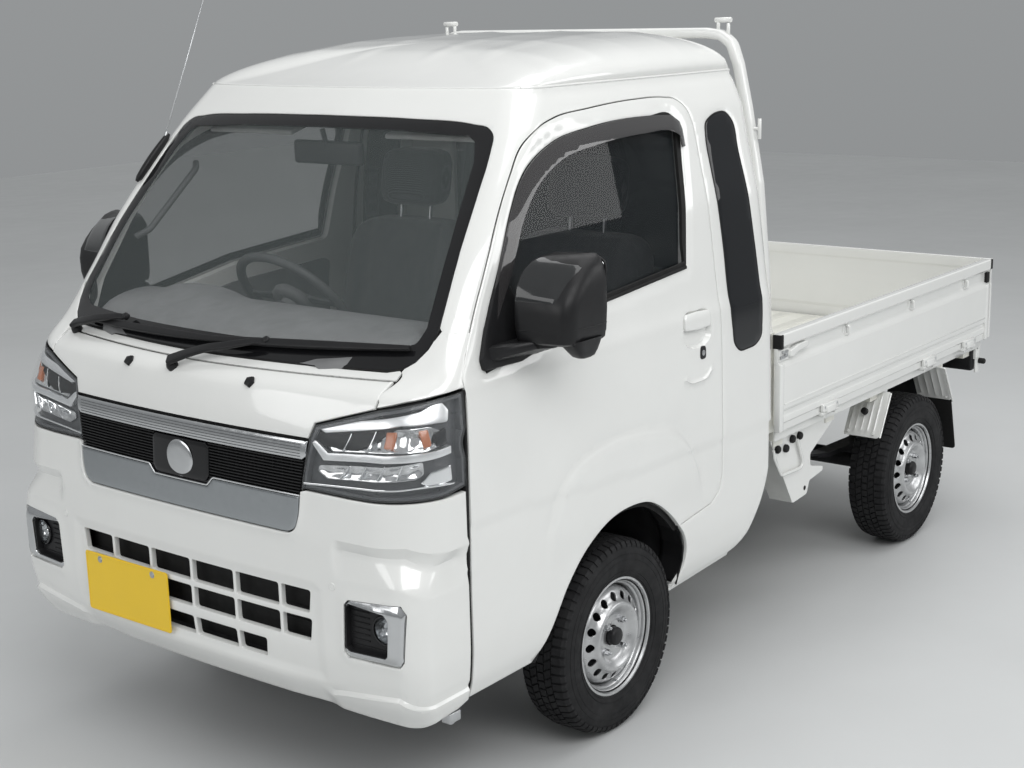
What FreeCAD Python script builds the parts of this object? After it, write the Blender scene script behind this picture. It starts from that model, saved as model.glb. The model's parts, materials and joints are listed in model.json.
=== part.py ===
import FreeCAD, Part
import os, math
from FreeCAD import Vector as V

# Kei truck with a high-roof cab and a drop-side bed.  All sizes in millimetres.
# Frame: +X forward, +Y to the vehicle's left, +Z up, origin on the ground under the middle of the vehicle.
os.makedirs("parts", exist_ok=True)

# ---- driving dimensions -------------------------------------------------------------------
LENGTH, WIDTH, HEIGHT = 3395.0, 1475.0, 1885.0
X_FRONT_AXLE, X_REAR_AXLE = 826.0, -1074.0
WHEELBASE = X_FRONT_AXLE - X_REAR_AXLE
TRACK_F, TRACK_R = 1305.0, 1300.0
TYRE_R, TYRE_W, BEAD_R = 268.5, 145.0, 150.0
RIM_R, RIM_W = 165.0, 116.0
PIN_R = 20.0                    # wheel spindle radius
RUN = 0.1                       # radial running clearance on spindles
SHUT = 6.0                      # shut-line gap round doors
DOOR_T, WALL_T, ROOF_T, REAR_T = 50.0, 50.0, 28.0, 30.0
GLASS_T = 5.0
HINGE_X, HINGE_Y, NOSE_R = 1443.0, 724.0, 12.0       # door hinge axis
KING_Y0, KING_Z0, KING_Y1, KING_Z1 = 600.0, 190.0, 496.0, 640.0   # steering axis, lower and upper point
BED_X0, BED_X1, BED_Z, BED_Y = -1669.0, -20.0, 660.0, 700.0        # bed floor rear, front, top, half width
GATE_T, GATE_Z0, GATE_Z1 = 30.0, 656.0, 949.0
GATE_AXIS_Y, GATE_AXIS_Z = 731.5, 641.0
TAIL_T, TAIL_X, TAIL_AXIS_X = 22.0, -1697.5, -1691.5
ROOF_SEAM_Z = 1712.0

# ---- helpers ------------------------------------------------------------------------------
def box(x0, x1, y0, y1, z0, z1):
    return Part.makeBox(x1 - x0, y1 - y0, z1 - z0, V(x0, y0, z0))

def cyl(p, q, r):
    p, q = V(*p), V(*q)
    return Part.makeCylinder(r, (q - p).Length, p, q - p)

def tube(p, q, ro, ri):
    return cyl(p, q, ro).cut(cyl(p, q, ri))

def prism(pts, plane, lo, hi):
    m = {"xz": lambda a, b: V(a, lo, b), "yz": lambda a, b: V(lo, a, b), "xy": lambda a, b: V(a, b, lo)}[plane]
    d = {"xz": V(0, hi - lo, 0), "yz": V(hi - lo, 0, 0), "xy": V(0, 0, hi - lo)}[plane]
    p = [m(a, b) for a, b in pts]
    return Part.Face(Part.makePolygon(p + [p[0]])).extrude(d)

def offset_poly(pts, d):
    """Polygon grown by d (positive outwards) by moving its edges."""
    n = len(pts)
    area = sum(pts[i][0] * pts[(i + 1) % n][1] - pts[(i + 1) % n][0] * pts[i][1] for i in range(n)) / 2
    s = 1 if area > 0 else -1
    out = []
    for i in range(n):
        a, b, c = pts[i - 1], pts[i], pts[(i + 1) % n]
        def nrm(p, q):
            l = math.hypot(q[0] - p[0], q[1] - p[1])
            return ((q[1] - p[1]) / l * s, -(q[0] - p[0]) / l * s)
        n1, n2 = nrm(a, b), nrm(b, c)
        k = 1 + n1[0] * n2[0] + n1[1] * n2[1]
        k = max(k, 0.5)
        out.append((b[0] + d * (n1[0] + n2[0]) / k, b[1] + d * (n1[1] + n2[1]) / k))
    return out

def flip(s):
    return s.mirror(V(0, 0, 0), V(0, 1, 0))

def fuse(items):
    s = items[0]
    return s.multiFuse(items[1:]) if len(items) > 1 else s

def both(s):
    return [s, flip(s)]

NODES = {}
def save(name, items):
    if not isinstance(items, (list, tuple)):
        items = [items]
    sol = []
    for s in items:                      # slivers left by the cuts are dropped
        sol += [q for q in s.Solids if q.Volume > 200.0]
    shp = sol[0] if len(sol) == 1 else Part.makeCompound(sol)
    shp.exportStep("parts/" + name + ".step")
    NODES[name] = shp

def table(names, rows):
    return [dict(zip(names.split(), r)) for r in rows]

# ---- cab body surface ---------------------------------------------------------------------
# plan sections: height, x of the front at the middle, c = its bow (x falls by c * y^2 / 10000), half width of the side,
# R = corner radius between front and side, m = how much an inset moves the front
PLAN = table("z xf c ys R m", [
    (300, 1640, 0.60, 706, 60, 1.0),
    (375, 1682, 0.60, 729, 60, 1.0),
    (460, 1691, 0.55, 736, 60, 1.0),
    (650, 1691, 0.55, 737, 80, 1.0),
    (725, 1691, 0.55, 737, 150, 1.0),
    (850, 1684, 0.80, 736, 150, 1.0),
    (968, 1676, 1.00, 734, 110, 1.0),
    (1076, 1652, 1.70, 729, 150, 1.1),
    (1118, 1592, 1.95, 720, 80, 1.3),
    (1250, 1485, 1.80, 703, 90, 1.3),
    (1380, 1381, 1.60, 686, 78, 1.3),
    (1510, 1265.5, 1.50, 657, 65, 1.3),
    (1640, 1150, 1.50, 628, 90, 1.3),
    (1735, 1062, 1.60, 586, 90, 1.3),
    (1900, 905, 1.80, 516, 80, 1.3),
])
X_CAB_REAR, REAR_R = 8.0, 34.0
# roof line seen from the side: x z
ROOF_LINE = [(1200, 1690), (1138, 1716), (1027, 1752), (798, 1818), (630, 1838), (453, 1846), (240, 1850), (143, 1823), (-5, 1742)]
CROWN_Z, CROWN_Y, CROWN_EDGE_Z, SHOULDER_Y, SHOULDER_Z = 1856.0, 470.0, 1840.0, 605.0, 1745.0

def plan_wire(r, side_in, front_in, rear_in):
    z, xf, c, ys = r["z"], r["xf"] - front_in * r["m"], r["c"] * 1e-4, r["ys"] - side_in
    R = max(r["R"] - side_in, 12.0)
    turn = 0.2                           # slope angle of the front where the corner arc takes over
    for _ in range(20):
        yc = ys - R * (1 - math.sin(turn))
        turn = math.atan(2 * c * yc)
    xc = xf - c * yc * yc
    xs = xc - R * math.cos(turn)
    mid = (turn + math.pi / 2) / 2
    cx, cy = xs + R * math.cos(mid), ys - R + R * math.sin(mid)
    xr, rr = X_CAB_REAR + rear_in, max(REAR_R - side_in * 0.6, 4.0)
    P = lambda x, y: V(x, y, z)
    q = rr * (1 - math.sqrt(0.5))
    return Part.Wire([
        Part.makeLine(P(xr, -(ys - rr)), P(xr, ys - rr)),
        Part.Arc(P(xr, ys - rr), P(xr + q, ys - q), P(xr + rr, ys)).toShape(),
        Part.makeLine(P(xr + rr, ys), P(xs, ys)),
        Part.Arc(P(xs, ys), P(cx, cy), P(xc, yc)).toShape(),
        Part.Arc(P(xc, yc), P(xf, 0), P(xc, -yc)).toShape(),
        Part.Arc(P(xc, -yc), P(cx, -cy), P(xs, -ys)).toShape(),
        Part.makeLine(P(xs, -ys), P(xr + rr, -ys)),
        Part.Arc(P(xr + rr, -ys), P(xr + q, -(ys - q)), P(xr, -(ys - rr))).toShape(),
    ])

def body(side_in=0.0, front_in=0.0, rear_in=0.0, top_in=0.0):
    plan = Part.makeLoft([plan_wire(r, side_in, front_in, rear_in) for r in PLAN], True, True)
    prof = prism([(-60, 200), (1750, 200), (1750, 1150)] + ROOF_LINE + [(-60, 1710)], "xz", -800, 800)
    y, z, P = 760.0, 1500.0, (lambda a, b: V(-80, a, b))
    mid = (SHOULDER_Y - 26, SHOULDER_Z + 68)
    crown = Part.Face(Part.Wire([
        Part.makeLine(P(-y, 200), P(y, 200)), Part.makeLine(P(y, 200), P(y, 1560)),
        Part.makeLine(P(y, 1560), P(SHOULDER_Y, SHOULDER_Z)),
        Part.Arc(P(SHOULDER_Y, SHOULDER_Z), P(*mid), P(CROWN_Y, CROWN_EDGE_Z)).toShape(),
        Part.Arc(P(CROWN_Y, CROWN_EDGE_Z), P(0, CROWN_Z), P(-CROWN_Y, CROWN_EDGE_Z)).toShape(),
        Part.Arc(P(-CROWN_Y, CROWN_EDGE_Z), P(-mid[0], mid[1]), P(-SHOULDER_Y, SHOULDER_Z)).toShape(),
        Part.makeLine(P(-SHOULDER_Y, SHOULDER_Z), P(-y, 1560)), Part.makeLine(P(-y, 1560), P(-y, 200)),
    ])).extrude(V(1900, 0, 0))
    d = V(0, 0, -top_in)
    return plan.common(prof.translated(d)).common(crown.translated(d))

def front_x(y, z, inset=0.0):
    """x of the front surface at y, z (inside the front arc)."""
    for a, b in zip(PLAN, PLAN[1:]):
        if a["z"] <= z <= b["z"]:
            t = (z - a["z"]) / (b["z"] - a["z"])
            at = lambda r: r["xf"] - inset * r["m"] - r["c"] * 1e-4 * y * y
            return at(a) * (1 - t) + at(b) * t

def side_y(z):
    for a, b in zip(PLAN, PLAN[1:]):
        if a["z"] <= z <= b["z"]:
            t = (z - a["z"]) / (b["z"] - a["z"])
            return a["ys"] * (1 - t) + b["ys"] * t

# outlines seen from the side (x z)
ARCH = [(548, 250), (548, 318), (530, 352), (508, 391), (504, 431), (522, 480), (545, 506), (611, 569), (706, 621), (789, 632),
        (887, 621), (981, 577), (1082, 487), (1151, 388), (1212, 317), (1212, 250)]
DOOR = [(1455, 328), (1455, 1092), (1449, 1111), (1391, 1207), (1326, 1307), (1271, 1391), (1216, 1464), (1153, 1537), (1080, 1608), (1012, 1642), (900, 1664),
        (573, 1680), (395, 1676), (342, 1652), (322, 1600), (316, 1450), (316, 600), (334, 555), (375, 530), (533, 511),
        (545, 506), (611, 569), (706, 621), (789, 632), (887, 621), (981, 577), (1082, 487), (1151, 388), (1205, 328)]
DOOR_WINDOW = [(458, 1221), (850, 1191), (1200, 1128), (1365, 1106), (1377, 1122), (1340, 1215), (1274, 1325), (1190, 1456), (1108, 1549),
               (977, 1606), (807, 1628), (524, 1637), (395, 1632), (384, 1600)]
QUARTER = [(183, 1624), (110, 1608), (98, 1512), (83, 1297), (76, 1078), (89, 970), (203, 946), (240, 986), (254, 1266),
           (262, 1475), (246, 1598)]
CAB_LOW = [(-60, 2000), (-60, 700), (8, 700), (35, 585), (107, 427), (204, 348), (257, 339), (548, 322), (1455, 322),
           (1470, 300), (1800, 300), (1800, 2000)]
# outlines seen from the front (y z)
SCREEN = [(-570, 1126), (570, 1126), (613, 1136), (640, 1161), (646, 1190), (625, 1347), (597, 1499), (574, 1600), (556, 1634),
          (490, 1654), (0, 1668), (-490, 1654), (-556, 1634), (-574, 1600), (-597, 1499), (-625, 1347), (-646, 1190), (-640, 1161), (-613, 1136)]
HOOD = [(-424, 970), (424, 970), (438, 1008), (640, 1067), (640, 1108), (-640, 1108), (-640, 1067), (-438, 1008)]
GRILLE = [(-418, 760), (-398, 746), (398, 746), (418, 760), (424, 966), (-424, 966)]
LAMP = [(397, 840), (560, 842), (760, 852), (760, 1084), (640, 1064), (438, 1005), (430, 960)]
BUMPER = [(-760, 200), (760, 200), (760, 849), (560, 839), (427, 838), (422, 756), (400, 742), (-400, 742), (-422, 756),
          (-427, 838), (-560, 839), (-760, 849)]
X_FACE = 1464.0          # rear end of bumper and lamps, in front of the door

OUT = body()
INN = body(WALL_T, 40, REAR_T, ROOF_T)
shell = OUT.cut(INN).common(prism(CAB_LOW, "xz", -800, 800))
low_cut = prism(offset_poly(ARCH, 0.0), "xz", -800, 800)
shell = shell.cut(low_cut)
for s in (1, -1):                       # room for the front tyre at full lock
    shell = shell.cut(box(490, 620, min(s * 560, s * 704), max(s * 560, s * 704), 200, 430))

# doors: a 14 mm outer skin over a narrower inner part, round-nosed at the hinge
skin_in = body(14, 14, 14, 14)
door_in = body(DOOR_T, 40, REAR_T, ROOF_T)
dp = prism(DOOR, "xz", 480, 760)
dp2 = prism(offset_poly(DOOR, -14), "xz", 480, 760)
skin = OUT.cut(skin_in).common(dp)
inner = skin_in.cut(door_in).common(dp2)
door = skin.fuse(inner)
win = prism(DOOR_WINDOW, "xz", 480, 760)
door = door.cut(win)
nose_cut = box(HINGE_X, HINGE_X + 40, HINGE_Y - 70, HINGE_Y + 40, 200, 1130).cut(
    Part.makeCylinder(NOSE_R, 940, V(HINGE_X, HINGE_Y, 195)))
door = door.cut(nose_cut)
opening = prism(offset_poly(DOOR, SHUT), "xz", 480, 760)
g_out, g_in = body(16, 16, 16, 16), body(16 + GLASS_T, 21, 21, 21)
glass = g_out.cut(g_in).common(win)
for s, side in ((1, "left"), (-1, "right")):
    f = (lambda x: x) if s > 0 else flip
    save("door_" + side, f(door))
    save("door_glass_" + side, f(glass))
    shell = shell.cut(f(opening))

# fixed glass
scr = prism(SCREEN, "yz", 1000, 1640)
s_out, s_in = body(4, 4, 4, 4), body(4 + GLASS_T, 4 + GLASS_T, 9, 9)
save("windscreen", s_out.cut(s_in).common(scr))
shell = shell.cut(prism(SCREEN, "yz", 1000, 1640))
qw = prism(QUARTER, "xz", 480, 760)
qg = g_out.cut(g_in).common(qw)
shell = shell.cut(qw).cut(flip(qw))
BACK_Y, BACK_Z0, BACK_Z1 = 470.0, 1130.0, 1560.0
back = box(-20, 60, -BACK_Y, BACK_Y, BACK_Z0, BACK_Z1)
save("cab_windows", [qg, flip(qg), box(18, 18 + GLASS_T, -BACK_Y, BACK_Y, BACK_Z0, BACK_Z1)])

# roof, rear wall, hood, bumper, lamp and grille places
roof = OUT.cut(INN).common(box(-60, 1300, -760, 760, ROOF_SEAM_Z, 1900))
save("roof", roof)
shell = shell.common(box(-60, 1800, -800, 800, 200, ROOF_SEAM_Z))
REARWALL = box(-60, 38, -600, 600, 640, ROOF_SEAM_Z)
thin = OUT.cut(INN)
rear = thin.common(box(-60, 38.0, -580, 580, 640, ROOF_SEAM_Z)).cut(back)
save("cab_rear_wall", rear)
shell = shell.cut(box(-60, 38.0, -580, 580, 640, ROOF_SEAM_Z))
FR_T = 22.0
f_in = body(FR_T, FR_T, 30, 30)
fshell = OUT.cut(f_in)
ahead = lambda pts, x0=1300.0: prism(pts, "yz", x0, 1760)
save("front_panel", fshell.common(ahead(HOOD)))
bump = fshell.common(ahead(BUMPER, X_FACE))
# intake slots of the bumper: y0 y1 z0 z1, then the fog lamp places
SLOTS = table("y0 y1 z0 z1", [(-420, 420, 553, 606), (-420, 420, 483, 532), (-262, 262, 405, 448)])
BARS = [-284, -182, -25, 132, 284]
for r in SLOTS:
    cut = box(1500, 1760, r["y0"], r["y1"], r["z0"], r["z1"])
    for b in BARS:
        cut = cut.cut(box(1400, 1800, b - 7, b + 7, 300, 700))
    bump = bump.cut(cut)
FOG = [(527, 484), (541, 469), (676, 471), (692, 486), (702, 604), (689, 619), (545, 608), (532, 593)]
fogp = ahead(FOG, 1480)
bump = bump.cut(fogp).cut(flip(fogp))
save("front_bumper", bump)
fog = OUT.cut(body(34, 34, 30, 30)).common(fogp)
fog = fog.cut(cyl((1560, 630, 545), (1760, 630, 545), 40)).fuse(
    OUT.common(cyl((1600, 630, 545), (1760, 630, 545), 40)).common(body(12, 12, 30, 30)))
save("fog_lamps", both(fog))
lampp = ahead(LAMP, X_FACE)
lamp = OUT.cut(body(46, 46, 30, 30)).common(lampp).cut(ahead(GRILLE)).cut(ahead(HOOD))
save("headlamps", both(lamp))
g = OUT.cut(body(26, 26, 30, 30)).common(ahead(GRILLE))
for k in range(9):                      # slats of the dark mesh band
    z = 838 + k * 9.4
    g = g.cut(box(1500, front_x(395, z) - 4, -395, -72, z, z + 5)).cut(box(1500, front_x(395, z) - 4, 72, 395, z, z + 5))
save("grille", g)
shell = shell.cut(ahead(HOOD)).cut(ahead(BUMPER, X_FACE)).cut(ahead(GRILLE)).cut(lampp).cut(flip(lampp))
shell = shell.cut(prism([(-800, 200), (800, 200), (800, 849), (-800, 849)], "yz", X_FACE, 1760))
sol = sorted(shell.Solids, key=lambda q: -q.Volume)
save("cab_shell", [q for q in sol if q.Volume > 2e5])

# ---- cab floor, seat box and firewall -------------------------------------------------------
FLOOR_Z, SEAT_Z, FLOOR_T = 372.0, 652.0, 14.0
XI = 1590.0
floor = prism([(60, SEAT_Z - FLOOR_T), (1128, SEAT_Z - FLOOR_T), (1128, FLOOR_Z - FLOOR_T), (XI, FLOOR_Z - FLOOR_T),
               (XI, 960), (XI - FLOOR_T, 960), (XI - FLOOR_T, FLOOR_Z), (1142, FLOOR_Z), (1142, SEAT_Z), (60, SEAT_Z)],
              "xz", -684, 684)
floor = floor.common(body(WALL_T + 3, 60, 33, 30))
for s in (1, -1):                       # clear of the door's front edge
    floor = floor.cut(box(1395, 1500, min(s * 664, s * 720), max(s * 664, s * 720), 330, 980))
for s in (1, -1):
    floor = floor.fuse(box(560, 1128, min(s * 408, s * 416), max(s * 408, s * 416), 470, SEAT_Z - 7))
save("cab_floor", floor)

# ---- dashboard, seats, column, inner fittings -----------------------------------------------
dash = prism([(1560, 1090), (1330, 1094), (1235, 1060), (1205, 990), (1215, 900), (1290, 840), (1330, 760), (1560, 760)],
             "xz", -640, 640).common(body(WALL_T + 4, 62, 40, 40))
dash = dash.cut(box(XI - FLOOR_T - 2, 1700, -700, 700, 700, 962))
DRIVER_Y = -330.0
save("dashboard", dash)
# seats: centre y
seat = fuse([
    prism([(600, 655), (1085, 655), (1110, 700), (1100, 775), (1060, 800), (640, 770), (585, 740)], "xz", -235, 235),
    prism([(470, 672), (600, 690), (560, 900), (470, 1270), (440, 1300), (380, 1290), (370, 1240), (430, 900), (440, 700)],
          "xz", -230, 230),
    prism([(350, 1320), (440, 1330), (415, 1500), (385, 1515), (335, 1505), (328, 1480)], "xz", -125, 125),
    cyl((400, -60, 1270), (390, -60, 1340), 7), cyl((400, 60, 1270), (390, 60, 1340), 7)])
save("seats", [seat.translated(V(0, y, 0)) for y in (330, -330)])
COL0, COL1 = (1262.0, 852.0), (968.0, 1098.0)       # steering column, lower and upper end (x z)
dx, dz = COL1[0] - COL0[0], COL1[1] - COL0[1]
cl = math.hypot(dx, dz)
cu = (dx / cl, dz / cl)
colp = lambda d: (COL0[0] + cu[0] * d, DRIVER_Y, COL0[1] + cu[1] * d)
column = cyl(colp(0), colp(cl - 70), 22).fuse(cyl(colp(cl - 170), colp(cl - 12), 40)).cut(cyl(colp(cl - 70), colp(cl + 5), 12 + RUN))
column = column.cut(dash)
save("steering_column", column)
ring = Part.makeTorus(180, 15)
hub = Part.makeCylinder(62, 34, V(0, 0, -22))
spokes = [box(-16, 16, 40, 176, -9, 7), box(40, 176, -14, 14, -9, 7), box(-176, -40, -14, 14, -9, 7)]
spokes = [s if i else s.mirror(V(0, 0, 0), V(0, 1, 0)) for i, s in enumerate(spokes)]
wheel = fuse([ring, hub, Part.makeCylinder(12, 86, V(0, 0, -90))] + spokes)
pl = FreeCAD.Placement(V(*colp(cl + 30)), FreeCAD.Rotation(V(0, 0, 1), V(cu[0], 0, cu[1])))
wheel.Placement = pl
save("steering_wheel", wheel)
trim = [box(1150, 1160, -130, 130, 1560, 1625).rotate(V(1155, 0, 1590), V(0, 1, 0), -12) or None]
mir = box(1138, 1160, -120, 120, 1540, 1600)
mir = mir.fuse(cyl((1150, 0, 1590), (1096, 0, 1660), 8))
visor = prism([(930, 1655), (1075, 1610), (1078, 1622), (932, 1670)], "xz", 170, 500)
mir = mir.common(body(60, 30, 40, ROOF_T + 4))
save("cab_trim", [mir] + [v.common(body(60, 40, 40, ROOF_T + 4)) for v in both(visor)])

# ---- wipers and antenna ---------------------------------------------------------------------
def surf_x(y, z):
    """x of the outer surface at y, z."""
    c = OUT.common(Part.makeLine(V(700, y, z), V(1800, y, z)))
    return c.optimalBoundingBox(True, False).XMax
def on_screen(y, z, up):
    """point standing up mm off the outer surface at y, z, along its normal"""
    x = surf_x(y, z)
    gy, gz = (surf_x(y + 4, z) - surf_x(y - 4, z)) / 8, (surf_x(y, z + 4) - surf_x(y, z - 4)) / 8
    n = V(1, -gy, -gz)
    n.normalize()
    return (x + n.x * up, y + n.y * up, z + n.z * up)
# wipers: pivot, arm's knee, blade ends (y z of each)
WIPERS = table("py pz ty tz b0y b0z b1y b1z", [
    (-547, 1108, -334, 1156, -517, 1134, 100, 1144), (-52, 1085, 207, 1154, -40, 1140, 600, 1168)])
def strip(pts, a, b):
    """bar of 2a x 2b section through points that run along y"""
    return Part.makeLoft([Part.makePolygon([V(x + i * a, y, z + j * b) for i, j in ((1, 1), (-1, 1), (-1, -1), (1, -1), (1, 1))])
                          for x, y, z in pts], True, True)
wip = []
for w in WIPERS:
    mix = lambda a, b, t: w[a] * (1 - t) + w[b] * t
    arm = [on_screen(mix("py", "ty", t), mix("pz", "tz", t), u) for t, u in ((-0.03, 25), (0.3, 27), (0.65, 26), (1.02, 24))]
    blade = [on_screen(mix("b0y", "b1y", t), mix("b0z", "b1z", t), 14) for t in (0, 0.2, 0.4, 0.6, 0.8, 1)]
    wip.append(fuse([cyl(on_screen(w["py"], w["pz"], 1), on_screen(w["py"], w["pz"], 33), 12), strip(arm, 6, 5), strip(blade, 7, 6),
                     cyl(on_screen(w["ty"], w["tz"], 10), on_screen(w["ty"], w["tz"], 33), 8)]))
save("wipers", wip)
# antenna: black base on the right windscreen pillar and the drawn-out rod
A0, A1 = on_screen(-622, 1476, 17), on_screen(-600, 1592, 17)
ANT_TOP = (943.0, -602.0, 2040.0)
ant = fuse([cyl(A0, A1, 10), cyl(on_screen(-620, 1488, 0.5), on_screen(-620, 1488, 16), 5),
            cyl(on_screen(-602, 1580, 0.5), on_screen(-602, 1580, 16), 5), cyl(A1, ANT_TOP, 2.5), Part.makeSphere(4, V(*ANT_TOP))])
save("antenna", ant)

# ---- mirrors --------------------------------------------------------------------------------
# housing from its side and plan outlines, a lobe below its outer end, the base on the door's window corner and the arm
mbody = prism([(1125, 1165), (1286, 1165), (1292, 1262), (1262, 1342), (1205, 1370), (1125, 1362)], "xz", 744, 905).common(
    prism([(1120, 740), (1294, 740), (1278, 866), (1252, 893), (1137, 905), (1120, 905)], "xy", 1100, 1400))
mbody = mbody.fuse(prism([(1142, 1172), (1148, 1126), (1212, 1122), (1236, 1172)], "xz", 846, 897))
mirror = mbody.fuse(prism([(1378, 1112), (1376, 1150), (1268, 1330), (1152, 1122), (1234, 1108)], "xz", 700, 722))
mirror = mirror.fuse(prism([(1352, 712), (1352, 732), (1282, 798), (1172, 798), (1160, 732), (1160, 712)], "xy", 1124, 1172))
mirror = mirror.cut(body(16, 16, 16, 16).common(box(1000, 1500, 0, 735, 1000, 1500)))
arm_cut = OUT.cut(skin_in)
mirror = mirror.cut(door)
ms = sorted(mirror.Solids, key=lambda q: -q.Volume)[0]
save("mirror_left", ms)
save("mirror_right", flip(ms))

# ---- bed ------------------------------------------------------------------------------------
XMEM = [-120, -470, -800, -1350, -1600]
BED_FX = -52.0            # front end of the floor, where the front wall starts
bed = [box(BED_X0, BED_FX, -BED_Y, BED_Y, BED_Z - 22, BED_Z)]
for x in XMEM:
    bed.append(box(x - 30, x + 30, -680, 680, 575, BED_Z - 20))
for s in (1, -1):
    bed.append(box(BED_X0, BED_FX, min(s * 672, s * BED_Y), max(s * 672, s * BED_Y), 606, BED_Z - 20))
    bed.append(box(BED_X0 + 60, BED_X1 - 40, min(s * 330, s * 390), max(s * 330, s * 390), 530, BED_Z - 20))
save("bed_floor", fuse(bed))
front_wall = fuse([box(-46, BED_X1, -694, 694, 638, 943), box(-52, BED_X1, -698, 698, 915, 949), box(-52, BED_X1, -698, 698, 638, 672),
                   box(-52, BED_X1, -700, -660, 638, 949), box(-52, BED_X1, 660, 700, 638, 949)])
# the arch guard behind the cab: y z of its centre line, from the foot up
GUARD = [(678, 949), (668, 1150), (646, 1400), (606, 1620), (578, 1745)]
GUARD_TOP_Z, GUARD_Y, GUARD_W, GX0, GX1 = 1838.0, 470.0, 20.0, -52.0, -20.0
def arch(off):
    P = lambda a, b: V(GX0, a, b)
    pts = [(y + off, z) for y, z in GUARD]
    e = []
    for a, b in zip(pts, pts[1:]):
        e.append(Part.makeLine(P(*a), P(*b)))
    top = GUARD_TOP_Z + off
    last = pts[-1]
    m = (GUARD_Y + (last[0] - GUARD_Y) * 0.76, last[1] + (top - last[1]) * 0.74)
    e.append(Part.Arc(P(*last), P(*m), P(GUARD_Y, top)).toShape())
    e.append(Part.makeLine(P(GUARD_Y, top), P(-GUARD_Y, top)))
    e.append(Part.Arc(P(-GUARD_Y, top), P(-m[0], m[1]), P(-last[0], last[1])).toShape())
    rp = [(-y, z) for y, z in pts[::-1]]
    for a, b in zip(rp, rp[1:]):
        e.append(Part.makeLine(P(*a), P(*b)))
    e.append(Part.makeLine(P(*rp[-1]), P(*pts[0])))
    return Part.Face(Part.Wire(e)).extrude(V(GX1 - GX0, 0, 0))
guard = arch(GUARD_W).cut(arch(-GUARD_W))
guard = guard.cut(box(-100, 0, -640, 640, 900, 951))
GUARD_BARS = table("z h", [(1120, 30), (1480, 30)])
for r in GUARD_BARS:
    y = [a for a in (662, 627)][GUARD_BARS.index(r)]
    guard = guard.fuse(box(-50, -22, -y, y, r["z"], r["z"] + r["h"]))
for s in (1, -1):
    guard = guard.fuse(fuse([cyl((-36, s * 508, 1850), (-36, s * 508, 1872), 6), cyl((-36, s * 542, 1840), (-36, s * 542, 1872), 6),
                             cyl((-36, s * 500, 1877), (-36, s * 550, 1877), 8)]))
    guard = guard.fuse(fuse([cyl((-36, s * 606, 1560), (-36, s * 655, 1560), 5), cyl((-36, s * 650, 1530), (-36, s * 650, 1590), 6)]))
guard = guard.cut(box(-80, 0, -760, 760, 900, 949))
save("bed_front_wall", front_wall)
save("cab_guard", guard)

# side gate: plate with a top rail, hinge leaves and rope hooks
HINGES = [-358.0, -1128.0, -1487.0]
def side_gate():
    x0, x1, yi, yo = BED_X0 + 3, BED_X1 - 6, 737.5 - GATE_T, 737.5
    g = fuse([box(x0, x1, yi + 6, yo - 6, GATE_Z0, GATE_Z1), box(x0, x1, yi, yo, 915, GATE_Z1),
              box(x0, x1, yi, yo - 2, GATE_Z0, 672), box(x0, x0 + 40, yi, yo - 2, GATE_Z0, GATE_Z1),
              box(x1 - 40, x1, yi, yo - 2, GATE_Z0, GATE_Z1), box(x0, x1, yi + 2, yo - 2, 770, 800)])
    for h in HINGES:
        g = g.fuse(box(h - 30, h + 30, 727, 735, GATE_AXIS_Z, GATE_Z0 + 10)).fuse(
            tube((h - 30, GATE_AXIS_Y, GATE_AXIS_Z), (h + 30, GATE_AXIS_Y, GATE_AXIS_Z), 6, 3.1))
    for h in HINGES:
        g = g.cut(cyl((h - 31, GATE_AXIS_Y, GATE_AXIS_Z), (h + 31, GATE_AXIS_Y, GATE_AXIS_Z), 3.1))
    return g
gate = side_gate()
save("side_gate_left", gate)
save("side_gate_right", flip(gate))
THINGE = [-520.0, 0.0, 520.0]
tg = fuse([box(TAIL_X + 5, TAIL_X + TAIL_T - 5, -734, 734, GATE_Z0, GATE_Z1), box(TAIL_X, TAIL_X + TAIL_T, -734, 734, 915, GATE_Z1),
           box(TAIL_X + 1, TAIL_X + TAIL_T, -734, 734, GATE_Z0, 672), box(TAIL_X + 1, TAIL_X + TAIL_T, -734, -694, GATE_Z0, GATE_Z1),
           box(TAIL_X + 1, TAIL_X + TAIL_T, 694, 734, GATE_Z0, GATE_Z1), box(TAIL_X + 2, TAIL_X + TAIL_T - 2, -734, 734, 770, 800)])
for h in THINGE:
    tg = tg.fuse(box(TAIL_X + 3, TAIL_X + 11, h - 30, h + 30, GATE_AXIS_Z, GATE_Z0 + 10)).fuse(
        cyl((TAIL_AXIS_X, h - 30, GATE_AXIS_Z), (TAIL_AXIS_X, h + 30, GATE_AXIS_Z), 6))
    tg = tg.cut(cyl((TAIL_AXIS_X, h - 31, GATE_AXIS_Z), (TAIL_AXIS_X, h + 31, GATE_AXIS_Z), 3.1))
save("tailgate", tg)
# hinge pins and their brackets on the bed
hb = []
for s in (1, -1):
    for h in HINGES:
        y = s * GATE_AXIS_Y
        p = cyl((h - 42, y, GATE_AXIS_Z), (h + 42, y, GATE_AXIS_Z), 3)
        for e in (-42, 36):
            p = p.fuse(box(h + e, h + e + 6, min(s * BED_Y, s * 736), max(s * BED_Y, s * 736), GATE_AXIS_Z - 12, GATE_AXIS_Z + 5))
        hb.append(p)
for h in THINGE:
    p = cyl((TAIL_AXIS_X, h - 42, GATE_AXIS_Z), (TAIL_AXIS_X, h + 42, GATE_AXIS_Z), 3)
    for e in (-42, 36):
        p = p.fuse(box(TAIL_AXIS_X - 5, BED_X0, h + e, h + e + 6, GATE_AXIS_Z - 12, GATE_AXIS_Z + 5))
    hb.append(p)
save("gate_hinges", hb)

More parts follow.
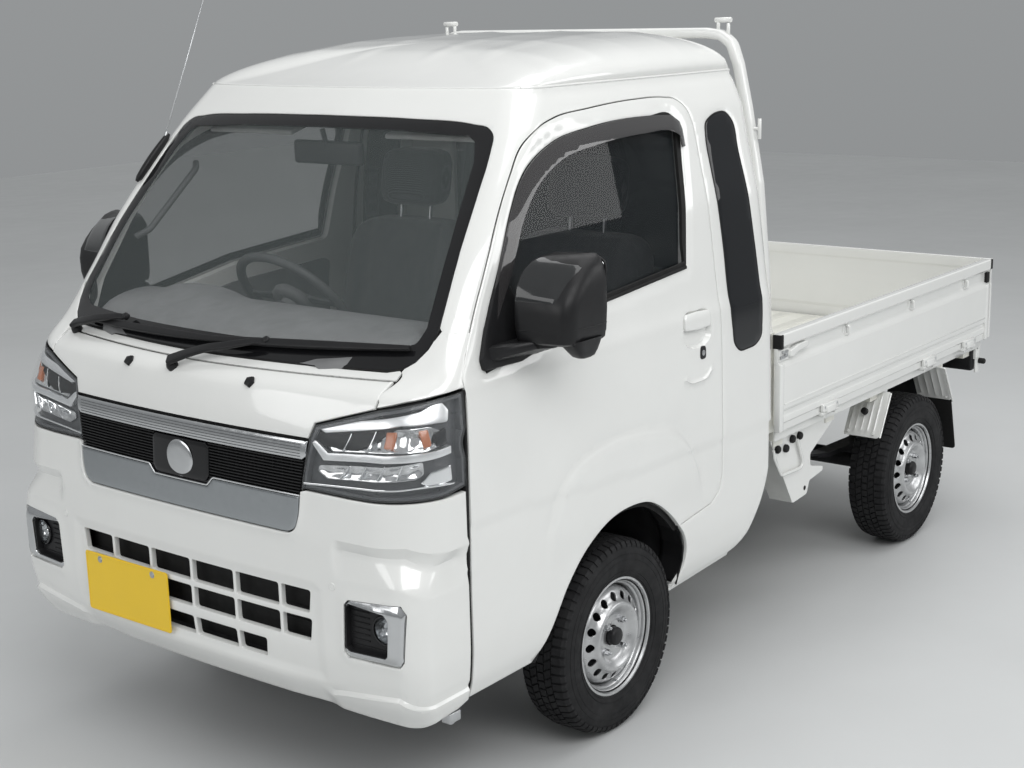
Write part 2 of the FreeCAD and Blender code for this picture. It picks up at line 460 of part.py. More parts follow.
# ---- chassis --------------------------------------------------------------------------------
RAIL = [(1560, 290), (1560, 358), (560, 358), (300, 530), (-1640, 530), (-1640, 440), (270, 440), (500, 290)]
RAIL_Y0, RAIL_Y1 = 332.0, 388.0
rail = prism(RAIL, "xz", RAIL_Y0, RAIL_Y1)
save("frame_rails", [rail, flip(rail)])
CROSS = table("x z0 z1", [(1520, 295, 350), (1180, 295, 350), (540, 292, 303), (120, 445, 525), (-420, 445, 525),
                          (-760, 445, 525), (-1420, 445, 525), (-1610, 445, 525)])
crosses = [box(r["x"] - 30, r["x"] + 30, -RAIL_Y0, RAIL_Y0, r["z0"], r["z1"]) for r in CROSS]
save("frame_crossmembers", crosses)
chassis = fuse([rail, flip(rail)] + crosses)

# ---- wheels ---------------------------------------------------------------------------------
def revolve_y(pts, y):
    """pts: list of (radius, y offset); solid turned about the y axis at the origin, moved to y."""
    p = [V(r, y + o, 0) for r, o in pts]
    return Part.Face(Part.makePolygon(p + [p[0]])).revolve(V(0, 0, 0), V(0, 1, 0), 360)
TYRE = [(152, -52), (176, -66), (206, -72.5), (236, -69), (257, -60), (266, -48), (268.5, -30), (268.5, 30), (266, 48), (257, 60),
        (236, 69), (206, 72.5), (176, 66), (152, 52)]
RIM_OUT = [(165, 60), (165, 56), (152, 51.5), (145, 44), (136, 24), (136, -24), (145, -44), (152, -51.5), (165, -56), (165, -60),
           (149, -56), (139, -44), (130, -24), (130, 30), (122, 41), (108, 45.5), (99, 51), (93, 61.5), (90, 63), (85, 61), (75, 50), (66, 45),
           (58, 42), (58, 30), (PIN_R + RUN, 30), (PIN_R + RUN, 50), (66, 50), (74, 56), (84, 66), (90, 68), (96, 66), (103, 56), (112, 50),
           (126, 46), (134, 38), (139, 44), (149, 56)]
def rim(s, x, y):
    pts = [(r, o * s) for r, o in RIM_OUT]
    r = revolve_y(pts, 0.0)
    for k in range(16):
        a = 2 * math.pi * k / 16
        c = (math.cos(a) * 107, math.sin(a) * 107)
        r = r.cut(cyl((c[0], s * 36, c[1]), (c[0], s * 74, c[1]), 9))
    hub = cyl((0, s * 16, 0), (0, s * 50, 0), 30).fuse(cyl((0, s * 48, 0), (0, s * 66, 0), 25)).cut(cyl((0, s * 10, 0), (0, s * 38, 0), PIN_R + RUN))
    r = r.fuse(hub)
    r.translate(V(x, y, TYRE_R))
    return r
def tyre(s, x, y):
    t = revolve_y([(r, o * s) for r, o in TYRE], 0.0)
    r = revolve_y([(q, o * s) for q, o in [(152, -51.5), (165, -56), (165, -80), (100, -80), (100, 80), (165, 80), (165, 56), (152, 51.5)]], 0.0)
    t = t.cut(r)
    t.translate(V(x, y, TYRE_R))
    return t
WHEELS = [("front_left", X_FRONT_AXLE, TRACK_F / 2, 1), ("front_right", X_FRONT_AXLE, -TRACK_F / 2, -1),
          ("rear_left", X_REAR_AXLE, TRACK_R / 2, 1), ("rear_right", X_REAR_AXLE, -TRACK_R / 2, -1)]
for n, x, y, s in WHEELS:
    save(n + "_rim", rim(s, x, y))
    save(n + "_tyre", tyre(s, x, y))

# ---- front axle parts -----------------------------------------------------------------------
kd = V(0, KING_Y1 - KING_Y0, KING_Z1 - KING_Z0)
kl = kd.Length
ku = kd * (1 / kl)
kp = lambda d: (X_FRONT_AXLE, KING_Y0 + ku.y * d, KING_Z0 + ku.z * d)
ARM_X, ARM_Y, ARM_Z = 706.0, 552.0, 221.0               # steering arm's end (behind the axle)
def knuckle():
    yw = TRACK_F / 2
    k = fuse([cyl((X_FRONT_AXLE, 590, TYRE_R), (X_FRONT_AXLE, yw + 38, TYRE_R), PIN_R),
              cyl((X_FRONT_AXLE, 592, TYRE_R), (X_FRONT_AXLE, 638, TYRE_R), 52),
              box(X_FRONT_AXLE - 26, X_FRONT_AXLE + 26, 572, 602, 205, 352),
              cyl(kp(128), kp(320), 24), cyl(kp(286), kp(294), 38),
              prism([(ARM_X, ARM_Y - 14), (ARM_X, ARM_Y + 14), (812, 600), (812, 574)], "xy", ARM_Z - 8, ARM_Z + 8),
              cyl((ARM_X, ARM_Y, ARM_Z - 8), (ARM_X, ARM_Y, ARM_Z + 8), 16)])
    # coil spring drawn as rings and the cap under the top mount
    k = fuse([k, cyl(kp(286), kp(404), 30), cyl(kp(402), kp(410), 46)] + [cyl(kp(300 + i * 17), kp(307 + i * 17), 38) for i in range(6)])
    k = k.cut(cyl(kp(225), kp(430), 11 + 0.3))
    return k
kn = knuckle()
save("knuckle_left", kn)
save("knuckle_right", flip(kn))
fs = []
for s in (1, -1):
    f = (lambda q: q) if s > 0 else flip
    fs.append(f(fuse([cyl(kp(240), kp(446), 11), cyl(kp(418), kp(446), 54).common(box(500, 1100, 300, 700, 500, 637.5))])))
    arm = fuse([prism([(780, 392), (872, 392), (858, 560), (846, 600), (806, 600), (794, 560)], "xy", 172, 192),
                cyl((X_FRONT_AXLE, KING_Y0 - 4, 172), (X_FRONT_AXLE, KING_Y0 - 4, 199), 17),
                box(780, 872, 334, 392, 172, 290)])
    fs.append(f(arm))
save("front_suspension", fs)
rack_y = 300.0
RACK_X, RACK_Z = ARM_X, 262.0
rack = fuse([cyl((RACK_X, -rack_y, RACK_Z), (RACK_X, rack_y, RACK_Z), 24), box(RACK_X - 16, RACK_X + 16, 250, 290, RACK_Z, 292),
             box(RACK_X - 16, RACK_X + 16, -290, -250, RACK_Z, 292), box(RACK_X - 20, RACK_X + 20, -RAIL_Y0, RAIL_Y0, 291, 302)])
rack = rack.cut(cyl((RACK_X, -400, RACK_Z), (RACK_X, 400, RACK_Z), 12.4))
save("steering_rack", rack)
rod = fuse([cyl((RACK_X, -ARM_Y, RACK_Z), (RACK_X, ARM_Y, RACK_Z), 12), cyl((RACK_X, ARM_Y, RACK_Z - 13), (RACK_X, ARM_Y, RACK_Z + 14), 16),
            cyl((RACK_X, -ARM_Y, RACK_Z - 13), (RACK_X, -ARM_Y, RACK_Z + 14), 16)])
save("track_rod", rod)

# ---- rear axle, springs, drive line ---------------------------------------------------------
yw = TRACK_R / 2
ax = fuse([cyl((X_REAR_AXLE, -yw + 20, TYRE_R), (X_REAR_AXLE, yw - 20, TYRE_R), 32),
           Part.makeSphere(112, V(X_REAR_AXLE, 0, TYRE_R)),
           cyl((X_REAR_AXLE, -yw - 38, TYRE_R), (X_REAR_AXLE, yw + 38, TYRE_R), PIN_R)])
for s in (1, -1):
    ax = ax.fuse(cyl((X_REAR_AXLE, s * (yw - 54), TYRE_R), (X_REAR_AXLE, s * (yw + 2), TYRE_R), 108))
save("rear_axle", ax)
sp = []
for s in (1, -1):
    c = s * 480
    leaf = fuse([prism([(-1560, 392), (-1330, 350), (-1074, 340), (-820, 350), (-600, 392), (-600, 400), (-820, 358), (-1074, 348),
                        (-1330, 358), (-1560, 400)], "xz", c - 30, c + 30),
                 prism([(-1420, 360), (-1330, 342), (-1074, 331), (-820, 342), (-730, 360), (-730, 368), (-820, 351), (-1074, 341),
                        (-1330, 351), (-1420, 368)], "xz", c - 30, c + 30),
                 prism([(-1250, 342), (-1074, 322), (-900, 342), (-900, 346), (-1074, 334), (-1250, 346)], "xz", c - 30, c + 30),
                 box(-1114, -1034, c - 34, c + 34, 300.6, 336)])
    leaf = leaf.fuse(cyl((-1560, c - 30, 398), (-1560, c + 30, 398), 16)).fuse(cyl((-600, c - 30, 398), (-600, c + 30, 398), 16))
    lo, hi = min(s * 388, c + s * 34), max(s * 388, c + s * 34)
    leaf = leaf.fuse(box(-1576, -1544, lo, hi, 410, 520)).fuse(box(-616, -584, lo, hi, 410, 520))
    leaf = leaf.fuse(cyl((-1150, s * 440, 300), (-1290, s * 410, 500), 22)).fuse(box(-1160, -1110, min(s * 425, s * 470), max(s * 425, s * 470), 300.6, 330))
    sp.append(leaf.cut(ax).cut(chassis))
save("rear_springs", [max(q.Solids, key=lambda t: t.Volume) for q in sp])
save("engine", fuse([box(440, 900, -240, 240, 308, 560), box(600, 660, -RAIL_Y0, RAIL_Y0, 322, 350)]))
ps = fuse([box(180, 440, -110, 110, 380, 540), cyl((180, 0, 440), (40, 0, 440), 60), cyl((40, 0, 440), (X_REAR_AXLE + 140, 0, 300), 30),
           cyl((X_REAR_AXLE + 140, 0, 300), (X_REAR_AXLE + 105, 0, 290), 44)]).cut(chassis).cut(ax)
save("propshaft", max(ps.Solids, key=lambda t: t.Volume))
tank = box(-560, -180, -650, -400, 330, 520)
save("fuel_tank", tank.fuse(box(-500, -480, -560, -400, 518, 575)).fuse(box(-300, -280, -560, -400, 518, 575)))
ex = fuse([cyl((-700, 250, 400), (-300, 250, 400), 70), cyl((-300, 250, 400), (300, 150, 330), 22), cyl((300, 150, 330), (500, 150, 330), 22),
           cyl((-700, 250, 400), (-880, 270, 400), 20), cyl((-880, 270, 400), (-930, 300, 560), 20), cyl((-930, 300, 560), (-1240, 300, 560), 20),
           cyl((-1240, 300, 560), (-1300, 250, 390), 20), cyl((-1300, 250, 390), (-1650, 250, 390), 20)])
ex = ex.cut(box(438, 902, -242, 242, 306, 562))
save("exhaust", max(ex.cut(chassis).Solids, key=lambda t: t.Volume))

# ---- rear guards, flaps, lamps, plates, side bracket ----------------------------------------
# flat sheets before and behind the rear tyre, xz outlines
GUARD_FRONT = [(-750, 456), (-755, 453), (-838, 600), (-833, 603)]
GUARD_REAR = [(-1283, 600), (-1366, 461), (-1370, 463.5), (-1287, 602.5)]
FLAP = [(-1363, 468), (-1369, 470), (-1424, 262), (-1419, 261)]
GUARD_Y0, GUARD_Y1 = 590.0, 724.0
wg, mf = [], []
for s in (1, -1):
    lo, hi = min(s * GUARD_Y0, s * GUARD_Y1), max(s * GUARD_Y0, s * GUARD_Y1)
    for o in (GUARD_FRONT, GUARD_REAR):
        wg.append(max(prism(o, "xz", lo, hi).cut(NODES["bed_floor"]).Solids, key=lambda q: q.Volume))
    mf.append(prism(FLAP, "xz", lo, hi).cut(wg[-1]))
save("rear_wheel_guards", wg)
save("mudflaps", [max(q.Solids, key=lambda t: t.Volume) for q in mf])
save("tail_lamps", [box(-1684, -1630, 470, 690, 515, 604), box(-1684, -1630, -690, -470, 515, 604)])
PLATE_Y, PLATE_Z, PLATE_W, PLATE_H = -238.0, 470.0, 330.0, 165.0
pf = box(1693, 1697.5, PLATE_Y - PLATE_W / 2, PLATE_Y + PLATE_W / 2, PLATE_Z - PLATE_H / 2, PLATE_Z + PLATE_H / 2)
for y in (-105, 105):
    pf = pf.cut(cyl((1680, PLATE_Y + y, PLATE_Z + 66), (1710, PLATE_Y + y, PLATE_Z + 66), 3.5))
rp = fuse([box(-1670, -1666, -165, 165, 440, 605), box(-1667, -1640, -110, -80, 480, 500), box(-1667, -1640, 80, 110, 480, 500)])
save("number_plates", [pf, rp])
# bracket under the front of the bed on the left, with the upper end of its plate on the bed's side member: x z
BRACKET = [(-70, 606), (-229, 354), (-324, 361), (-343, 403), (-436, 415), (-436, 432), (-348, 453), (-346, 494), (-494, 570), (-518, 606)]
br = prism(BRACKET, "xz", 672, 678)
br = br.fuse(prism([(-70, 606), (-229, 354), (-236, 359), (-82, 606)], "xz", 590, 673))
br = br.cut(cyl((-309, 600, 385), (-309, 700, 385), 9)).cut(NODES["bed_floor"])
save("side_bracket", br)

bb = Part.makeCompound(list(NODES.values())).BoundBox
print("box", [round(v, 1) for v in (bb.XMin, bb.XMax, bb.YMin, bb.YMax, bb.ZMin, bb.ZMax)], "nodes", len(NODES))
for n, s in NODES.items():
    b = s.BoundBox
    print("%-20s solids %2d valid %s vol %.0f  x %.0f %.0f  y %.0f %.0f  z %.0f %.0f" % (
        n, len(s.Solids), s.isValid(), s.Volume / 1000, b.XMin, b.XMax, b.YMin, b.YMax, b.ZMin, b.ZMax))
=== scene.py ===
import json
import math
import bpy
import bmesh
import numpy as np
from mathutils import Vector, Matrix
from mathutils.geometry import delaunay_2d_cdt

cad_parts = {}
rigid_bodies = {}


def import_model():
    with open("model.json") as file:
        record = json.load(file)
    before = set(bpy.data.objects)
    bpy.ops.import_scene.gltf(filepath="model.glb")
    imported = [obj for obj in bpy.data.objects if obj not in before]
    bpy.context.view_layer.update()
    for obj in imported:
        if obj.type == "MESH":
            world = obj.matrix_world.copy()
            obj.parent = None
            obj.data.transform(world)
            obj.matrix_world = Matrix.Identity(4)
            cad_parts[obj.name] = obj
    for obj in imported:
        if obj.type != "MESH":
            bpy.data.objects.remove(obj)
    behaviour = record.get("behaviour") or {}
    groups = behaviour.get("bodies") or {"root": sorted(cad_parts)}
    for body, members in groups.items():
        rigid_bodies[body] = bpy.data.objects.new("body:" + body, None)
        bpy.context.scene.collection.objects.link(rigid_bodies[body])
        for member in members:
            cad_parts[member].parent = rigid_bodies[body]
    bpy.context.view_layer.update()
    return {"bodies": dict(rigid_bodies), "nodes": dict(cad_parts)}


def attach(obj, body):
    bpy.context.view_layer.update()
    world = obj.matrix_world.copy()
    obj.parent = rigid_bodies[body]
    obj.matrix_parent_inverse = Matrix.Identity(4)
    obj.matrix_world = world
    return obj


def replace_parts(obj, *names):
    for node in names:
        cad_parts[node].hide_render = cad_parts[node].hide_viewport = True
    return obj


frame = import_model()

NODES, BODIES = frame["nodes"], frame["bodies"]
MM = 0.001
rng = np.random.default_rng(7)

# =============================================================================================
# body surface: smooth plan sections, the same table as the CAD
# =============================================================================================
# z, front x at the middle, bow (x falls by bow * y^2 / 10000), half width of the side, corner radius
PLAN = np.array([
    (300, 1640, 0.60, 706, 60),
    (375, 1682, 0.60, 729, 60),
    (460, 1691, 0.55, 736, 60),
    (650, 1691, 0.55, 737, 80),
    (725, 1691, 0.55, 737, 150),
    (850, 1684, 0.80, 736, 150),
    (968, 1676, 1.00, 734, 110),
    (1076, 1652, 1.70, 729, 150),
    (1118, 1592, 1.95, 720, 80),
    (1250, 1485, 1.80, 703, 90),
    (1380, 1381, 1.60, 686, 78),
    (1510, 1265.5, 1.50, 657, 65),
    (1640, 1150, 1.50, 628, 90),
    (1735, 1062, 1.60, 586, 90),
    (1900, 905, 1.80, 516, 80)], float)
X_REAR, R_REAR = 8.0, 34.0
SEG = np.array([600.0, 230.0, 1390.0, 53.0, 700.0])
CUM = np.concatenate([[0], np.cumsum(SEG)])


def pchip(x, y, xi):
    h = np.diff(x)
    d = np.diff(y) / h
    m = np.zeros_like(y)
    m[0], m[-1] = d[0], d[-1]
    for i in range(1, len(x) - 1):
        if d[i - 1] * d[i] > 0:
            w1, w2 = 2 * h[i] + h[i - 1], h[i] + 2 * h[i - 1]
            m[i] = (w1 + w2) / (w1 / d[i - 1] + w2 / d[i])
    k = np.clip(np.searchsorted(x, xi) - 1, 0, len(x) - 2)
    t = (xi - x[k]) / h[k]
    return ((2 * t ** 3 - 3 * t ** 2 + 1) * y[k] + (t ** 3 - 2 * t ** 2 + t) * h[k] * m[k]
            + (-2 * t ** 3 + 3 * t ** 2) * y[k + 1] + (t ** 3 - t ** 2) * h[k] * m[k + 1])


ZG = np.arange(296.0, 1902.0, 2.0)
PG = np.stack([0.6 * pchip(PLAN[:, 0], PLAN[:, c], ZG) + 0.4 * np.interp(ZG, PLAN[:, 0], PLAN[:, c]) for c in range(1, 5)], 1)
_k = np.ones(5) / 5.0
PG = np.stack([np.convolve(np.pad(PG[:, c], 2, mode="edge"), _k, "valid") for c in range(4)], 1)


def sect(z):
    """Front x, bow, half width, corner radius, and the corner's turn angle, end y and x, side start x."""
    z = np.clip(z, ZG[0], ZG[-1])
    xf, k, ys, R = [np.interp(z, ZG, PG[:, c]) for c in range(4)]
    k = k * 1e-4
    turn = 0.2 + 0 * xf
    for _ in range(12):
        yc = ys - R * (1 - np.sin(turn))
        turn = np.arctan(2 * k * yc)
    xc = xf - k * yc * yc
    return xf, k, ys, R, turn, yc, xc, xc - R * np.cos(turn)


def surf(sg, z):
    """Point on the left half of the cab's skin, in mm.  sg runs from the front middle round to the rear middle."""
    sg, z = np.asarray(sg, float), np.asarray(z, float)
    sg, z = np.broadcast_arrays(sg, z)
    xf, kk, ys, R, turn, yc, xc, xs = sect(z)
    out = np.zeros(sg.shape + (3,))
    k = np.clip(np.searchsorted(CUM, np.abs(sg), side="right") - 1, 0, 4)
    t = (np.abs(sg) - CUM[k]) / SEG[k]
    y0 = yc * t
    x0 = xf - kk * y0 * y0
    a1 = turn + (math.pi / 2 - turn) * t
    x1, y1 = xs + R * np.cos(a1), ys - R + R * np.sin(a1)
    x2, y2 = xs + (X_REAR + R_REAR - xs) * t, ys + 0 * t
    a3 = t * math.pi / 2
    x3, y3 = X_REAR + R_REAR - R_REAR * np.sin(a3), ys - R_REAR + R_REAR * np.cos(a3)
    x4, y4 = X_REAR + 0 * t, (ys - R_REAR) * (1 - t)
    out[..., 0] = np.choose(k, [x0, x1, x2, x3, x4])
    out[..., 1] = np.choose(k, [y0, y1, y2, y3, y4])
    out[..., 2] = z
    out[..., 1] *= np.where(sg < 0, -1, 1)
    return out


_SS = np.linspace(0, CUM[3], 700)


def sg_of_x(x, z):
    """sg on the corner or side from x, z (arrays)."""
    x, z = np.broadcast_arrays(np.asarray(x, float), np.asarray(z, float))
    r = np.zeros(x.shape)
    for i in np.ndindex(x.shape):
        p = surf(_SS, np.full(_SS.shape, z[i]))
        r[i] = np.interp(-x[i], -p[:, 0], _SS)
    return r


def sg_of_y(y, z):
    y, z = np.broadcast_arrays(np.asarray(y, float), np.asarray(z, float))
    r = np.zeros(y.shape)
    ss = _SS[_SS <= CUM[2]]
    for i in np.ndindex(y.shape):
        p = surf(ss, np.full(ss.shape, z[i]))
        r[i] = math.copysign(np.interp(abs(y[i]), p[:, 1], ss), y[i])
    return r


def x_at(y, z, off=0.0):
    """x of the front skin at y, z."""
    s = sg_of_y(y, z)
    return float(surf(s, np.asarray(z, float))[..., 0]) + off


def y_at(x, z):
    s = sg_of_x(x, z)
    return float(surf(s, np.asarray(z, float))[..., 1])


def smooth(a, b, v):
    t = np.clip((v - a) / (b - a), 0, 1)
    return t * t * (3 - 2 * t)


def seg_dist(px, py, pts, closed=False):
    """Distance from points to a polyline."""
    pts = np.asarray(pts, float)
    a = pts if closed else pts[:-1]
    b = np.roll(pts, -1, 0) if closed else pts[1:]
    best = np.full(np.shape(px), 1e9)
    for (x0, y0), (x1, y1) in zip(a, b):
        dx, dy = x1 - x0, y1 - y0
        L = dx * dx + dy * dy + 1e-9
        t = np.clip(((px - x0) * dx + (py - y0) * dy) / L, 0, 1)
        best = np.minimum(best, np.hypot(px - x0 - t * dx, py - y0 - t * dy))
    return best


def inside(px, py, poly):
    poly = np.asarray(poly, float)
    r = np.zeros(np.shape(px), bool)
    n = len(poly)
    for i in range(n):
        x0, y0 = poly[i]
        x1, y1 = poly[(i + 1) % n]
        if y0 == y1:
            continue
        c = (y0 > py) != (y1 > py)
        r ^= c & (px < (x1 - x0) * (py - y0) / (y1 - y0) + x0)
    return r


def resample(pts, step, closed=True):
    pts = [np.asarray(p, float) for p in pts]
    out = []
    n = len(pts)
    for i in range(n if closed else n - 1):
        a, b = pts[i], pts[(i + 1) % n]
        k = max(1, int(math.ceil(np.linalg.norm(b - a) / step)))
        for j in range(k):
            out.append(a + (b - a) * j / k)
    if not closed:
        out.append(pts[-1])
    return np.array(out)


def round_poly(pts, r, seg=5, closed=True):
    """Rounds polygon corners. r is one radius or a list."""
    n = len(pts)
    rs = r if isinstance(r, (list, tuple)) else [r] * n
    out = []
    for i in range(n):
        p = np.array(pts[i], float)
        if not closed and i in (0, n - 1):
            out.append(p)
            continue
        a, b = np.array(pts[i - 1], float) - p, np.array(pts[(i + 1) % n], float) - p
        la, lb = np.linalg.norm(a), np.linalg.norm(b)
        a, b = a / la, b / lb
        ang = math.acos(np.clip(a @ b, -1, 1))
        if rs[i] <= 0 or ang > math.pi - 0.02:
            out.append(p)
            continue
        d = min(rs[i] / math.tan(ang / 2), 0.49 * la, 0.49 * lb)
        p0, p1 = p + a * d, p + b * d
        for j in range(seg + 1):
            t = j / seg
            out.append((1 - t) ** 2 * p0 + 2 * t * (1 - t) * p + t * t * p1)
    return np.array(out)


def inset_poly(pts, d):
    """Moves a dense closed outline inwards by d."""
    pts = np.asarray(pts, float)
    nx, pv = np.roll(pts, -1, 0), np.roll(pts, 1, 0)
    t = nx - pv
    t /= np.linalg.norm(t, axis=1)[:, None] + 1e-12
    area = 0.5 * np.sum(pts[:, 0] * nx[:, 1] - nx[:, 0] * pts[:, 1])
    nrm = np.stack([-t[:, 1], t[:, 0]], 1) * (1 if area > 0 else -1)
    return pts + nrm * d


# =============================================================================================
# mesh helpers
# =============================================================================================
COL = bpy.data.collections.new("looks")
bpy.context.scene.collection.children.link(COL)


def make(name, verts, faces, mat=None, body=None, slot=None, smooth_all=True, angle=35.0, scale=MM):
    me = bpy.data.meshes.new(name)
    v = np.asarray(verts, float) * scale
    me.from_pydata(v.tolist(), [], [list(map(int, f)) for f in faces])
    me.validate()
    bm = bmesh.new()
    bm.from_mesh(me)
    bmesh.ops.remove_doubles(bm, verts=bm.verts, dist=1e-6)
    bmesh.ops.dissolve_degenerate(bm, dist=1e-7, edges=bm.edges)
    loose = [q for q in bm.verts if not q.link_faces]
    bmesh.ops.delete(bm, geom=loose, context="VERTS")
    bmesh.ops.recalc_face_normals(bm, faces=bm.faces)
    if smooth_all:
        lim = math.radians(angle)
        for f in bm.faces:
            f.smooth = True
        for e in bm.edges:
            if len(e.link_faces) == 2:
                e.smooth = e.calc_face_angle(0.0) < lim
    bm.to_mesh(me)
    bm.free()
    ob = bpy.data.objects.new(name, me)
    COL.objects.link(ob)
    if mat is not None:
        for m in (mat if isinstance(mat, (list, tuple)) else [mat]):
            me.materials.append(m)
    if body:
        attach(ob, body)
    return ob


class Bag:
    """Collects many small pieces into one mesh."""

    def __init__(self):
        self.v, self.f = [], []

    def add(self, v, f):
        n = len(self.v)
        self.v.extend([tuple(p) for p in v])
        self.f.extend([[i + n for i in q] for q in f])
        return self

    def mirrored(self):
        b = Bag()
        b.add([(x, -y, z) for x, y, z in self.v], [q[::-1] for q in self.f])
        return b

    def both(self):
        m = self.mirrored()
        b = Bag()
        b.add(self.v, self.f)
        b.add(m.v, m.f)
        return b

    def moved(self, fn):
        b = Bag()
        b.add([tuple(fn(np.array(p, float))) for p in self.v], self.f)
        return b

    def make(self, name, mat, body, slot=None, angle=35.0, **k):
        return make(name, self.v, self.f, mat, body, slot, angle=angle, **k)


def grid_faces(nu, nv, closed_u=False, closed_v=False):
    f = []
    for i in range(nu if closed_u else nu - 1):
        for j in range(nv if closed_v else nv - 1):
            a, b = i * nv + j, ((i + 1) % nu) * nv + j
            c, d = ((i + 1) % nu) * nv + (j + 1) % nv, i * nv + (j + 1) % nv
            f.append([a, b, c, d])
    return f


def rbox(x0, x1, y0, y1, z0, z1, r=2.0, seg=2, taper=None):
    """Box with rounded edges; returns (verts, faces)."""
    bm = bmesh.new()
    m = bmesh.ops.create_cube(bm, size=1.0)
    for v in bm.verts:
        v.co = Vector(((x0 + x1) / 2 + v.co.x * (x1 - x0), (y0 + y1) / 2 + v.co.y * (y1 - y0), (z0 + z1) / 2 + v.co.z * (z1 - z0)))
    r = min(r, abs(x1 - x0) * 0.45, abs(y1 - y0) * 0.45, abs(z1 - z0) * 0.45)
    if r > 0:
        bmesh.ops.bevel(bm, geom=bm.edges[:], offset=r, segments=seg, profile=0.5, affect="EDGES")
    if taper:
        for v in bm.verts:
            v.co = Vector(taper(np.array(v.co)))
    vs = [tuple(v.co) for v in bm.verts]
    bm.verts.index_update()
    fs = [[v.index for v in f.verts] for f in bm.faces]
    bm.free()
    return vs, fs


def prism(pts, lo, hi, plane, r=0.0, seg=2):
    """Polygon prism with optionally bevelled edges; plane xz: pts are (x, z), lo..hi is y, and so on."""
    mp = {"xz": lambda a, b, c: (a, c, b), "yz": lambda a, b, c: (c, a, b), "xy": lambda a, b, c: (a, b, c)}[plane]
    bm = bmesh.new()
    lo_v = [bm.verts.new(mp(a, b, lo)) for a, b in pts]
    hi_v = [bm.verts.new(mp(a, b, hi)) for a, b in pts]
    n = len(pts)
    bm.faces.new(lo_v)
    bm.faces.new(hi_v[::-1])
    for i in range(n):
        bm.faces.new([lo_v[i], hi_v[i], hi_v[(i + 1) % n], lo_v[(i + 1) % n]])
    bmesh.ops.recalc_face_normals(bm, faces=bm.faces)
    if r > 0:
        ed = [e for e in bm.edges if e.calc_face_angle(0) > 0.6]
        bmesh.ops.bevel(bm, geom=ed, offset=r, segments=seg, profile=0.5, affect="EDGES", clamp_overlap=True)
    bmesh.ops.triangulate(bm, faces=[f for f in bm.faces if len(f.verts) > 4])
    vs = [tuple(v.co) for v in bm.verts]
    bm.verts.index_update()
    fs = [[v.index for v in f.verts] for f in bm.faces]
    bm.free()
    return vs, fs


def frame_at(t, up=(0, 0, 1)):
    t = t / (np.linalg.norm(t) + 1e-12)
    up = np.array(up, float)
    if abs(t @ up) > 0.98:
        up = np.array((1.0, 0, 0))
    a = np.cross(up, t)
    a /= np.linalg.norm(a)
    return a, np.cross(t, a)


def sweep(path, prof, closed=False, ups=None, cap=True, scales=None):
    """Sweeps a closed profile [(u, v)] along a path; ups gives the v direction at each path point."""
    path = np.asarray(path, float)
    prof = np.asarray(prof, float)
    n, m = len(path), len(prof)
    v = []
    prev = None
    for i in range(n):
        if closed:
            t = path[(i + 1) % n] - path[i - 1]
        else:
            t = path[min(i + 1, n - 1)] - path[max(i - 1, 0)]
        t = t / (np.linalg.norm(t) + 1e-12)
        if ups is not None:
            w = np.array(ups[i] if np.ndim(ups) > 1 else ups, float)
            w = w - t * (w @ t)
            w /= np.linalg.norm(w) + 1e-12
            a = np.cross(w, t)
        elif prev is None:
            a, w = frame_at(t)
        else:
            a = prev - t * (prev @ t)
            a /= np.linalg.norm(a) + 1e-12
            w = np.cross(t, a)
        prev = a
        s = 1.0 if scales is None else scales[i]
        for p, q in prof:
            v.append(path[i] + a * p * s + w * q * s)
    f = grid_faces(n, m, closed, True)
    if cap and not closed:
        f.append(list(range(m))[::-1])
        f.append([(n - 1) * m + j for j in range(m)])
    return v, f


def circle(r, n=10, r2=None):
    r2 = r if r2 is None else r2
    return [(r * math.cos(2 * math.pi * i / n), r2 * math.sin(2 * math.pi * i / n)) for i in range(n)]


def rrect(w, h, r, seg=3):
    return [tuple(p) for p in round_poly([(-w / 2, -h / 2), (w / 2, -h / 2), (w / 2, h / 2), (-w / 2, h / 2)], r, seg)]


def bend_path(pts, r, step=12.0, closed=False):
    """Polyline in 3-D with rounded corners."""
    pts = [np.array(p, float) for p in pts]
    n = len(pts)
    out = []
    for i in range(n):
        if not closed and i in (0, n - 1):
            out.append(pts[i])
            continue
        p = pts[i]
        a, b = pts[i - 1] - p, pts[(i + 1) % n] - p
        la, lb = np.linalg.norm(a), np.linalg.norm(b)
        a, b = a / la, b / lb
        ang = math.acos(np.clip(a @ b, -1, 1))
        if ang > math.pi - 0.03:
            out.append(p)
            continue
        d = min(r / math.tan(ang / 2), 0.48 * la, 0.48 * lb)
        k = max(3, int((math.pi - ang) / 0.25))
        for j in range(k + 1):
            t = j / k
            out.append((1 - t) ** 2 * (p + a * d) + 2 * t * (1 - t) * p + t * t * (p + b * d))
    return resample(out, step, closed) if step else np.array(out)


def tube(pts, r, n=12, bend=0.0, step=0, closed=False):
    p = bend_path(pts, bend, step, closed) if bend > 0 else np.array(pts, float)
    return sweep(p, circle(r, n), closed=closed)


def lathe(prof, n=64, axis="y", center=(0, 0, 0), closed_prof=True, a0=0.0, a1=2 * math.pi):
    """prof: (radius, offset along the axis)."""
    full = abs(a1 - a0 - 2 * math.pi) < 1e-6
    v = []
    k = n if full else n + 1
    for i in range(k):
        a = a0 + (a1 - a0) * i / n
        c, s = math.cos(a), math.sin(a)
        for r, o in prof:
            if axis == "y":
                v.append((center[0] + r * c, center[1] + o, center[2] + r * s))
            elif axis == "x":
                v.append((center[0] + o, center[1] + r * c, center[2] + r * s))
            else:
                v.append((center[0] + r * c, center[1] + r * s, center[2] + o))
    return v, grid_faces(k, len(prof), full, closed_prof)


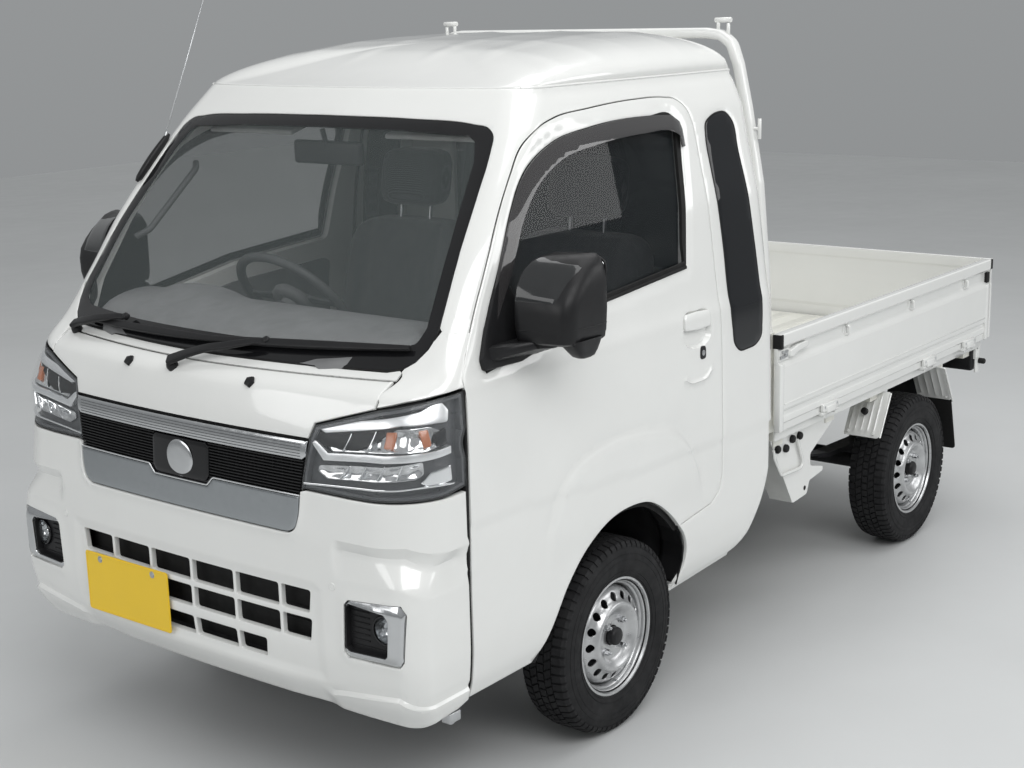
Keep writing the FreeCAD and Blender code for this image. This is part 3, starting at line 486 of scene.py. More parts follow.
def disc_along(p, d, prof, n=24):
    """Lathe of prof (radius, offset) about direction d from point p."""
    d = np.array(d, float)
    d /= np.linalg.norm(d)
    a, b = frame_at(d)
    p = np.array(p, float)
    v = []
    for i in range(n):
        t = 2 * math.pi * i / n
        for r, o in prof:
            v.append(p + d * o + (a * math.cos(t) + b * math.sin(t)) * r)
    return v, grid_faces(n, len(prof), True, True)


def rod(p, q, r, n=12, e=0.8):
    p, q = np.array(p, float), np.array(q, float)
    L = np.linalg.norm(q - p)
    return disc_along(p, q - p, [(0.01, 0), (r - e, 0), (r, e), (r, L - e), (r - e, L), (0.01, L)], n)


def normals_of(fn, a, b, h=1.0):
    pa = fn(a + h, b) - fn(a - h, b)
    pb = fn(a, b + h) - fn(a, b - h)
    n = np.cross(pa, pb)
    return n / (np.linalg.norm(n, axis=-1)[..., None] + 1e-12)


def spline(pts, step=8.0, closed=False):
    """Smooth curve through plain points."""
    p = np.array(pts, float)
    k = len(p)
    if closed:
        p = np.vstack([p[-3:], p, p[:4]])
    u = np.concatenate([[0], np.cumsum(np.linalg.norm(np.diff(p, axis=0), axis=1))])
    m = np.gradient(p, u, axis=0)
    a, b = (u[3], u[3 + k]) if closed else (0.0, u[-1])
    n = max(int((b - a) / step), 4)
    q = []
    for s in (np.linspace(a, b, n + 1)[:-1] if closed else np.linspace(a, b, n + 1)):
        i = int(np.clip(np.searchsorted(u, s, "right") - 1, 0, len(u) - 2))
        h = u[i + 1] - u[i]
        v = (s - u[i]) / h
        q.append((2 * v ** 3 - 3 * v ** 2 + 1) * p[i] + (v ** 3 - 2 * v ** 2 + v) * h * m[i] + (-2 * v ** 3 + 3 * v ** 2) * p[i + 1] + (v ** 3 - v ** 2) * h * m[i + 1])
    return [tuple(w) for w in q]


def panel(fn, outline, holes=(), grid=16.0, thick=12.0, disp=None, edge=3.0, sign=1.0, back=True, hole_depth=None, lift=0.0, lines=()):
    """Solid panel: outline and holes are in the surface's own 2-D coordinates, fn lifts them to 3-D.
    disp moves the skin along its outward normal; the border is rolled over a radius of edge."""
    loops = [resample(outline, grid * 0.6)] + [resample(h, min(grid * 0.6, 8.0)) for h in holes]
    pts, drops, cons = [], [], []
    inner_loops = []
    for li, lp in enumerate(loops):
        n = len(lp)
        d0 = len(pts)
        pts += [tuple(p) for p in lp]
        drops += [-edge] * n
        cons += [(d0 + i, d0 + (i + 1) % n) for i in range(n)]
        if edge > 0:
            for ins, dr in ((edge * 0.32, -edge * 0.24), (edge * 1.3, 0.0)):
                q = inset_poly(lp, ins if li == 0 else -ins)
                d1 = len(pts)
                pts += [tuple(p) for p in q]
                drops += [dr] * n
    P = np.array(loops[0])
    x0, y0 = P.min(0)
    x1, y1 = P.max(0)
    gx, gy = np.meshgrid(np.arange(x0 + grid / 2, x1, grid), np.arange(y0 + grid / 2, y1, grid))
    gx = gx.ravel()
    gy = gy.ravel()
    ok = inside(gx, gy, loops[0])
    for h in loops[1:]:
        ok &= ~inside(gx, gy, h)
    gx, gy = gx[ok], gy[ok]
    for li, lp in enumerate(loops):
        ok = seg_dist(gx, gy, lp, True) > max(edge * 1.3 + 2.0, grid * 0.35)
        gx, gy = gx[ok], gy[ok]
    extra = []
    for ln in lines:
        q = resample(ln, grid * 0.85, False)
        ok = inside(q[:, 0], q[:, 1], loops[0])
        for h in loops[1:]:
            ok &= ~inside(q[:, 0], q[:, 1], h)
        for lp in loops:
            ok &= seg_dist(q[:, 0], q[:, 1], lp, True) > edge * 1.3 + 2.0
        q = q[ok]
        if len(q):
            extra.append(q)
            far = seg_dist(gx, gy, ln) > grid * 0.42
            gx, gy = gx[far], gy[far]
    if extra:
        q = np.vstack(extra)
        gx, gy = np.concatenate([gx, q[:, 0]]), np.concatenate([gy, q[:, 1]])
    nb = len(pts)
    pts += list(zip(gx, gy))
    drops += [0.0] * len(gx)
    vc, ve, vf, ov, oe, of = delaunay_2d_cdt([Vector((float(a), float(b))) for a, b in pts], cons, [], 0, 1e-4)
    tri = np.array([f for f in vf if len(f) == 3])
    q = np.array([(v.x, v.y) for v in vc])
    c = q[tri].mean(1)
    ok = inside(c[:, 0], c[:, 1], loops[0])
    for h in loops[1:]:
        ok &= ~inside(c[:, 0], c[:, 1], h)
    tri = tri[ok]
    back_idx = {}
    for new, olds in enumerate(ov):
        for o in olds:
            back_idx[o] = new
    dv = np.zeros(len(q))
    for o, new in back_idx.items():
        if o < len(drops):
            dv[new] = min(dv[new], drops[o])
    a, b = q[:, 0], q[:, 1]
    base = fn(a, b)
    N = normals_of(fn, a, b) * sign
    D = lift + (disp(a, b) if disp is not None else 0.0 * a)
    if disp is not None:
        outer = base + N * D[:, None]
        Fd = lambda aa, bb: fn(aa, bb) + normals_of(fn, aa, bb) * sign * (disp(aa, bb) + lift)[..., None]
        N2 = normals_of(Fd, a, b) * sign
    else:
        outer = base + N * lift
        N2 = N
    outer = outer + N2 * dv[:, None]
    inner = base + N * (D - thick)[:, None]
    v = [tuple(p) for p in outer] + ([tuple(p) for p in inner] if back else [])
    m = len(q)
    f = [list(t) for t in tri]
    if back:
        f += [[t[2] + m, t[1] + m, t[0] + m] for t in tri]
    o = 0
    for li, lp in enumerate(loops):
        n = len(lp)
        for i in range(n):
            i0, i1 = back_idx.get(o + i), back_idx.get(o + (i + 1) % n)
            if i0 is None or i1 is None or i0 == i1:
                continue
            if back:
                f.append([i0, i1, i1 + m, i0 + m])
        o += n * (3 if edge > 0 else 1)
    if not back:                      # a turned-in rim only
        o = 0
        for li, lp in enumerate(loops):
            n = len(lp)
            st = len(v)
            ids = [back_idx.get(o + i) for i in range(n)]
            v += [tuple(inner[i]) for i in ids]
            for i in range(n):
                f.append([ids[i], ids[(i + 1) % n], st + (i + 1) % n, st + i])
            o += n * (3 if edge > 0 else 1)
    return v, f


def side_fn(s, z):
    return surf(s, z)


def side_outline(pts, step=14.0, r=0.0, seg=5):
    """Side view (x, z) outline to surface coordinates."""
    p = round_poly(pts, r, seg) if (isinstance(r, (list, tuple)) or r > 0) else np.array(pts, float)
    p = resample(p, step)
    return np.stack([sg_of_x(p[:, 0], p[:, 1]), p[:, 1]], 1)


def front_outline(pts, step=14.0, r=0.0, seg=5):
    p = round_poly(pts, r, seg) if (isinstance(r, (list, tuple)) or r > 0) else np.array(pts, float)
    p = resample(p, step)
    return np.stack([sg_of_y(p[:, 0], p[:, 1]), p[:, 1]], 1)


def to_skin(pts2, off=0.0, fn=surf):
    """3-D points and normals for surface coordinates."""
    pts2 = np.asarray(pts2, float)
    p = fn(pts2[:, 0], pts2[:, 1])
    n = normals_of(fn, pts2[:, 0], pts2[:, 1])
    return p + n * off, n


# =============================================================================================
# materials
# =============================================================================================
class Mat:
    def __init__(self, name):
        self.m = bpy.data.materials.new(name)
        self.m.use_nodes = True
        self.t = self.m.node_tree
        self.n = self.t.nodes
        self.b = self.n["Principled BSDF"]
        self.co = self.n.new("ShaderNodeTexCoord")

    def set(self, **k):
        for a, v in k.items():
            self.b.inputs[a.replace("_", " ")].default_value = v
        return self

    def link(self, a, b):
        self.t.links.new(a, b)

    def noise(self, scale, detail=4.0, rough=0.5, dist=0.0, vec=None):
        x = self.n.new("ShaderNodeTexNoise")
        x.inputs["Scale"].default_value = scale
        x.inputs["Detail"].default_value = detail
        x.inputs["Roughness"].default_value = rough
        x.inputs["Distortion"].default_value = dist
        self.link(vec if vec is not None else self.co.outputs["Object"], x.inputs["Vector"])
        return x.outputs["Fac"]

    def ramp(self, fac, stops):
        r = self.n.new("ShaderNodeValToRGB")
        e = r.color_ramp.elements
        while len(e) > 1:
            e.remove(e[-1])
        e[0].position, e[0].color = stops[0][0], tuple(stops[0][1]) + (1,)
        for p, c in stops[1:]:
            q = e.new(p)
            q.color = tuple(c) + (1,)
        self.link(fac, r.inputs["Fac"])
        return r.outputs["Color"]

    def maprange(self, fac, a, b, lo=0.3, hi=0.7):
        x = self.n.new("ShaderNodeMapRange")
        x.inputs["From Min"].default_value, x.inputs["From Max"].default_value = lo, hi
        x.inputs["To Min"].default_value, x.inputs["To Max"].default_value = a, b
        self.link(fac, x.inputs["Value"])
        return x.outputs["Result"]

    def bump(self, fac, strength, dist=0.001, normal=None):
        x = self.n.new("ShaderNodeBump")
        x.inputs["Strength"].default_value = strength
        x.inputs["Distance"].default_value = dist
        self.link(fac, x.inputs["Height"])
        if normal is not None:
            self.link(normal, x.inputs["Normal"])
        self.link(x.outputs["Normal"], self.b.inputs["Normal"])
        return x.outputs["Normal"]

    def color(self, sock):
        self.link(sock, self.b.inputs["Base Color"])
        return self

    def rough(self, sock):
        self.link(sock, self.b.inputs["Roughness"])
        return self

    def mix(self, fac, a, b, mode="MIX"):
        x = self.n.new("ShaderNodeMix")
        x.data_type = "RGBA"
        x.blend_type = mode
        if isinstance(fac, float):
            x.inputs[0].default_value = fac
        else:
            self.link(fac, x.inputs[0])
        for s, v in ((x.inputs[6], a), (x.inputs[7], b)):
            if isinstance(v, tuple):
                s.default_value = v + (1,) if len(v) == 3 else v
            else:
                self.link(v, s)
        return x.outputs[2]

    def math(self, op, a, b=None):
        x = self.n.new("ShaderNodeMath")
        x.operation = op
        for i, v in enumerate((a, b)):
            if v is None:
                continue
            if isinstance(v, (int, float)):
                x.inputs[i].default_value = v
            else:
                self.link(v, x.inputs[i])
        return x.outputs[0]

    def xyz(self):
        s = self.n.new("ShaderNodeSeparateXYZ")
        self.link(self.co.outputs["Object"], s.inputs[0])
        return s.outputs

    def wave(self, scale, axis="X", profile="SIN", dist=0.0, vec=None, kind="BANDS"):
        w = self.n.new("ShaderNodeTexWave")
        w.wave_type = kind
        w.bands_direction = axis
        w.wave_profile = profile
        w.inputs["Scale"].default_value = scale
        w.inputs["Distortion"].default_value = dist
        self.link(vec if vec is not None else self.co.outputs["Object"], w.inputs["Vector"])
        return w.outputs["Fac"]


def paint(name, base, dirt=0.03, rough=0.16, coat=1.0, scale=3.0, peel=0.035):
    m = Mat(name)
    c = np.array(base)
    m.color(m.ramp(m.noise(scale, 5, 0.6), [(0.3, tuple(c * (1 - dirt))), (0.7, tuple(np.minimum(c * (1 + dirt * 0.3), 1)))]))
    m.rough(m.maprange(m.noise(9, 3), rough, rough + 0.09))
    m.set(Metallic=0.0, Coat_Weight=coat, Coat_Roughness=0.035, Coat_IOR=1.5)
    m.bump(m.noise(900, 2), peel, 0.0004)
    return m.m


def plastic(name, base, rough=0.5, grain=500.0, strength=0.25, var=0.12, coat=0.0):
    m = Mat(name)
    c = np.array(base)
    m.color(m.ramp(m.noise(14, 4), [(0.3, tuple(c * (1 - var))), (0.75, tuple(c * (1 + var)))]))
    m.rough(m.maprange(m.noise(40, 3), rough - 0.06, rough + 0.08))
    m.set(Coat_Weight=coat)
    if max(base) < 0.06:
        m.set(Specular_IOR_Level=0.26)
    m.bump(m.noise(grain, 3, 0.6), strength, 0.0004)
    return m.m


def metal(name, base, rough=0.3, aniso=0.0, var=0.1, scale=30.0, grain=260.0, strength=0.08, metallic=1.0):
    m = Mat(name)
    c = np.array(base)
    m.color(m.ramp(m.noise(scale, 5), [(0.3, tuple(c * (1 - var))), (0.7, tuple(np.minimum(c * (1 + var), 1)))]))
    m.rough(m.maprange(m.noise(scale * 2.3, 4), max(rough - 0.05, 0.02), rough + 0.08))
    m.set(Metallic=metallic, Anisotropic=aniso)
    m.bump(m.noise(grain, 3), strength, 0.0005)
    return m.m


WHITE = (0.80, 0.805, 0.785)
M_PAINT = paint("white_paint", WHITE)
M_BED = paint("bed_paint", (0.78, 0.775, 0.715), dirt=0.07, rough=0.3, coat=0.35, scale=5.0)
# darker copy of the white paint: the darker base is painted shade for parts under the bed, the stronger blotchy noise
# is dirt
M_UNDER_SHADE_AND_DIRT = paint("under_paint_shade_and_dirt", (0.70, 0.705, 0.68), dirt=0.14, rough=0.38, coat=0.1, scale=9.0)
M_BLACKPAINT = plastic("chassis_black", (0.022, 0.022, 0.024), rough=0.42, grain=220, strength=0.25, var=0.35)
M_PLASTIC = plastic("black_plastic", (0.014, 0.014, 0.015), rough=0.38, grain=700, strength=0.12)
M_GLOSS = plastic("gloss_black", (0.006, 0.006, 0.007), rough=0.1, grain=120, strength=0.01, coat=0.4)
# black for gaps, seams and openings: painted shade, standing in for the darkness behind them
M_SHADE_BLACK = plastic("shut_line_painted_shade", (0.01, 0.01, 0.01), rough=0.7, grain=300, strength=0.1)
M_INT = plastic("dash_plastic", (0.085, 0.087, 0.09), rough=0.6, grain=900, strength=0.45)
M_INT2 = plastic("trim_grey_plastic", (0.19, 0.192, 0.195), rough=0.62, grain=900, strength=0.4)
M_LINER = plastic("headlining", (0.33, 0.33, 0.32), rough=0.9, grain=420, strength=0.5)
M_RUBBER = plastic("seal_rubber", (0.012, 0.012, 0.012), rough=0.62, grain=380, strength=0.2)
M_STEEL = metal("plated_steel", (0.52, 0.53, 0.54), rough=0.32)
M_EXH = metal("exhaust_steel", (0.30, 0.28, 0.26), rough=0.48, var=0.3, scale=14)
M_CAST = metal("cast_alloy", (0.36, 0.365, 0.37), rough=0.55, var=0.15, grain=520, strength=0.5)
M_CHROME = metal("chrome", (0.86, 0.87, 0.88), rough=0.05, var=0.015, strength=0.01)
M_SATIN = metal("satin_chrome", (0.39, 0.41, 0.425), rough=0.17, var=0.02, grain=40, strength=0.0)
M_BRIGHT = metal("bright_chrome_band", (0.62, 0.63, 0.64), rough=0.13, var=0.02, strength=0.01)
M_PLATE = paint("plate_yellow", (0.90, 0.60, 0.02), dirt=0.05, rough=0.35, coat=0.2)
M_AMBER = plastic("amber_bulb", (0.42, 0.14, 0.06), rough=0.15, grain=60, strength=0.0, coat=0.6)
M_BULB = plastic("lamp_body_grey", (0.22, 0.225, 0.23), rough=0.35, grain=200, strength=0.05)
M_LAMPW = metal("lamp_pale_chrome", (0.90, 0.91, 0.92), rough=0.34, var=0.02, strength=0.01)
M_DARKLAMP = plastic("lamp_dark_grey", (0.072, 0.075, 0.080), rough=0.32, grain=200, strength=0.05)


def wheel_silver():
    m = Mat("wheel_silver")
    m.color(m.ramp(m.noise(26, 6, 0.6), [(0.3, (0.47, 0.475, 0.48)), (0.7, (0.60, 0.605, 0.61))]))
    m.rough(m.maprange(m.noise(60, 4), 0.26, 0.4))
    m.set(Metallic=0.85, Coat_Weight=0.25, Coat_Roughness=0.2)
    m.bump(m.noise(420, 3), 0.06, 0.0005)
    return m.m


def tyre_mat():
    m = Mat("tyre_rubber")
    m.color(m.ramp(m.noise(16, 6, 0.65), [(0.32, (0.011, 0.011, 0.012)), (0.7, (0.024, 0.024, 0.025))]))
    m.rough(m.maprange(m.noise(34, 4), 0.62, 0.82))
    m.set(Specular_IOR_Level=0.22)
    m.bump(m.noise(600, 4), 0.25, 0.0006)
    return m.m


def glass_mat(name, tint, rough=0.0, alpha=0.25, ior=1.45, coat=1.0, spec=0.5):
    m = Mat(name)
    m.color(m.ramp(m.noise(2.0, 2), [(0.3, tuple(np.array(tint) * 0.96)), (0.7, tuple(tint))]))
    m.set(Roughness=rough, Alpha=alpha, IOR=ior, Coat_Weight=coat, Coat_Roughness=0.01, Specular_IOR_Level=spec)
    m.m.blend_method = "BLEND" if hasattr(m.m, "blend_method") else m.m.blend_method
    return m.m


M_RIM = wheel_silver()
M_TYRE = tyre_mat()
M_SCREEN = glass_mat("screen_glass", (0.26, 0.30, 0.30), alpha=0.10)
M_TINT = glass_mat("door_glass", (0.016, 0.020, 0.022), alpha=0.40, coat=0.1, spec=0.3)
M_PRIV = glass_mat("privacy_glass", (0.008, 0.009, 0.011), alpha=0.97, coat=0.15, spec=0.35)
M_BACKG = glass_mat("back_glass", (0.016, 0.018, 0.020), alpha=0.86, coat=0.2, spec=0.35)
M_LENS = glass_mat("lamp_lens", (0.55, 0.58, 0.60), alpha=0.05)
M_VISOR = glass_mat("smoke_visor", (0.045, 0.043, 0.044), alpha=0.78)
M_FRIT = plastic("black_frit", (0.009, 0.009, 0.010), rough=0.08, grain=60, strength=0.0, coat=0.3)


def red_lens():
    m = Mat("red_lens")
    v = m.n.new("ShaderNodeTexVoronoi")
    v.inputs["Scale"].default_value = 160
    m.link(m.co.outputs["Object"], v.inputs["Vector"])
    m.color(m.ramp(v.outputs["Distance"], [(0.1, (0.42, 0.008, 0.01)), (0.8, (0.20, 0.003, 0.005))]))
    m.set(Roughness=0.12, Coat_Weight=1.0, Coat_Roughness=0.03)
    m.bump(v.outputs["Distance"], 0.2, 0.0008)
    return m.m


def reflector(name, col, scale):
    m = Mat(name)
    v = m.n.new("ShaderNodeTexVoronoi")
    v.inputs["Scale"].default_value = scale
    m.link(m.co.outputs["Object"], v.inputs["Vector"])
    c = np.array(col)
    m.color(m.ramp(v.outputs["Distance"], [(0.0, tuple(c)), (0.7, tuple(c * 0.75))]))
    m.set(Metallic=1.0, Roughness=0.09)
    m.bump(v.outputs["Distance"], 0.25, 0.002)
    return m.m


def fabric(name, base, scale=900.0):
    m = Mat(name)
    mp = m.n.new("ShaderNodeMapping")
    mp.inputs["Scale"].default_value = (scale, scale, scale)
    m.link(m.co.outputs["Object"], mp.inputs["Vector"])
    w1 = m.wave(0.5, "Y", vec=mp.outputs["Vector"])
    w2 = m.wave(0.5, "X", vec=mp.outputs["Vector"])
    h = m.math("MULTIPLY", w1, w2)
    c = np.array(base)
    n = m.noise(30, 5)
    m.color(m.mix(m.maprange(h, 0.0, 1.0, 0, 1), m.ramp(n, [(0.3, tuple(c * 0.55)), (0.7, tuple(c * 0.75))]), tuple(c * 1.25)))
    m.set(Roughness=0.95, Sheen_Weight=0.35, Sheen_Roughness=0.5)
    m.bump(h, 0.5, 0.0007)
    return m.m


M_RED = red_lens()
M_REFL = reflector("lamp_reflector", (0.80, 0.81, 0.82), 55)
M_REFL2 = reflector("fog_reflector", (0.62, 0.64, 0.66), 120)
M_SEAT = fabric("seat_cloth", (0.12, 0.122, 0.128))
M_SEAT2 = fabric("seat_bolster_cloth", (0.045, 0.046, 0.05), 600)


# =============================================================================================
# camera, as the reference view
# =============================================================================================
def make_camera():
    yaw, pitch, roll = -2.4748, -0.2348, -0.0258
    d = np.array([math.cos(yaw) * math.cos(pitch), math.sin(yaw) * math.cos(pitch), math.sin(pitch)])
    r = np.cross(d, (0, 0, 1.0))
    r /= np.linalg.norm(r)
    u = np.cross(r, d)
    r2 = math.cos(roll) * r + math.sin(roll) * u
    u2 = -math.sin(roll) * r + math.cos(roll) * u
    cam = bpy.data.cameras.new("camera")
    cam.sensor_width = 36.0
    cam.lens = 1598.18 * 36.0 / 1024.0
    cam.clip_end = 60.0
    ob = bpy.data.objects.new("camera", cam)
    bpy.context.scene.collection.objects.link(ob)
    p = np.array((4164.656, 3002.273, 1943.056)) * MM
    ob.matrix_world = Matrix(((r2[0], u2[0], -d[0], p[0]), (r2[1], u2[1], -d[1], p[1]), (r2[2], u2[2], -d[2], p[2]), (0, 0, 0, 1)))
    bpy.context.scene.camera = ob


make_camera()

# =============================================================================================
# cab outlines (side ones are x, z; front ones are y, z)
# =============================================================================================
TOP_Z = 1735.0
ARCH_REAR = [(548, 322), (544, 336), (530, 352), (508, 391), (504, 431), (522, 480), (541, 503)]
DOOR_FRONT = [(1449, 1111), (1391, 1207), (1326, 1307), (1271, 1391), (1216, 1464), (1153, 1537), (1080, 1608), (1012, 1642), (940, 1660)]
DOOR_TOP = [(785, 1673), (573, 1682), (430, 1679)]
DOOR_REAR = [(316, 1560), (316, 600)]
DOOR_LOW = [(334, 555), (375, 530), (533, 511), (545, 506)]
DOOR_ARCH = [(611, 569), (706, 621), (789, 632), (887, 621), (981, 577), (1082, 487), (1151, 388), (1205, 328)]
_full = spline(ARCH_REAR + DOOR_ARCH, 9.0)
_cut = int(np.argmin([math.hypot(q[0] - 543, q[1] - 505) for q in _full]))
ARCH_REAR, DOOR_ARCH = _full[:_cut + 1], _full[_cut + 1:]
DOOR_FRONT = spline(DOOR_FRONT + DOOR_TOP + [(376, 1671), (338, 1645), (320, 1603), (316, 1560)], 12.0)
DOOR_TOP, DOOR_REAR = [], [(316, 600)]
DOOR_ALL = [(1455, 328), (1457, 600), (1452, 825), (1448, 944), (1445, 1060)] + DOOR_FRONT + DOOR_REAR + DOOR_LOW + DOOR_ARCH
WINDOW = [(458, 1221), (850, 1191), (1200, 1128), (1352, 1108)] + spline([(1372, 1118), (1340, 1215), (1274, 1325), (1190, 1456), (1108, 1543), (977, 1603), (807, 1628), (524, 1637), (412, 1631), (384, 1600)], 14.0)
QUARTER = [(222, 1612), (180, 1622), (130, 1619), (104, 1596), (98, 1512), (83, 1297), (76, 1078), (80, 1010), (88, 968), (116, 950), (165, 945), (212, 948), (240, 972),
           (249, 1020), (256, 1266), (263, 1475), (261, 1560), (250, 1597)]
QUARTER = spline(QUARTER, 9.0, True)
SCREEN_L = [(0, 1668), (300, 1664), (490, 1654), (540, 1645), (565, 1625), (574, 1600), (597, 1499), (625, 1347), (646, 1217)]
SCREEN_L = spline(SCREEN_L, 9.0)
PILLAR_FOOT = [(646, 1217), (700, 1207)]


def off_side(pts, d):
    """Grows a plain outline outwards by d (dense resample first)."""
    p = resample(pts, 8.0)
    return inset_poly(p, -d)


def crease(x, z, line, w, depth):
    d = seg_dist(x, z, line)
    return -depth * np.exp(-(d / w) ** 2)


SIDE_CREASE = [(1500, 764), (1438, 760), (1227, 752), (744, 720), (329, 706), (97, 698), (-10, 694)]
FLARE = [(1130, 690), (1100, 742), (1050, 783), (892, 823), (699, 814), (549, 774), (471, 691), (421, 568), (400, 500)]
FLARE = spline(FLARE, 10.0)
ARCH_C, ARCH_R = (826.0, 250.0), 385.0


def side_relief(x, z):
    """Relief of the pressed side skin (mm, outwards)."""
    h = np.zeros(np.shape(x))
    # shoulder: the part above the crease stands a little proud, with a sharp lower edge
    zc = np.interp(x, [p[0] for p in SIDE_CREASE[::-1]], [p[1] for p in SIDE_CREASE[::-1]])
    t = z - zc
    h += np.where(t > 0, 1.8 * np.exp(-t / 55.0), 0.0) * smooth(-6, 0, t)
    h += -0.8 * np.exp(-((t + 14) / 16.0) ** 2)
    # wheel arch flare: proud band between the opening and the flare line
    fx = seg_dist(x, z, FLARE)
    ins = inside(x, z, FLARE + [(420, 300), (1230, 300)])
    h += np.where(ins, 3.6 * smooth(0, 12, fx), -4.4 * np.exp(-fx / 26.0)) * smooth(545, 650, z)
    return h


HREC = spline([(440, 1102), (490, 1102), (510, 1091), (515, 1050), (506, 1015), (475, 999), (440, 996), (405, 999), (377, 1015), (369, 1050), (372, 1088), (392, 1100)], 6.0, True)
HBEAD = spline([(512, 918), (494, 908), (445, 903), (403, 907), (378, 925)], 6.0)


def door_relief(s, z):
    p = surf(s, z)
    x = p[..., 0]
    h = side_relief(x, z)
    # handle recess with crisp walls
    d = seg_dist(x, z, HREC, True)
    h += np.where(inside(x, z, HREC), -13.0 * smooth(0, 8, d), 1.2 * np.exp(-d / 9.0))
    # bead below the handle
    h += 4.6 * np.exp(-(seg_dist(x, z, HBEAD) / 4.0) ** 2)
    # frame step round the window
    dw = seg_dist(x, z, WINDOW, True)
    h += np.where(z > 1100, -2.2 * (1 - smooth(16, 26, dw)), 0)
    return h


def cab_relief(s, z):
    p = surf(s, z)
    x = p[..., 0]
    h = np.where(np.abs(s) > 700, side_relief(x, z), 0.0)
    # roof gutter below the roof cap
    h += np.where(np.abs(s) > 760, -3.0 * np.exp(-((z - 1722) / 8.0) ** 2), 0.0)
    # seam between the pressed pillar and the roof rail behind the door
    h += np.where((x < 318) & (np.abs(s) > 760), -2.2 * np.exp(-((z - 1668) / 4.0) ** 2), 0.0)
    dq = seg_dist(x, z, QUARTER, True)
    h += np.where((x < 300) & (np.abs(s) > 1500), -1.5 * (1 - smooth(6, 14, dq)), 0)
    return h


def build_cab():
    gap = 2.6
    # body side, pillars and header in one skin, both sides
    L = [(0.0, TOP_Z)]
    for s in np.arange(40, 2400, 28.0):
        L.append((min(s, 2393.0), TOP_Z))
    L.append((2393.0, TOP_Z))
    L += [(2393.0, z) for z in np.arange(1715, 700, -26.0)]
    low = side_outline_open(spline([(14, 700), (20, 640), (33, 585), (62, 500), (105, 432), (150, 381), (204, 350), (257, 339)], 10) + ARCH_REAR, 10)
    L += [(2393.0, 690.0), (2300.0, 690.0), (2262.0, 694.0)]
    L += [tuple(q) for q in low]
    edge = DOOR_LOW[::-1] + DOOR_REAR[::-1] + DOOR_FRONT[::-1][:-1]
    dense = resample(edge, 8.0, False)
    t = np.gradient(dense, axis=0)
    t /= np.linalg.norm(t, axis=1)[:, None]
    # the body skin stands off the door's edge by the shut gap
    n = np.stack([-t[:, 1], t[:, 0]], 1)
    out = dense + n * gap * -1.0
    cen = np.array((850.0, 1100.0))
    sign = np.sign(np.einsum("ij,ij->i", out - dense, dense - cen))
    out = dense + (out - dense) * sign[:, None]
    L += [tuple(q) for q in np.stack([sg_of_x(out[:, 0], out[:, 1]), out[:, 1]], 1)[4:]]
    foot = resample([(700, 1209), (650, 1219)], 10, False)
    scr = resample(SCREEN_L[::-1], 12, False)
    fy = np.stack([sg_of_y(scr[:, 0], scr[:, 1]), scr[:, 1]], 1)
    L += [tuple(q) for q in fy if q[0] > 1.0]
    L.append((0.0, 1668.0))
    L = [np.array(q, float) for q in L]
    clean = [L[0]]
    for q in L[1:]:
        if np.linalg.norm(q - clean[-1]) > 1.5:
            clean.append(q)
    L = np.array(clean)
    full = np.vstack([L, L[-2:0:-1] * (-1, 1)])
    qh = side_outline(off_side(QUARTER, 1.5), 8)
    v, f = panel(surf, full, [qh, qh[::-1] * (-1, 1)], grid=17.0, thick=9.0, disp=cab_relief, edge=2.2)
    ob = make("cab_skin", v, f, M_PAINT, "truck", "body_paint", angle=50)
    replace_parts(ob, "cab_shell")
    # front wing between lamp, hood seam and door
    pts = [(595, 1070), (594.5, 1057.5), (606, 1060.5), (655, 1073), (700, 1083), (724, 1090)]
    a = np.stack([sg_of_y([p[0] for p in pts], [p[1] for p in pts]), [p[1] for p in pts]], 1)
    dl = [(1446, 1090), (1445, 1111), (1420, 1157), (1387, 1205)]
    b = np.stack([sg_of_x([p[0] + gap for p in dl], [p[1] for p in dl]), [p[1] for p in dl]], 1)
    c0 = [(702, 1203), (655, 1214), (643, 1190), (638, 1172), (620, 1145), (600, 1131), (596.5, 1125)]
    c = np.stack([sg_of_y([p[0] for p in c0[1:]], [p[1] for p in c0[1:]]), [p[1] for p in c0[1:]]], 1)
    wing = np.vstack([a, b, c])
    v, f = panel(surf, wing, [], grid=11.0, thick=9.0, disp=lambda s, z: 0 * s, edge=2.0)
    w = Bag().add(v, f)
    # strip between lamp and door, down the corner: a black sheet in the shut gap, painted shade of the gap
    strip = [(1444, 1084), (1456, 1088), (1458, 1076), (1456, 990), (1463, 900), (1466, 852), (1466, 330), (1459.5, 330), (1461, 600), (1456, 825), (1452, 944), (1449, 1060)]
    v, f = panel(surf, side_outline(strip, 10), [], grid=9.0, thick=12.0, disp=lambda s, z: 0 * s - 1.0, edge=0.8)
    w.both().make("front_wings", M_PAINT, "truck", "body_paint")
    Bag().add(v, f).both().make("front_door_gap_shade_strip", M_SHADE_BLACK, "truck", "dark_plastic")
    # pinch flange under the sill
    v, f = panel(surf, side_outline([(556, 305), (552, 326), (257, 342), (236, 341), (236, 323)], 12), [], grid=14.0, thick=5.0, disp=lambda s, z: 0 * s - 7.0, edge=1.0)
    Bag().add(v, f).both().make("sill_flanges", M_PAINT, "truck", "body_paint")
    # painted shade: a black backing sheet behind the door's shut line, so the gap reads dark
    bk = Bag()
    ring_o = off_side(DOOR_ALL, 16.0)
    o2 = side_outline(ring_o, 12)
    i2 = side_outline(off_side(DOOR_ALL, -22.0), 12)
    v, f = panel(lambda s, z: surf(s, z), o2, [i2], grid=14.0, thick=3.0, disp=lambda s, z: -17.0 - 34.0 * smooth(1385, 1425, surf(s, z)[..., 0]), edge=0.0)
    bk.add(v, f)
    bk.both().make("door_shut_shade_backing", M_SHADE_BLACK, "truck", "dark_plastic")


def side_outline_open(pts, step=14.0):
    p = resample(pts, step, False)
    return np.stack([sg_of_x(p[:, 0], p[:, 1]), p[:, 1]], 1)


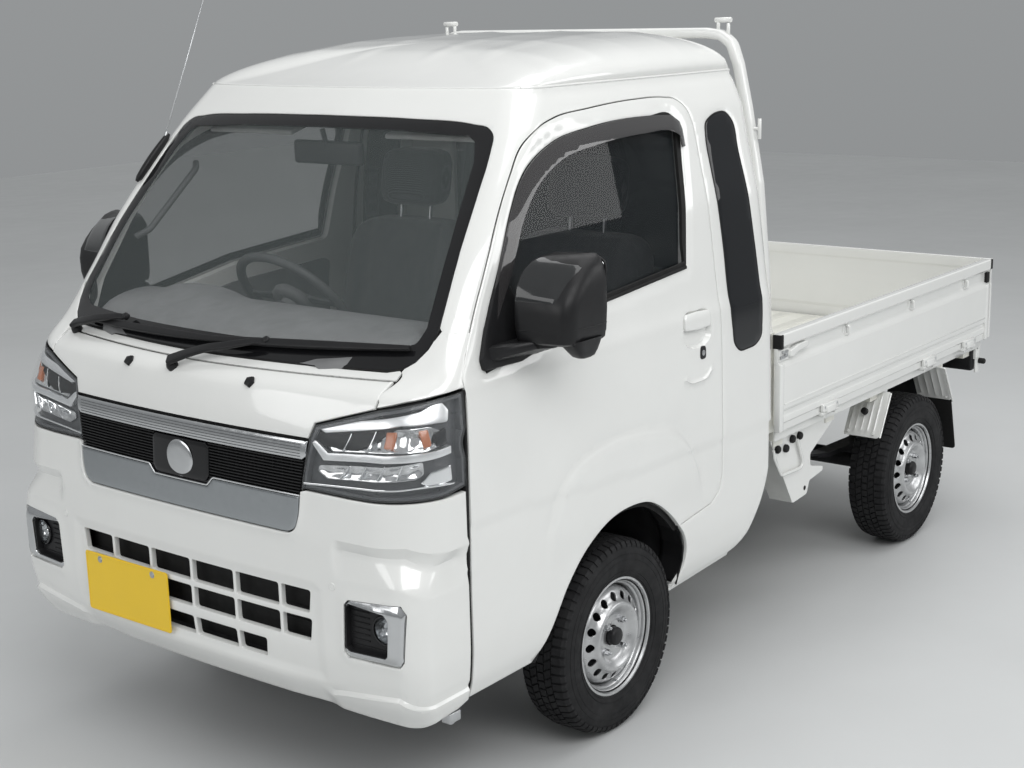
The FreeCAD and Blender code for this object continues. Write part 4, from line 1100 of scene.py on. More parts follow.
def build_doors():
    rad = [3] + [0] * (4 + len(DOOR_FRONT)) + [30] + [20, 20, 10, 4] + [0] * (len(DOOR_ARCH) - 1) + [8]
    out = side_outline(round_poly(DOOR_ALL, rad, 4), 12)
    win = side_outline(round_poly(WINDOW, 14, 4), 10)
    bag = Bag()
    def so(p, step=6):
        q = np.array(p, float)
        return np.stack([sg_of_x(q[:, 0], q[:, 1]), q[:, 1]], 1)
    ln = [so(np.vstack([q, q[:1]])) for q in (inset_poly(np.array(HREC), 0.6), inset_poly(np.array(HREC), 4.0), inset_poly(np.array(HREC), 8.5), inset_poly(np.array(HREC), -5.0))]
    hb = np.array(HBEAD)
    ln += [so(hb + (0, o)) for o in (-5, 0, 5)]
    fl0 = np.array(spline(FLARE, 12.0))
    ln += [so(inset_poly(fl0, o)[2:-2]) for o in (0.5, -9, 12)]
    v, f = panel(surf, out, [win], grid=13.0, thick=13.0, disp=door_relief, edge=2.6, lines=ln)
    bag.add(v, f)
    # inner half of the door, set back from the skin edge
    inn = side_outline(off_side(DOOR_ALL, -15.0), 14)
    v, f = panel(surf, inn, [side_outline(off_side(round_poly(WINDOW, 14, 4), 9.0), 12)], grid=40.0, thick=22.0, disp=lambda s, z: 0 * s - 13.2, edge=0.0)
    inner = Bag().add(v, f)
    # trim card on the inside
    card = [(420, 560), (440, 1150), (860, 1130), (1200, 1075), (1360, 1050), (1380, 720), (1150, 560), (1000, 660), (800, 700), (620, 660), (520, 560)]
    v, f = panel(surf, side_outline(round_poly(card, 30, 3), 16), [], grid=30.0, thick=6.0, disp=lambda s, z: 0 * s - 35.0, edge=0.0)
    card_b = Bag().add(v, f)
    arm = rbox(640, 1010, 628, 664, 868, 912, 12, 3)
    card_b.add(*arm)
    # window glass
    g = side_outline(off_side(round_poly(WINDOW, 14, 4), 7.0), 14)
    v, f = panel(surf, g, [], grid=40.0, thick=4.0, disp=lambda s, z: 0 * s - 12.0, edge=0.0)
    glass = Bag().add(v, f)
    # channel rubbers: a band inside the window edge, wider at the rear, doubled along the bottom
    seal = Bag()
    w0 = round_poly(WINDOW, 14, 4)
    inner_l = inset_poly(resample(w0, 8), 9.0)
    cx = inner_l.copy()
    cx[:, 0] = np.where(cx[:, 0] < 475, cx[:, 0] + 11 * smooth(1230, 1300, cx[:, 1]), cx[:, 0])
    low = np.interp(cx[:, 0], [430, 458, 850, 1200, 1400], [1226, 1221, 1191, 1128, 1100])
    cx[:, 1] = np.maximum(cx[:, 1], low + 15)
    v, f = panel(surf, side_outline(off_side(w0, 1.0), 8), [side_outline(cx, 8)], grid=12.0, thick=9.0, disp=lambda s, z: 0 * s - 3.6, edge=1.2)
    seal.add(v, f)
    lip = resample([(462, 1224), (850, 1194), (1200, 1132), (1362, 1110)], 20, False)
    sp, sn = to_skin(np.stack([sg_of_x(lip[:, 0], lip[:, 1]), lip[:, 1]], 1), -1.0)
    seal.add(*sweep(sp, rrect(6, 9, 2.5), ups=[(0, 0, 1)] * len(sp)))
    sp2, _ = to_skin(np.stack([sg_of_x(lip[:, 0], lip[:, 1] + 13), lip[:, 1] + 13], 1), -4.0)
    seal.add(*sweep(sp2, rrect(5, 7, 2), ups=[(0, 0, 1)] * len(sp2)))
    # rain visor
    vis = Bag()
    outer = spline([(1334, 1212), (1273, 1330), (1190, 1456), (1106, 1543), (977, 1602), (807, 1626), (524, 1637), (420, 1631)], 12.0) + [(387, 1612), (379, 1590), (379, 1544)]
    inner_e = [(404, 1542)] + spline([(408, 1574), (450, 1589), (576, 1592), (802, 1581), (962, 1558), (1080, 1504), (1160, 1432), (1242, 1310), (1316, 1206)], 12.0)
    vo = round_poly(outer + inner_e, 3, 3)
    dist_o = resample(outer, 10, False)

    def vis_h(s, z):
        x = surf(s, z)[..., 0]
        d = seg_dist(x, z, dist_o)
        return 3.0 + 15.0 * np.sin(np.clip(d / 90.0, 0, 1) * math.pi / 2)
    v, f = panel(surf, side_outline(vo, 10), [], grid=13.0, thick=2.6, disp=vis_h, edge=1.0)
    vis.add(v, f)
    # handle: flap over the scoop, key cylinder
    y = y_at(440, 1080)
    hd = Bag()

    def on_side(x, z, o=0.0):
        s = sg_of_x(np.array([x]), np.array([z]))
        p = surf(s, np.array([float(z)]))[0]
        n = normals_of(surf, s, np.array([float(z)]))[0]
        return p + n * o
    fl = [(379, 1095), (440, 1099), (498, 1098), (508, 1088), (509, 1054), (440, 1047), (378, 1049), (373, 1060), (373, 1086)]
    v, f = panel(surf, side_outline(round_poly(fl, [8, 20, 8, 8, 10, 60, 10, 6, 8], 4), 5), [], grid=7.0, thick=12.0,
                 disp=lambda s, z: 4.0 - 0.0022 * (z - 1076) ** 2, edge=3.0)
    hd.add(v, f)
    key = Bag()
    kp = on_side(419, 979, 0)
    kn = on_side(419, 979, 1) - kp
    ky = round_poly([(404, 961), (434, 961), (434, 998), (404, 998)], 12, 5)
    v, f = panel(surf, side_outline(ky, 4), [], grid=8.0, thick=6.0, disp=lambda s, z: 0 * s + 2.2, edge=1.6)
    key.add(v, f)
    slotb = Bag().add(*disc_along(kp + kn * 2.0, kn, [(0.01, 0), (8, 0), (8, 0.9), (6.5, 1.3), (0.01, 1.3)], 24))
    for side in ("left", "right"):
        body, sgn = "door_" + side, side == "left"
        m = (lambda b: b) if sgn else (lambda b: b.mirrored())
        d = m(bag).make("door_%s_skin" % side, M_PAINT, body, "body_paint", angle=50)
        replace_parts(d, "door_" + side)
        m(inner).make("door_%s_inner" % side, M_PAINT, body, "body_paint")
        m(card_b).make("door_%s_card" % side, M_INT2, body, "interior_plastic")
        gg = m(glass).make("door_%s_window" % side, M_TINT, body, "tinted_glass")
        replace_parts(gg, "door_glass_" + side)
        m(seal).make("door_%s_window_seal" % side, M_RUBBER, body, "dark_plastic")
        m(vis).make("door_%s_rain_visor" % side, M_VISOR, body, "tinted_glass")
        m(hd).make("door_%s_handle" % side, M_PAINT, body, "body_paint")
        m(key).make("door_%s_lock" % side, M_PLASTIC, body, "dark_plastic")
        m(slotb).make("door_%s_key_slot" % side, M_STEEL, body, "bare_metal")


def build_quarters():
    q = side_outline(off_side(QUARTER, -2.5), 10)
    v, f = panel(surf, q, [], grid=24.0, thick=4.0, disp=lambda s, z: 0 * s - 1.2, edge=0.8)
    g = Bag().add(v, f).both().make("quarter_windows", M_PRIV, "truck", "tinted_glass")
    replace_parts(g, "cab_windows")
    qo = side_outline(off_side(QUARTER, 1.2), 8)
    qi = side_outline(off_side(QUARTER, -2.2), 8)
    v, f = panel(surf, qo, [qi], grid=8.0, thick=7.0, disp=lambda s, z: 0 * s - 0.9, edge=0.7)
    Bag().add(v, f).both().make("quarter_window_seals", M_RUBBER, "truck", "dark_plastic")


def build_screen():
    half = SCREEN_L + [(640, 1176), (622, 1145), (596, 1130), (560, 1124), (300, 1121), (0, 1120)]
    fl = np.array(half)
    full = np.vstack([fl, fl[-2:0:-1] * (-1, 1)])
    full = round_poly([tuple(p) for p in full], 10, 3)
    out = front_outline(full, 12)
    # opaque black border with the clear part cut out
    clear = [(0, 1640), (300, 1637), (496, 1627), (519, 1615), (543, 1571), (585, 1390), (613, 1215), (603, 1184), (562, 1168), (300, 1162), (0, 1162)]
    cl = np.array(clear, float)
    cf = np.vstack([cl, cl[-2:0:-1] * (-1, 1)])
    cf = round_poly([tuple(p) for p in cf], 16, 4)
    co = front_outline(cf, 12)
    sc = inset_poly(resample(out, 10), 2.0)
    v, f = panel(surf, sc, [co], grid=20.0, thick=4.5, disp=lambda s, z: 0 * s - 1.5, edge=1.2)
    make("windscreen_border", v, f, M_FRIT, "truck", "dark_plastic")
    v, f = panel(surf, inset_poly(resample(co, 10), -0.3), [], grid=40.0, thick=4.5, disp=lambda s, z: 0 * s - 1.6, edge=0.0)
    g = make("windscreen_glass", v, f, M_SCREEN, "truck", "screen_glass")
    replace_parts(g, "windscreen")
    # rubber between glass and pillar
    o1 = front_outline(inset_poly(resample(full, 8), -1.0), 10)
    i1 = front_outline(inset_poly(resample(full, 8), 3.0), 10)
    v, f = panel(surf, o1, [i1], grid=9.0, thick=9.0, disp=lambda s, z: 0 * s - 2.2, edge=0.8)
    make("windscreen_rubber", v, f, M_RUBBER, "truck", "dark_plastic")


# =============================================================================================
# roof
# =============================================================================================
def build_roof():
    """High roof: a grid from the crease at z 1735 up and over to the spine."""
    nT = 27
    # perimeter from front middle round the left side to the rear middle, on the side skin's plan at the crease
    per = []
    for s in list(np.linspace(0, 600, 34)) + list(np.linspace(600, 830, 12))[1:] + list(np.linspace(830, 2220, 60))[1:] + list(np.linspace(2220, 2273, 6))[1:] + list(np.linspace(2273, 2973, 22))[1:]:
        per.append(surf(np.array(s), np.array(TOP_Z)))
    per = np.array(per)
    # spine point for each perimeter point
    spx = np.interp(np.arange(len(per)), [0, 33, 44, 103, 108, len(per) - 1], [640, 640, 620, 330, 300, 300])
    v = []
    for i, p in enumerate(per):
        tgt = np.array((spx[i], 0.0))
        d = tgt - p[:2]
        nrm = 1
        # exponent by where it is on the edge
        wf = smooth(500, 200, np.interp(i, [0, 33, 44, len(per)], [0, 500, 900, 900]))
        is_rear = smooth(104, 112, i)
        is_front = 1 - smooth(30, 46, i)
        n = 4.6 * (1 - is_rear - is_front) + 2.0 * is_rear + 2.4 * is_front
        m = 2.0 * (1 - is_rear - is_front) + 1.25 * is_rear + 1.15 * is_front
        if is_rear < 0.01 and is_front < 0.01:
            n, m = 4.6, 2.0
        for j in range(nT):
            t = (j / (nT - 1)) ** 1.25
            q = 1 - t
            h = (1 - q ** n) ** (1 / m)
            x, y = p[:2] + d * t
            top = np.interp(x, [8, 143, 240, 453, 630, 798, 1027, 1138], [1838, 1850, 1853, 1849, 1841, 1822, 1775, 1742])
            z = TOP_Z + (top - TOP_Z) * h
            # long ribs
            if t > 0.12:
                z += 2.2 * smooth(0.12, 0.3, t) * (math.exp(-((abs(y) - 330) / 26.0) ** 2) + math.exp(-((abs(y) - 130) / 26.0) ** 2)) * smooth(60, 160, x) * smooth(900, 780, x)
            v.append((x, y, min(z, 1883)))
    n = len(per)
    f = grid_faces(n, nT)
    b = Bag().add(v, f)
    # hem points along the crease, computed but not used
    hem = []
    for i, p in enumerate(per):
        hem.append((p[0], p[1], TOP_Z + 0.0))
    bb = b.both()
    ob = bb.make("roof_skin", M_PAINT, "truck", "body_paint", angle=60)
    sol = ob.modifiers.new("s", "SOLIDIFY")
    sol.thickness = 0.004
    sol.offset = -1
    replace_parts(ob, "roof")
    # crease bead where roof and side meet
    bead = Bag()
    line = []
    for s in np.linspace(700, 2400, 120):
        p = surf(np.array(s), np.array(TOP_Z))
        nn = normals_of(surf, np.array([s]), np.array([TOP_Z]))[0]
        line.append(p + nn * -0.5)
    bead.add(*sweep(line, circle(3.0, 8), ups=[(0, 0, 1)] * len(line)))
    bead.both().make("roof_edge_bead", M_PAINT, "truck", "body_paint")
    # headlining
    v2 = []
    for i in range(0, n, 3):
        for j in range(0, nT, 3):
            x, y, z = v[i * nT + j]
            v2.append((x * 0.97 + 12, y * 0.95, z - 22))
    k = len(range(0, n, 3))
    Bag().add(v2, grid_faces(k, len(range(0, nT, 3)))).both().make("headlining", M_LINER, "truck", "interior_plastic")


# =============================================================================================
# front: hood, lamps, grille, bumper
# =============================================================================================
HOOD = [(0, 972), (424, 972), (438, 1008), (500, 1027), (591, 1053.5), (592, 1078), (593, 1108), (0, 1104)]
LAMP = [(403, 846), (418, 853), (552, 852), (660, 855), (736, 852), (736.9, 870), (735, 960), (729, 1084), (708, 1079), (603, 1056), (437, 1007), (425, 975), (420, 960), (412, 880)]


def mirror_closed(half):
    h = np.array(half, float)
    m = h[::-1] * (-1, 1)
    keep = [q for q in m if abs(q[0]) > 0.5]
    return np.vstack([h, keep])


def front_outline_xz(pts, step=10.0):
    """Outline whose points are (y, z) in front and ('x', x, z) on the side."""
    r = []
    for p in pts:
        if len(p) == 3:
            r.append((float(sg_of_x(np.array([p[1]]), np.array([p[2]]))[0]), p[2]))
        else:
            r.append((float(sg_of_y(np.array([p[0]]), np.array([p[1]]))[0]), p[1]))
    return resample(r, step)


def build_hood():
    full = mirror_closed(HOOD)

    def relief(s, z):
        return 0 * s + 1.2 * np.exp(-((z - 1000) / 30.0) ** 2)
    v, f = panel(surf, front_outline(inset_poly(resample(full, 9), 1.6), 10), [], grid=14.0, thick=8.0, disp=relief, edge=2.4)
    ob = make("hood_panel", v, f, M_PAINT, "truck", "body_paint", angle=50)
    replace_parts(ob, "front_panel")
    # painted cowl strip between hood and screen
    cw = mirror_closed([(0, 1118), (560, 1121.5), (590, 1127), (596, 1124), (594.5, 1109.4), (0, 1105.2)])
    v, f = panel(surf, front_outline(cw, 9), [], grid=10.0, thick=5.0, disp=lambda s, z: 0 * s - 2.0, edge=1.0)
    make("cowl_strip", v, f, M_PAINT, "truck", "body_paint", angle=50)
    # washer jets
    b = Bag()
    for y in (-222, 222):
        x = x_at(y, 1077)
        b.add(*disc_along((x - 4, y, 1077), (0.75, 0, 0.66), [(0.01, 0), (15, 0), (15.5, 4), (13, 9), (6, 11.6), (0.01, 12)], 5))
    b.make("washer_jets", M_PLASTIC, "truck", "dark_plastic")
    # painted shade: a black backing sheet behind the seams of the nose
    bk = mirror_closed([(0, 960), (560, 960), (690, 1040), (690, 1100), (600, 1130), (0, 1124)])
    v, f = panel(surf, front_outline(bk, 20), [], grid=24.0, thick=3.0, disp=lambda s, z: 0 * s - 11.0, edge=0.0)
    make("nose_seam_shade_backing", v, f, M_SHADE_BLACK, "truck", "dark_plastic")


def spt(x, y, z):
    if x > 1600:
        return (float(sg_of_y(np.array([float(y)]), np.array([float(z)]))[0]), z)
    return (float(sg_of_x(np.array([float(x)]), np.array([float(z)]))[0]), z)


def build_lamps():
    lamp_out = [(406, 848), (418, 853), (552, 850), (640, 851), ("x", 1537, 852), ("x", 1462, 862), ("x", 1459.5, 930), ("x", 1452, 1000), ("x", 1456, 1084),
                (708, 1078), (603, 1055), (437, 1006), (425, 975), (418, 930)]
    out = front_outline_xz(lamp_out, 7)
    # clear cover
    v, f = panel(surf, inset_poly(out, 1.2), [], grid=12.0, thick=2.6, disp=lambda s, z: 0 * s + 0.6, edge=2.4)
    ob = Bag().add(v, f).both().make("headlamp_covers", M_LENS, "truck", "lamp_lens", angle=60)
    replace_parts(ob, "headlamps")
    v, f = panel(surf, inset_poly(out, 0.4), [inset_poly(out, 5.0)], grid=9.0, thick=34.0, disp=lambda s, z: 0 * s - 2.4, edge=0.4)
    Bag().add(v, f).both().make("headlamp_seals", M_RUBBER, "truck", "dark_plastic")
    v, f = panel(surf, inset_poly(out, 2.0), [inset_poly(out, 12.0)], grid=9.0, thick=30.0, disp=lambda s, z: 0 * s - 4.0, edge=0.6)
    Bag().add(v, f).both().make("headlamp_rims", M_DARKLAMP, "truck", "dark_plastic")
    v, f = panel(surf, inset_poly(out, 6.0), [], grid=12.0, thick=3.0, disp=lambda s, z: 0 * s - 21.0, edge=0.0)
    Bag().add(v, f).both().make("headlamp_backs", M_DARKLAMP, "truck", "dark_plastic")

    def piece(name, pts, mat, depth, thick, edge=1.6, grid=6.0, rr=4, disp=None, slot="lamp_lens"):
        o = resample(round_poly([spt(*q) for q in pts], rr, 3), 4.5)
        dd = (lambda s, z: 0 * s - depth) if disp is None else (lambda s, z: -depth + disp(s, z, o))
        v, f = panel(surf, o, [], grid=grid, thick=thick, disp=dd, edge=edge)
        return Bag().add(v, f).both().make(name, mat, "truck", slot, angle=45)
    piece("headlamp_top_strips", [(1645, 446, 1000), (1619, 561, 1029), (1560, 678, 1054), (1515, 711, 1074), (1501, 724, 1050), (1509, 728, 1024), (1556, 708, 1026), (1600, 655, 1025), (1645, 468, 991)],
          M_LAMPW, 5.0, 14.0, 3.4, 7.0, 5)

    def bowlish(s, z, o):
        d = seg_dist(s, z, o, True)
        return -7.0 * smooth(0, 16, d) + 2.5 * np.sin(s * 0.085) * smooth(4, 16, d)
    piece("headlamp_upper_reflectors", [(1649, 458, 983), (1601, 652, 1019), (1556, 706, 1022), (1523, 729, 1005), (1530, 733, 975), (1575, 721, 966), (1628, 655, 965), (1654, 488, 950)],
          M_REFL, 11.0, 8.0, 1.5, 5.0, 6, bowlish)
    piece("headlamp_lower_reflectors", [(1661, 450, 914), (1652, 560, 926), (1585, 714, 943), (1583, 717, 912), (1600, 702, 901), (1651, 582, 892), (1662, 476, 884), (1663, 449, 898)],
          M_REFL, 11.0, 8.0, 1.5, 5.0, 8, bowlish)
    piece("headlamp_c_bars", [(1660, 429, 966), (1655, 444, 972), (1655, 480, 947), (1640, 600, 957), (1624, 673, 962), (1560, 722, 965), (1504, 734, 968), (1505, 734, 949), (1570, 720, 946),
                              (1625, 673, 943), (1642, 590, 938), (1658, 468, 927)], M_LAMPW, 4.0, 15.0, 3.0, 5.0, 3)
    piece("headlamp_outer_wedges", [(1592, 712, 893), (1569, 723, 917), (1508, 735, 924), (1506, 735, 886), (1572, 722, 881)], M_CHROME, 5.0, 14.0, 3.0, 6.0, 3)
    # dark blocks at the outer end of each row
    piece("headlamp_outer_blocks", [(1548, 724, 1006), (1516, 731, 1012), (1510, 734, 974), (1548, 728, 974)], M_GLOSS, 8.0, 10.0, 1.5, 6.0, 3)
    # amber turn lamp: tinted reflectors and bulb
    for k, (x, y, z) in enumerate(((1618, 645, 994), (1570, 709, 996))):
        piece("headlamp_turn_%d" % k, [(x + 9, y - 15, z + 18), (x - 10, y + 12, z + 20), (x - 10, y + 12, z - 18), (x + 9, y - 15, z - 20)] if k == 0 else
              [(1580, 700, z + 20), (1560, 716, z + 20), (1560, 718, z - 18), (1580, 708, z - 20)], M_AMBER, 10.0, 7.0, 3.0, 5.0, 5)
    # thin ribs dividing the rows, and the lit line along the bottom
    rib = Bag()
    for x0, y0, z0, x1, y1, z1 in ((1650, 520, 955, 1640, 540, 998), (1640, 585, 960, 1627, 605, 1010), (1660, 515, 890, 1652, 540, 922), (1653, 570, 895, 1644, 590, 929),
                                   (1640, 620, 899, 1630, 640, 934), (1614, 668, 902, 1606, 682, 938)):
        a, b2 = spt(x0, y0, z0), spt(x1, y1, z1)
        q = np.array([(a[0] + (b2[0] - a[0]) * u, a[1] + (b2[1] - a[1]) * u) for u in np.linspace(0, 1, 8)])
        pp = surf(q[:, 0], q[:, 1])
        nn = normals_of(surf, q[:, 0], q[:, 1])
        rib.add(*sweep(pp - nn * 12.0, rrect(3.0, 9, 1.0, 2), ups=nn))
    rib.both().make("headlamp_ribs", M_CHROME, "truck", "lamp_lens")
    a = np.array([spt(*q) for q in ((1668, 412, 866), (1660, 520, 873), (1651, 600, 877), (1625, 668, 880), (1589, 712, 884), (1540, 728, 882), (1504, 735, 879))])
    a = np.array(spline(a, 8.0))
    pp = surf(a[:, 0], a[:, 1])
    nn = normals_of(surf, a[:, 0], a[:, 1])
    Bag().add(*sweep(pp - nn * 6.0, rrect(5.0, 8, 1.6, 2), ups=nn)).both().make("headlamp_lower_lines", M_CHROME, "truck", "lamp_lens")


def build_grille():
    # bright upper band with fine lines
    fr = [(0, 921), (409, 921), (421, 930), (424, 968), (0, 968)]
    full = mirror_closed(fr)
    o = front_outline(inset_poly(resample(full, 8), 0.8), 8)
    v, f = panel(surf, o, [], grid=11.0, thick=14.0, disp=lambda s, z: 1.0 + 2.6 * np.clip(1 - ((z - 944) / 24.0) ** 2, 0, 1), edge=3.0)
    ob = make("grille_band", v, f, M_BRIGHT, "truck", "grille_chrome", angle=50)
    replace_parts(ob, "grille")
    ln = Bag()
    for z in (929, 936, 943, 950, 957):
        pts = np.array([(y, z) for y in np.linspace(-404, 404, 60)])
        s = sg_of_y(pts[:, 0], pts[:, 1])
        p = surf(s, pts[:, 1])
        n = normals_of(surf, s, pts[:, 1])
        lift = 1.0 + 2.6 * max(0, 1 - ((z - 944) / 24.0) ** 2)
        ln.add(*sweep(p + n * (lift + 0.25), rrect(0.9, 1.7, 0.3, 1), ups=[(0, 0, 1)] * len(p)))
    ln.make("grille_band_lines", M_DARKLAMP, "truck", "grille_chrome")
    # dark mesh band: frame, slats, and a black backing sheet behind them, painted shade standing in for the darkness
    # between the slats
    back = mirror_closed([(0, 744), (360, 744), (386, 756), (398, 786), (404, 860), (422, 925), (0, 925)])
    v, f = panel(surf, front_outline(back, 14), [], grid=20.0, thick=3.0, disp=lambda s, z: 0 * s - 24.0, edge=0.0)
    make("grille_shade_back", v, f, M_SHADE_BLACK, "truck", "dark_plastic")
    sl = Bag()
    for k, z in enumerate(np.arange(836, 918, 7.4)):
        for a, b in ((100, 400 + 0.14 * (z - 836)),):
            pts = np.array([(y, z) for y in np.linspace(a, b, 26)])
            s = sg_of_y(pts[:, 0], pts[:, 1])
            p = surf(s, pts[:, 1])
            n = normals_of(surf, s, pts[:, 1])
            sl.add(*sweep(p - n * 5.0, rrect(9, 3.0, 1.2, 2), ups=[(0, 0, 1)] * len(p)))
    for y in range(130, 400, 30):
        x = x_at(y, 876)
        sl.add(*rbox(x - 17, x - 9, y - 1.4, y + 1.4, 833, 920, 0.5, 1))
    sl.both().make("grille_slats", M_PLASTIC, "truck", "grille_chrome")
    # smooth black centre place, left bare
    cen = round_poly([(-92, 822), (92, 822), (104, 838), (104, 908), (92, 919), (-92, 919), (-104, 908), (-104, 838)], 8, 4)
    v, f = panel(surf, front_outline(cen, 6), [], grid=8.0, thick=16.0, disp=lambda s, z: 2.0 + 3.0 * np.clip(1 - (surf(s, z)[..., 1] / 104.0) ** 2, 0, 1), edge=3.5)
    make("grille_centre", v, f, M_GLOSS, "truck", "grille_chrome")
    # bare oval badge plate
    x = x_at(0, 866) + 4.5
    N, R = 40, []
    vv = []
    for r, o in ((0.01, 3.6), (0.55, 3.4), (0.85, 2.6), (0.97, 1.2), (1.0, 0.0)):
        for i in range(N):
            a = 2 * math.pi * i / N
            vv.append((x + o - 0.28 * r * math.sin(a), 2 + 48 * r * math.cos(a), 868 + 47 * r * math.sin(a)))
    make("grille_badge_blank", vv, grid_faces(5, N, False, True), M_BRIGHT, "truck", "grille_chrome")
    # lower satin panel with the centre notch, and the bright edge round the opening
    low = [(0, 742)] + spline([(340, 742), (368, 744), (388, 756), (398, 782), (403, 834)], 7.0) + [(118, 834), (96, 812), (0, 812)]
    v, f = panel(surf, front_outline(inset_poly(resample(mirror_closed(low), 8), 1.0), 8), [], grid=11.0, thick=16.0,
                 disp=lambda s, z: -1.0 + 4.0 * np.clip((z - 742) / 90.0, 0, 1), edge=3.0)
    make("grille_lower_panel", v, f, M_SATIN, "truck", "grille_chrome", angle=50)
    notch = [(-404, 836), (-118, 836), (-97, 814), (97, 814), (118, 836), (404, 836)]
    pts = bend_path([(0, y, z) for y, z in notch], 10, 8)
    s = sg_of_y(pts[:, 1], pts[:, 2])
    p = surf(s, pts[:, 2])
    n = normals_of(surf, s, pts[:, 2])
    Bag().add(*sweep(p + n * 2.2, rrect(4, 3.4, 1.5), ups=n)).make("grille_notch_edge", M_CHROME, "truck", "grille_chrome")
    mesh = [(-95, 818), (95, 818), (95, 838), (-95, 838)]
    v, f = panel(surf, front_outline([(-96, 814), (96, 814), (116, 834), (-116, 834)], 8), [], grid=8, thick=5.0, disp=lambda s, z: 0 * s - 4, edge=1.0)
    make("grille_notch_fill", v, f, M_GLOSS, "truck", "grille_chrome")


def fade(v, lo, hi, w):
    """1 inside lo..hi, falling to 0 over w outside."""
    return smooth(lo - w, lo, v) * (1 - smooth(hi, hi + w, v))


FOGP = [(527, 478), (540, 466), (690, 470), (700, 486), (706, 600), (694, 620), (545, 608), (533, 596)]


GRILLE_EDGE = [(0, 738), (340, 738), (370, 741), (392, 754), (402, 782), (407, 846)]


def bumper_relief(s, z):
    y = np.abs(surf(s, z)[..., 1])
    h = np.zeros(np.shape(z))
    # recess under the lamps: a band that turns in, then a facet that comes out again over the fog lamp
    zz = z + np.interp(y, [520, 690, 737], [0, 0, 26])
    pr = np.interp(zz, [646, 656, 712, 722, 748, 756], [0, 0, -13, -13, 0, 0])
    h += pr * smooth(498, 522, y) * (0.3 + 0.7 * smooth(1468, 1510, surf(s, z)[..., 0]))
    # rolled lip round the grille opening
    d = seg_dist(y, z, GRILLE_EDGE)
    h += 3.4 * (1 - smooth(5, 15, d))
    # ledge above the lower edge: the lip below it stands proud
    zr = np.interp(y, [440, 520, 676, 740], [352, 366, 385, 352])
    h += (7.0 * smooth(zr + 5, zr - 3, z) - 1.5 * np.exp(-((z - zr - 10) / 7.0) ** 2)) * smooth(430, 480, y)
    h += 3.0 * smooth(388, 380, z) * (1 - smooth(300, 430, y))
    # step down into the intake zone
    h += -4.0 * fade(y, 0, 440, 22) * fade(z, 396, 618, 8)
    # bezel land
    d = seg_dist(y, z, FOGP, True)
    ins = inside(y, z, FOGP)
    h += np.where(~ins, 3.0 * (1 - smooth(0, 26, d)), 0)
    return h


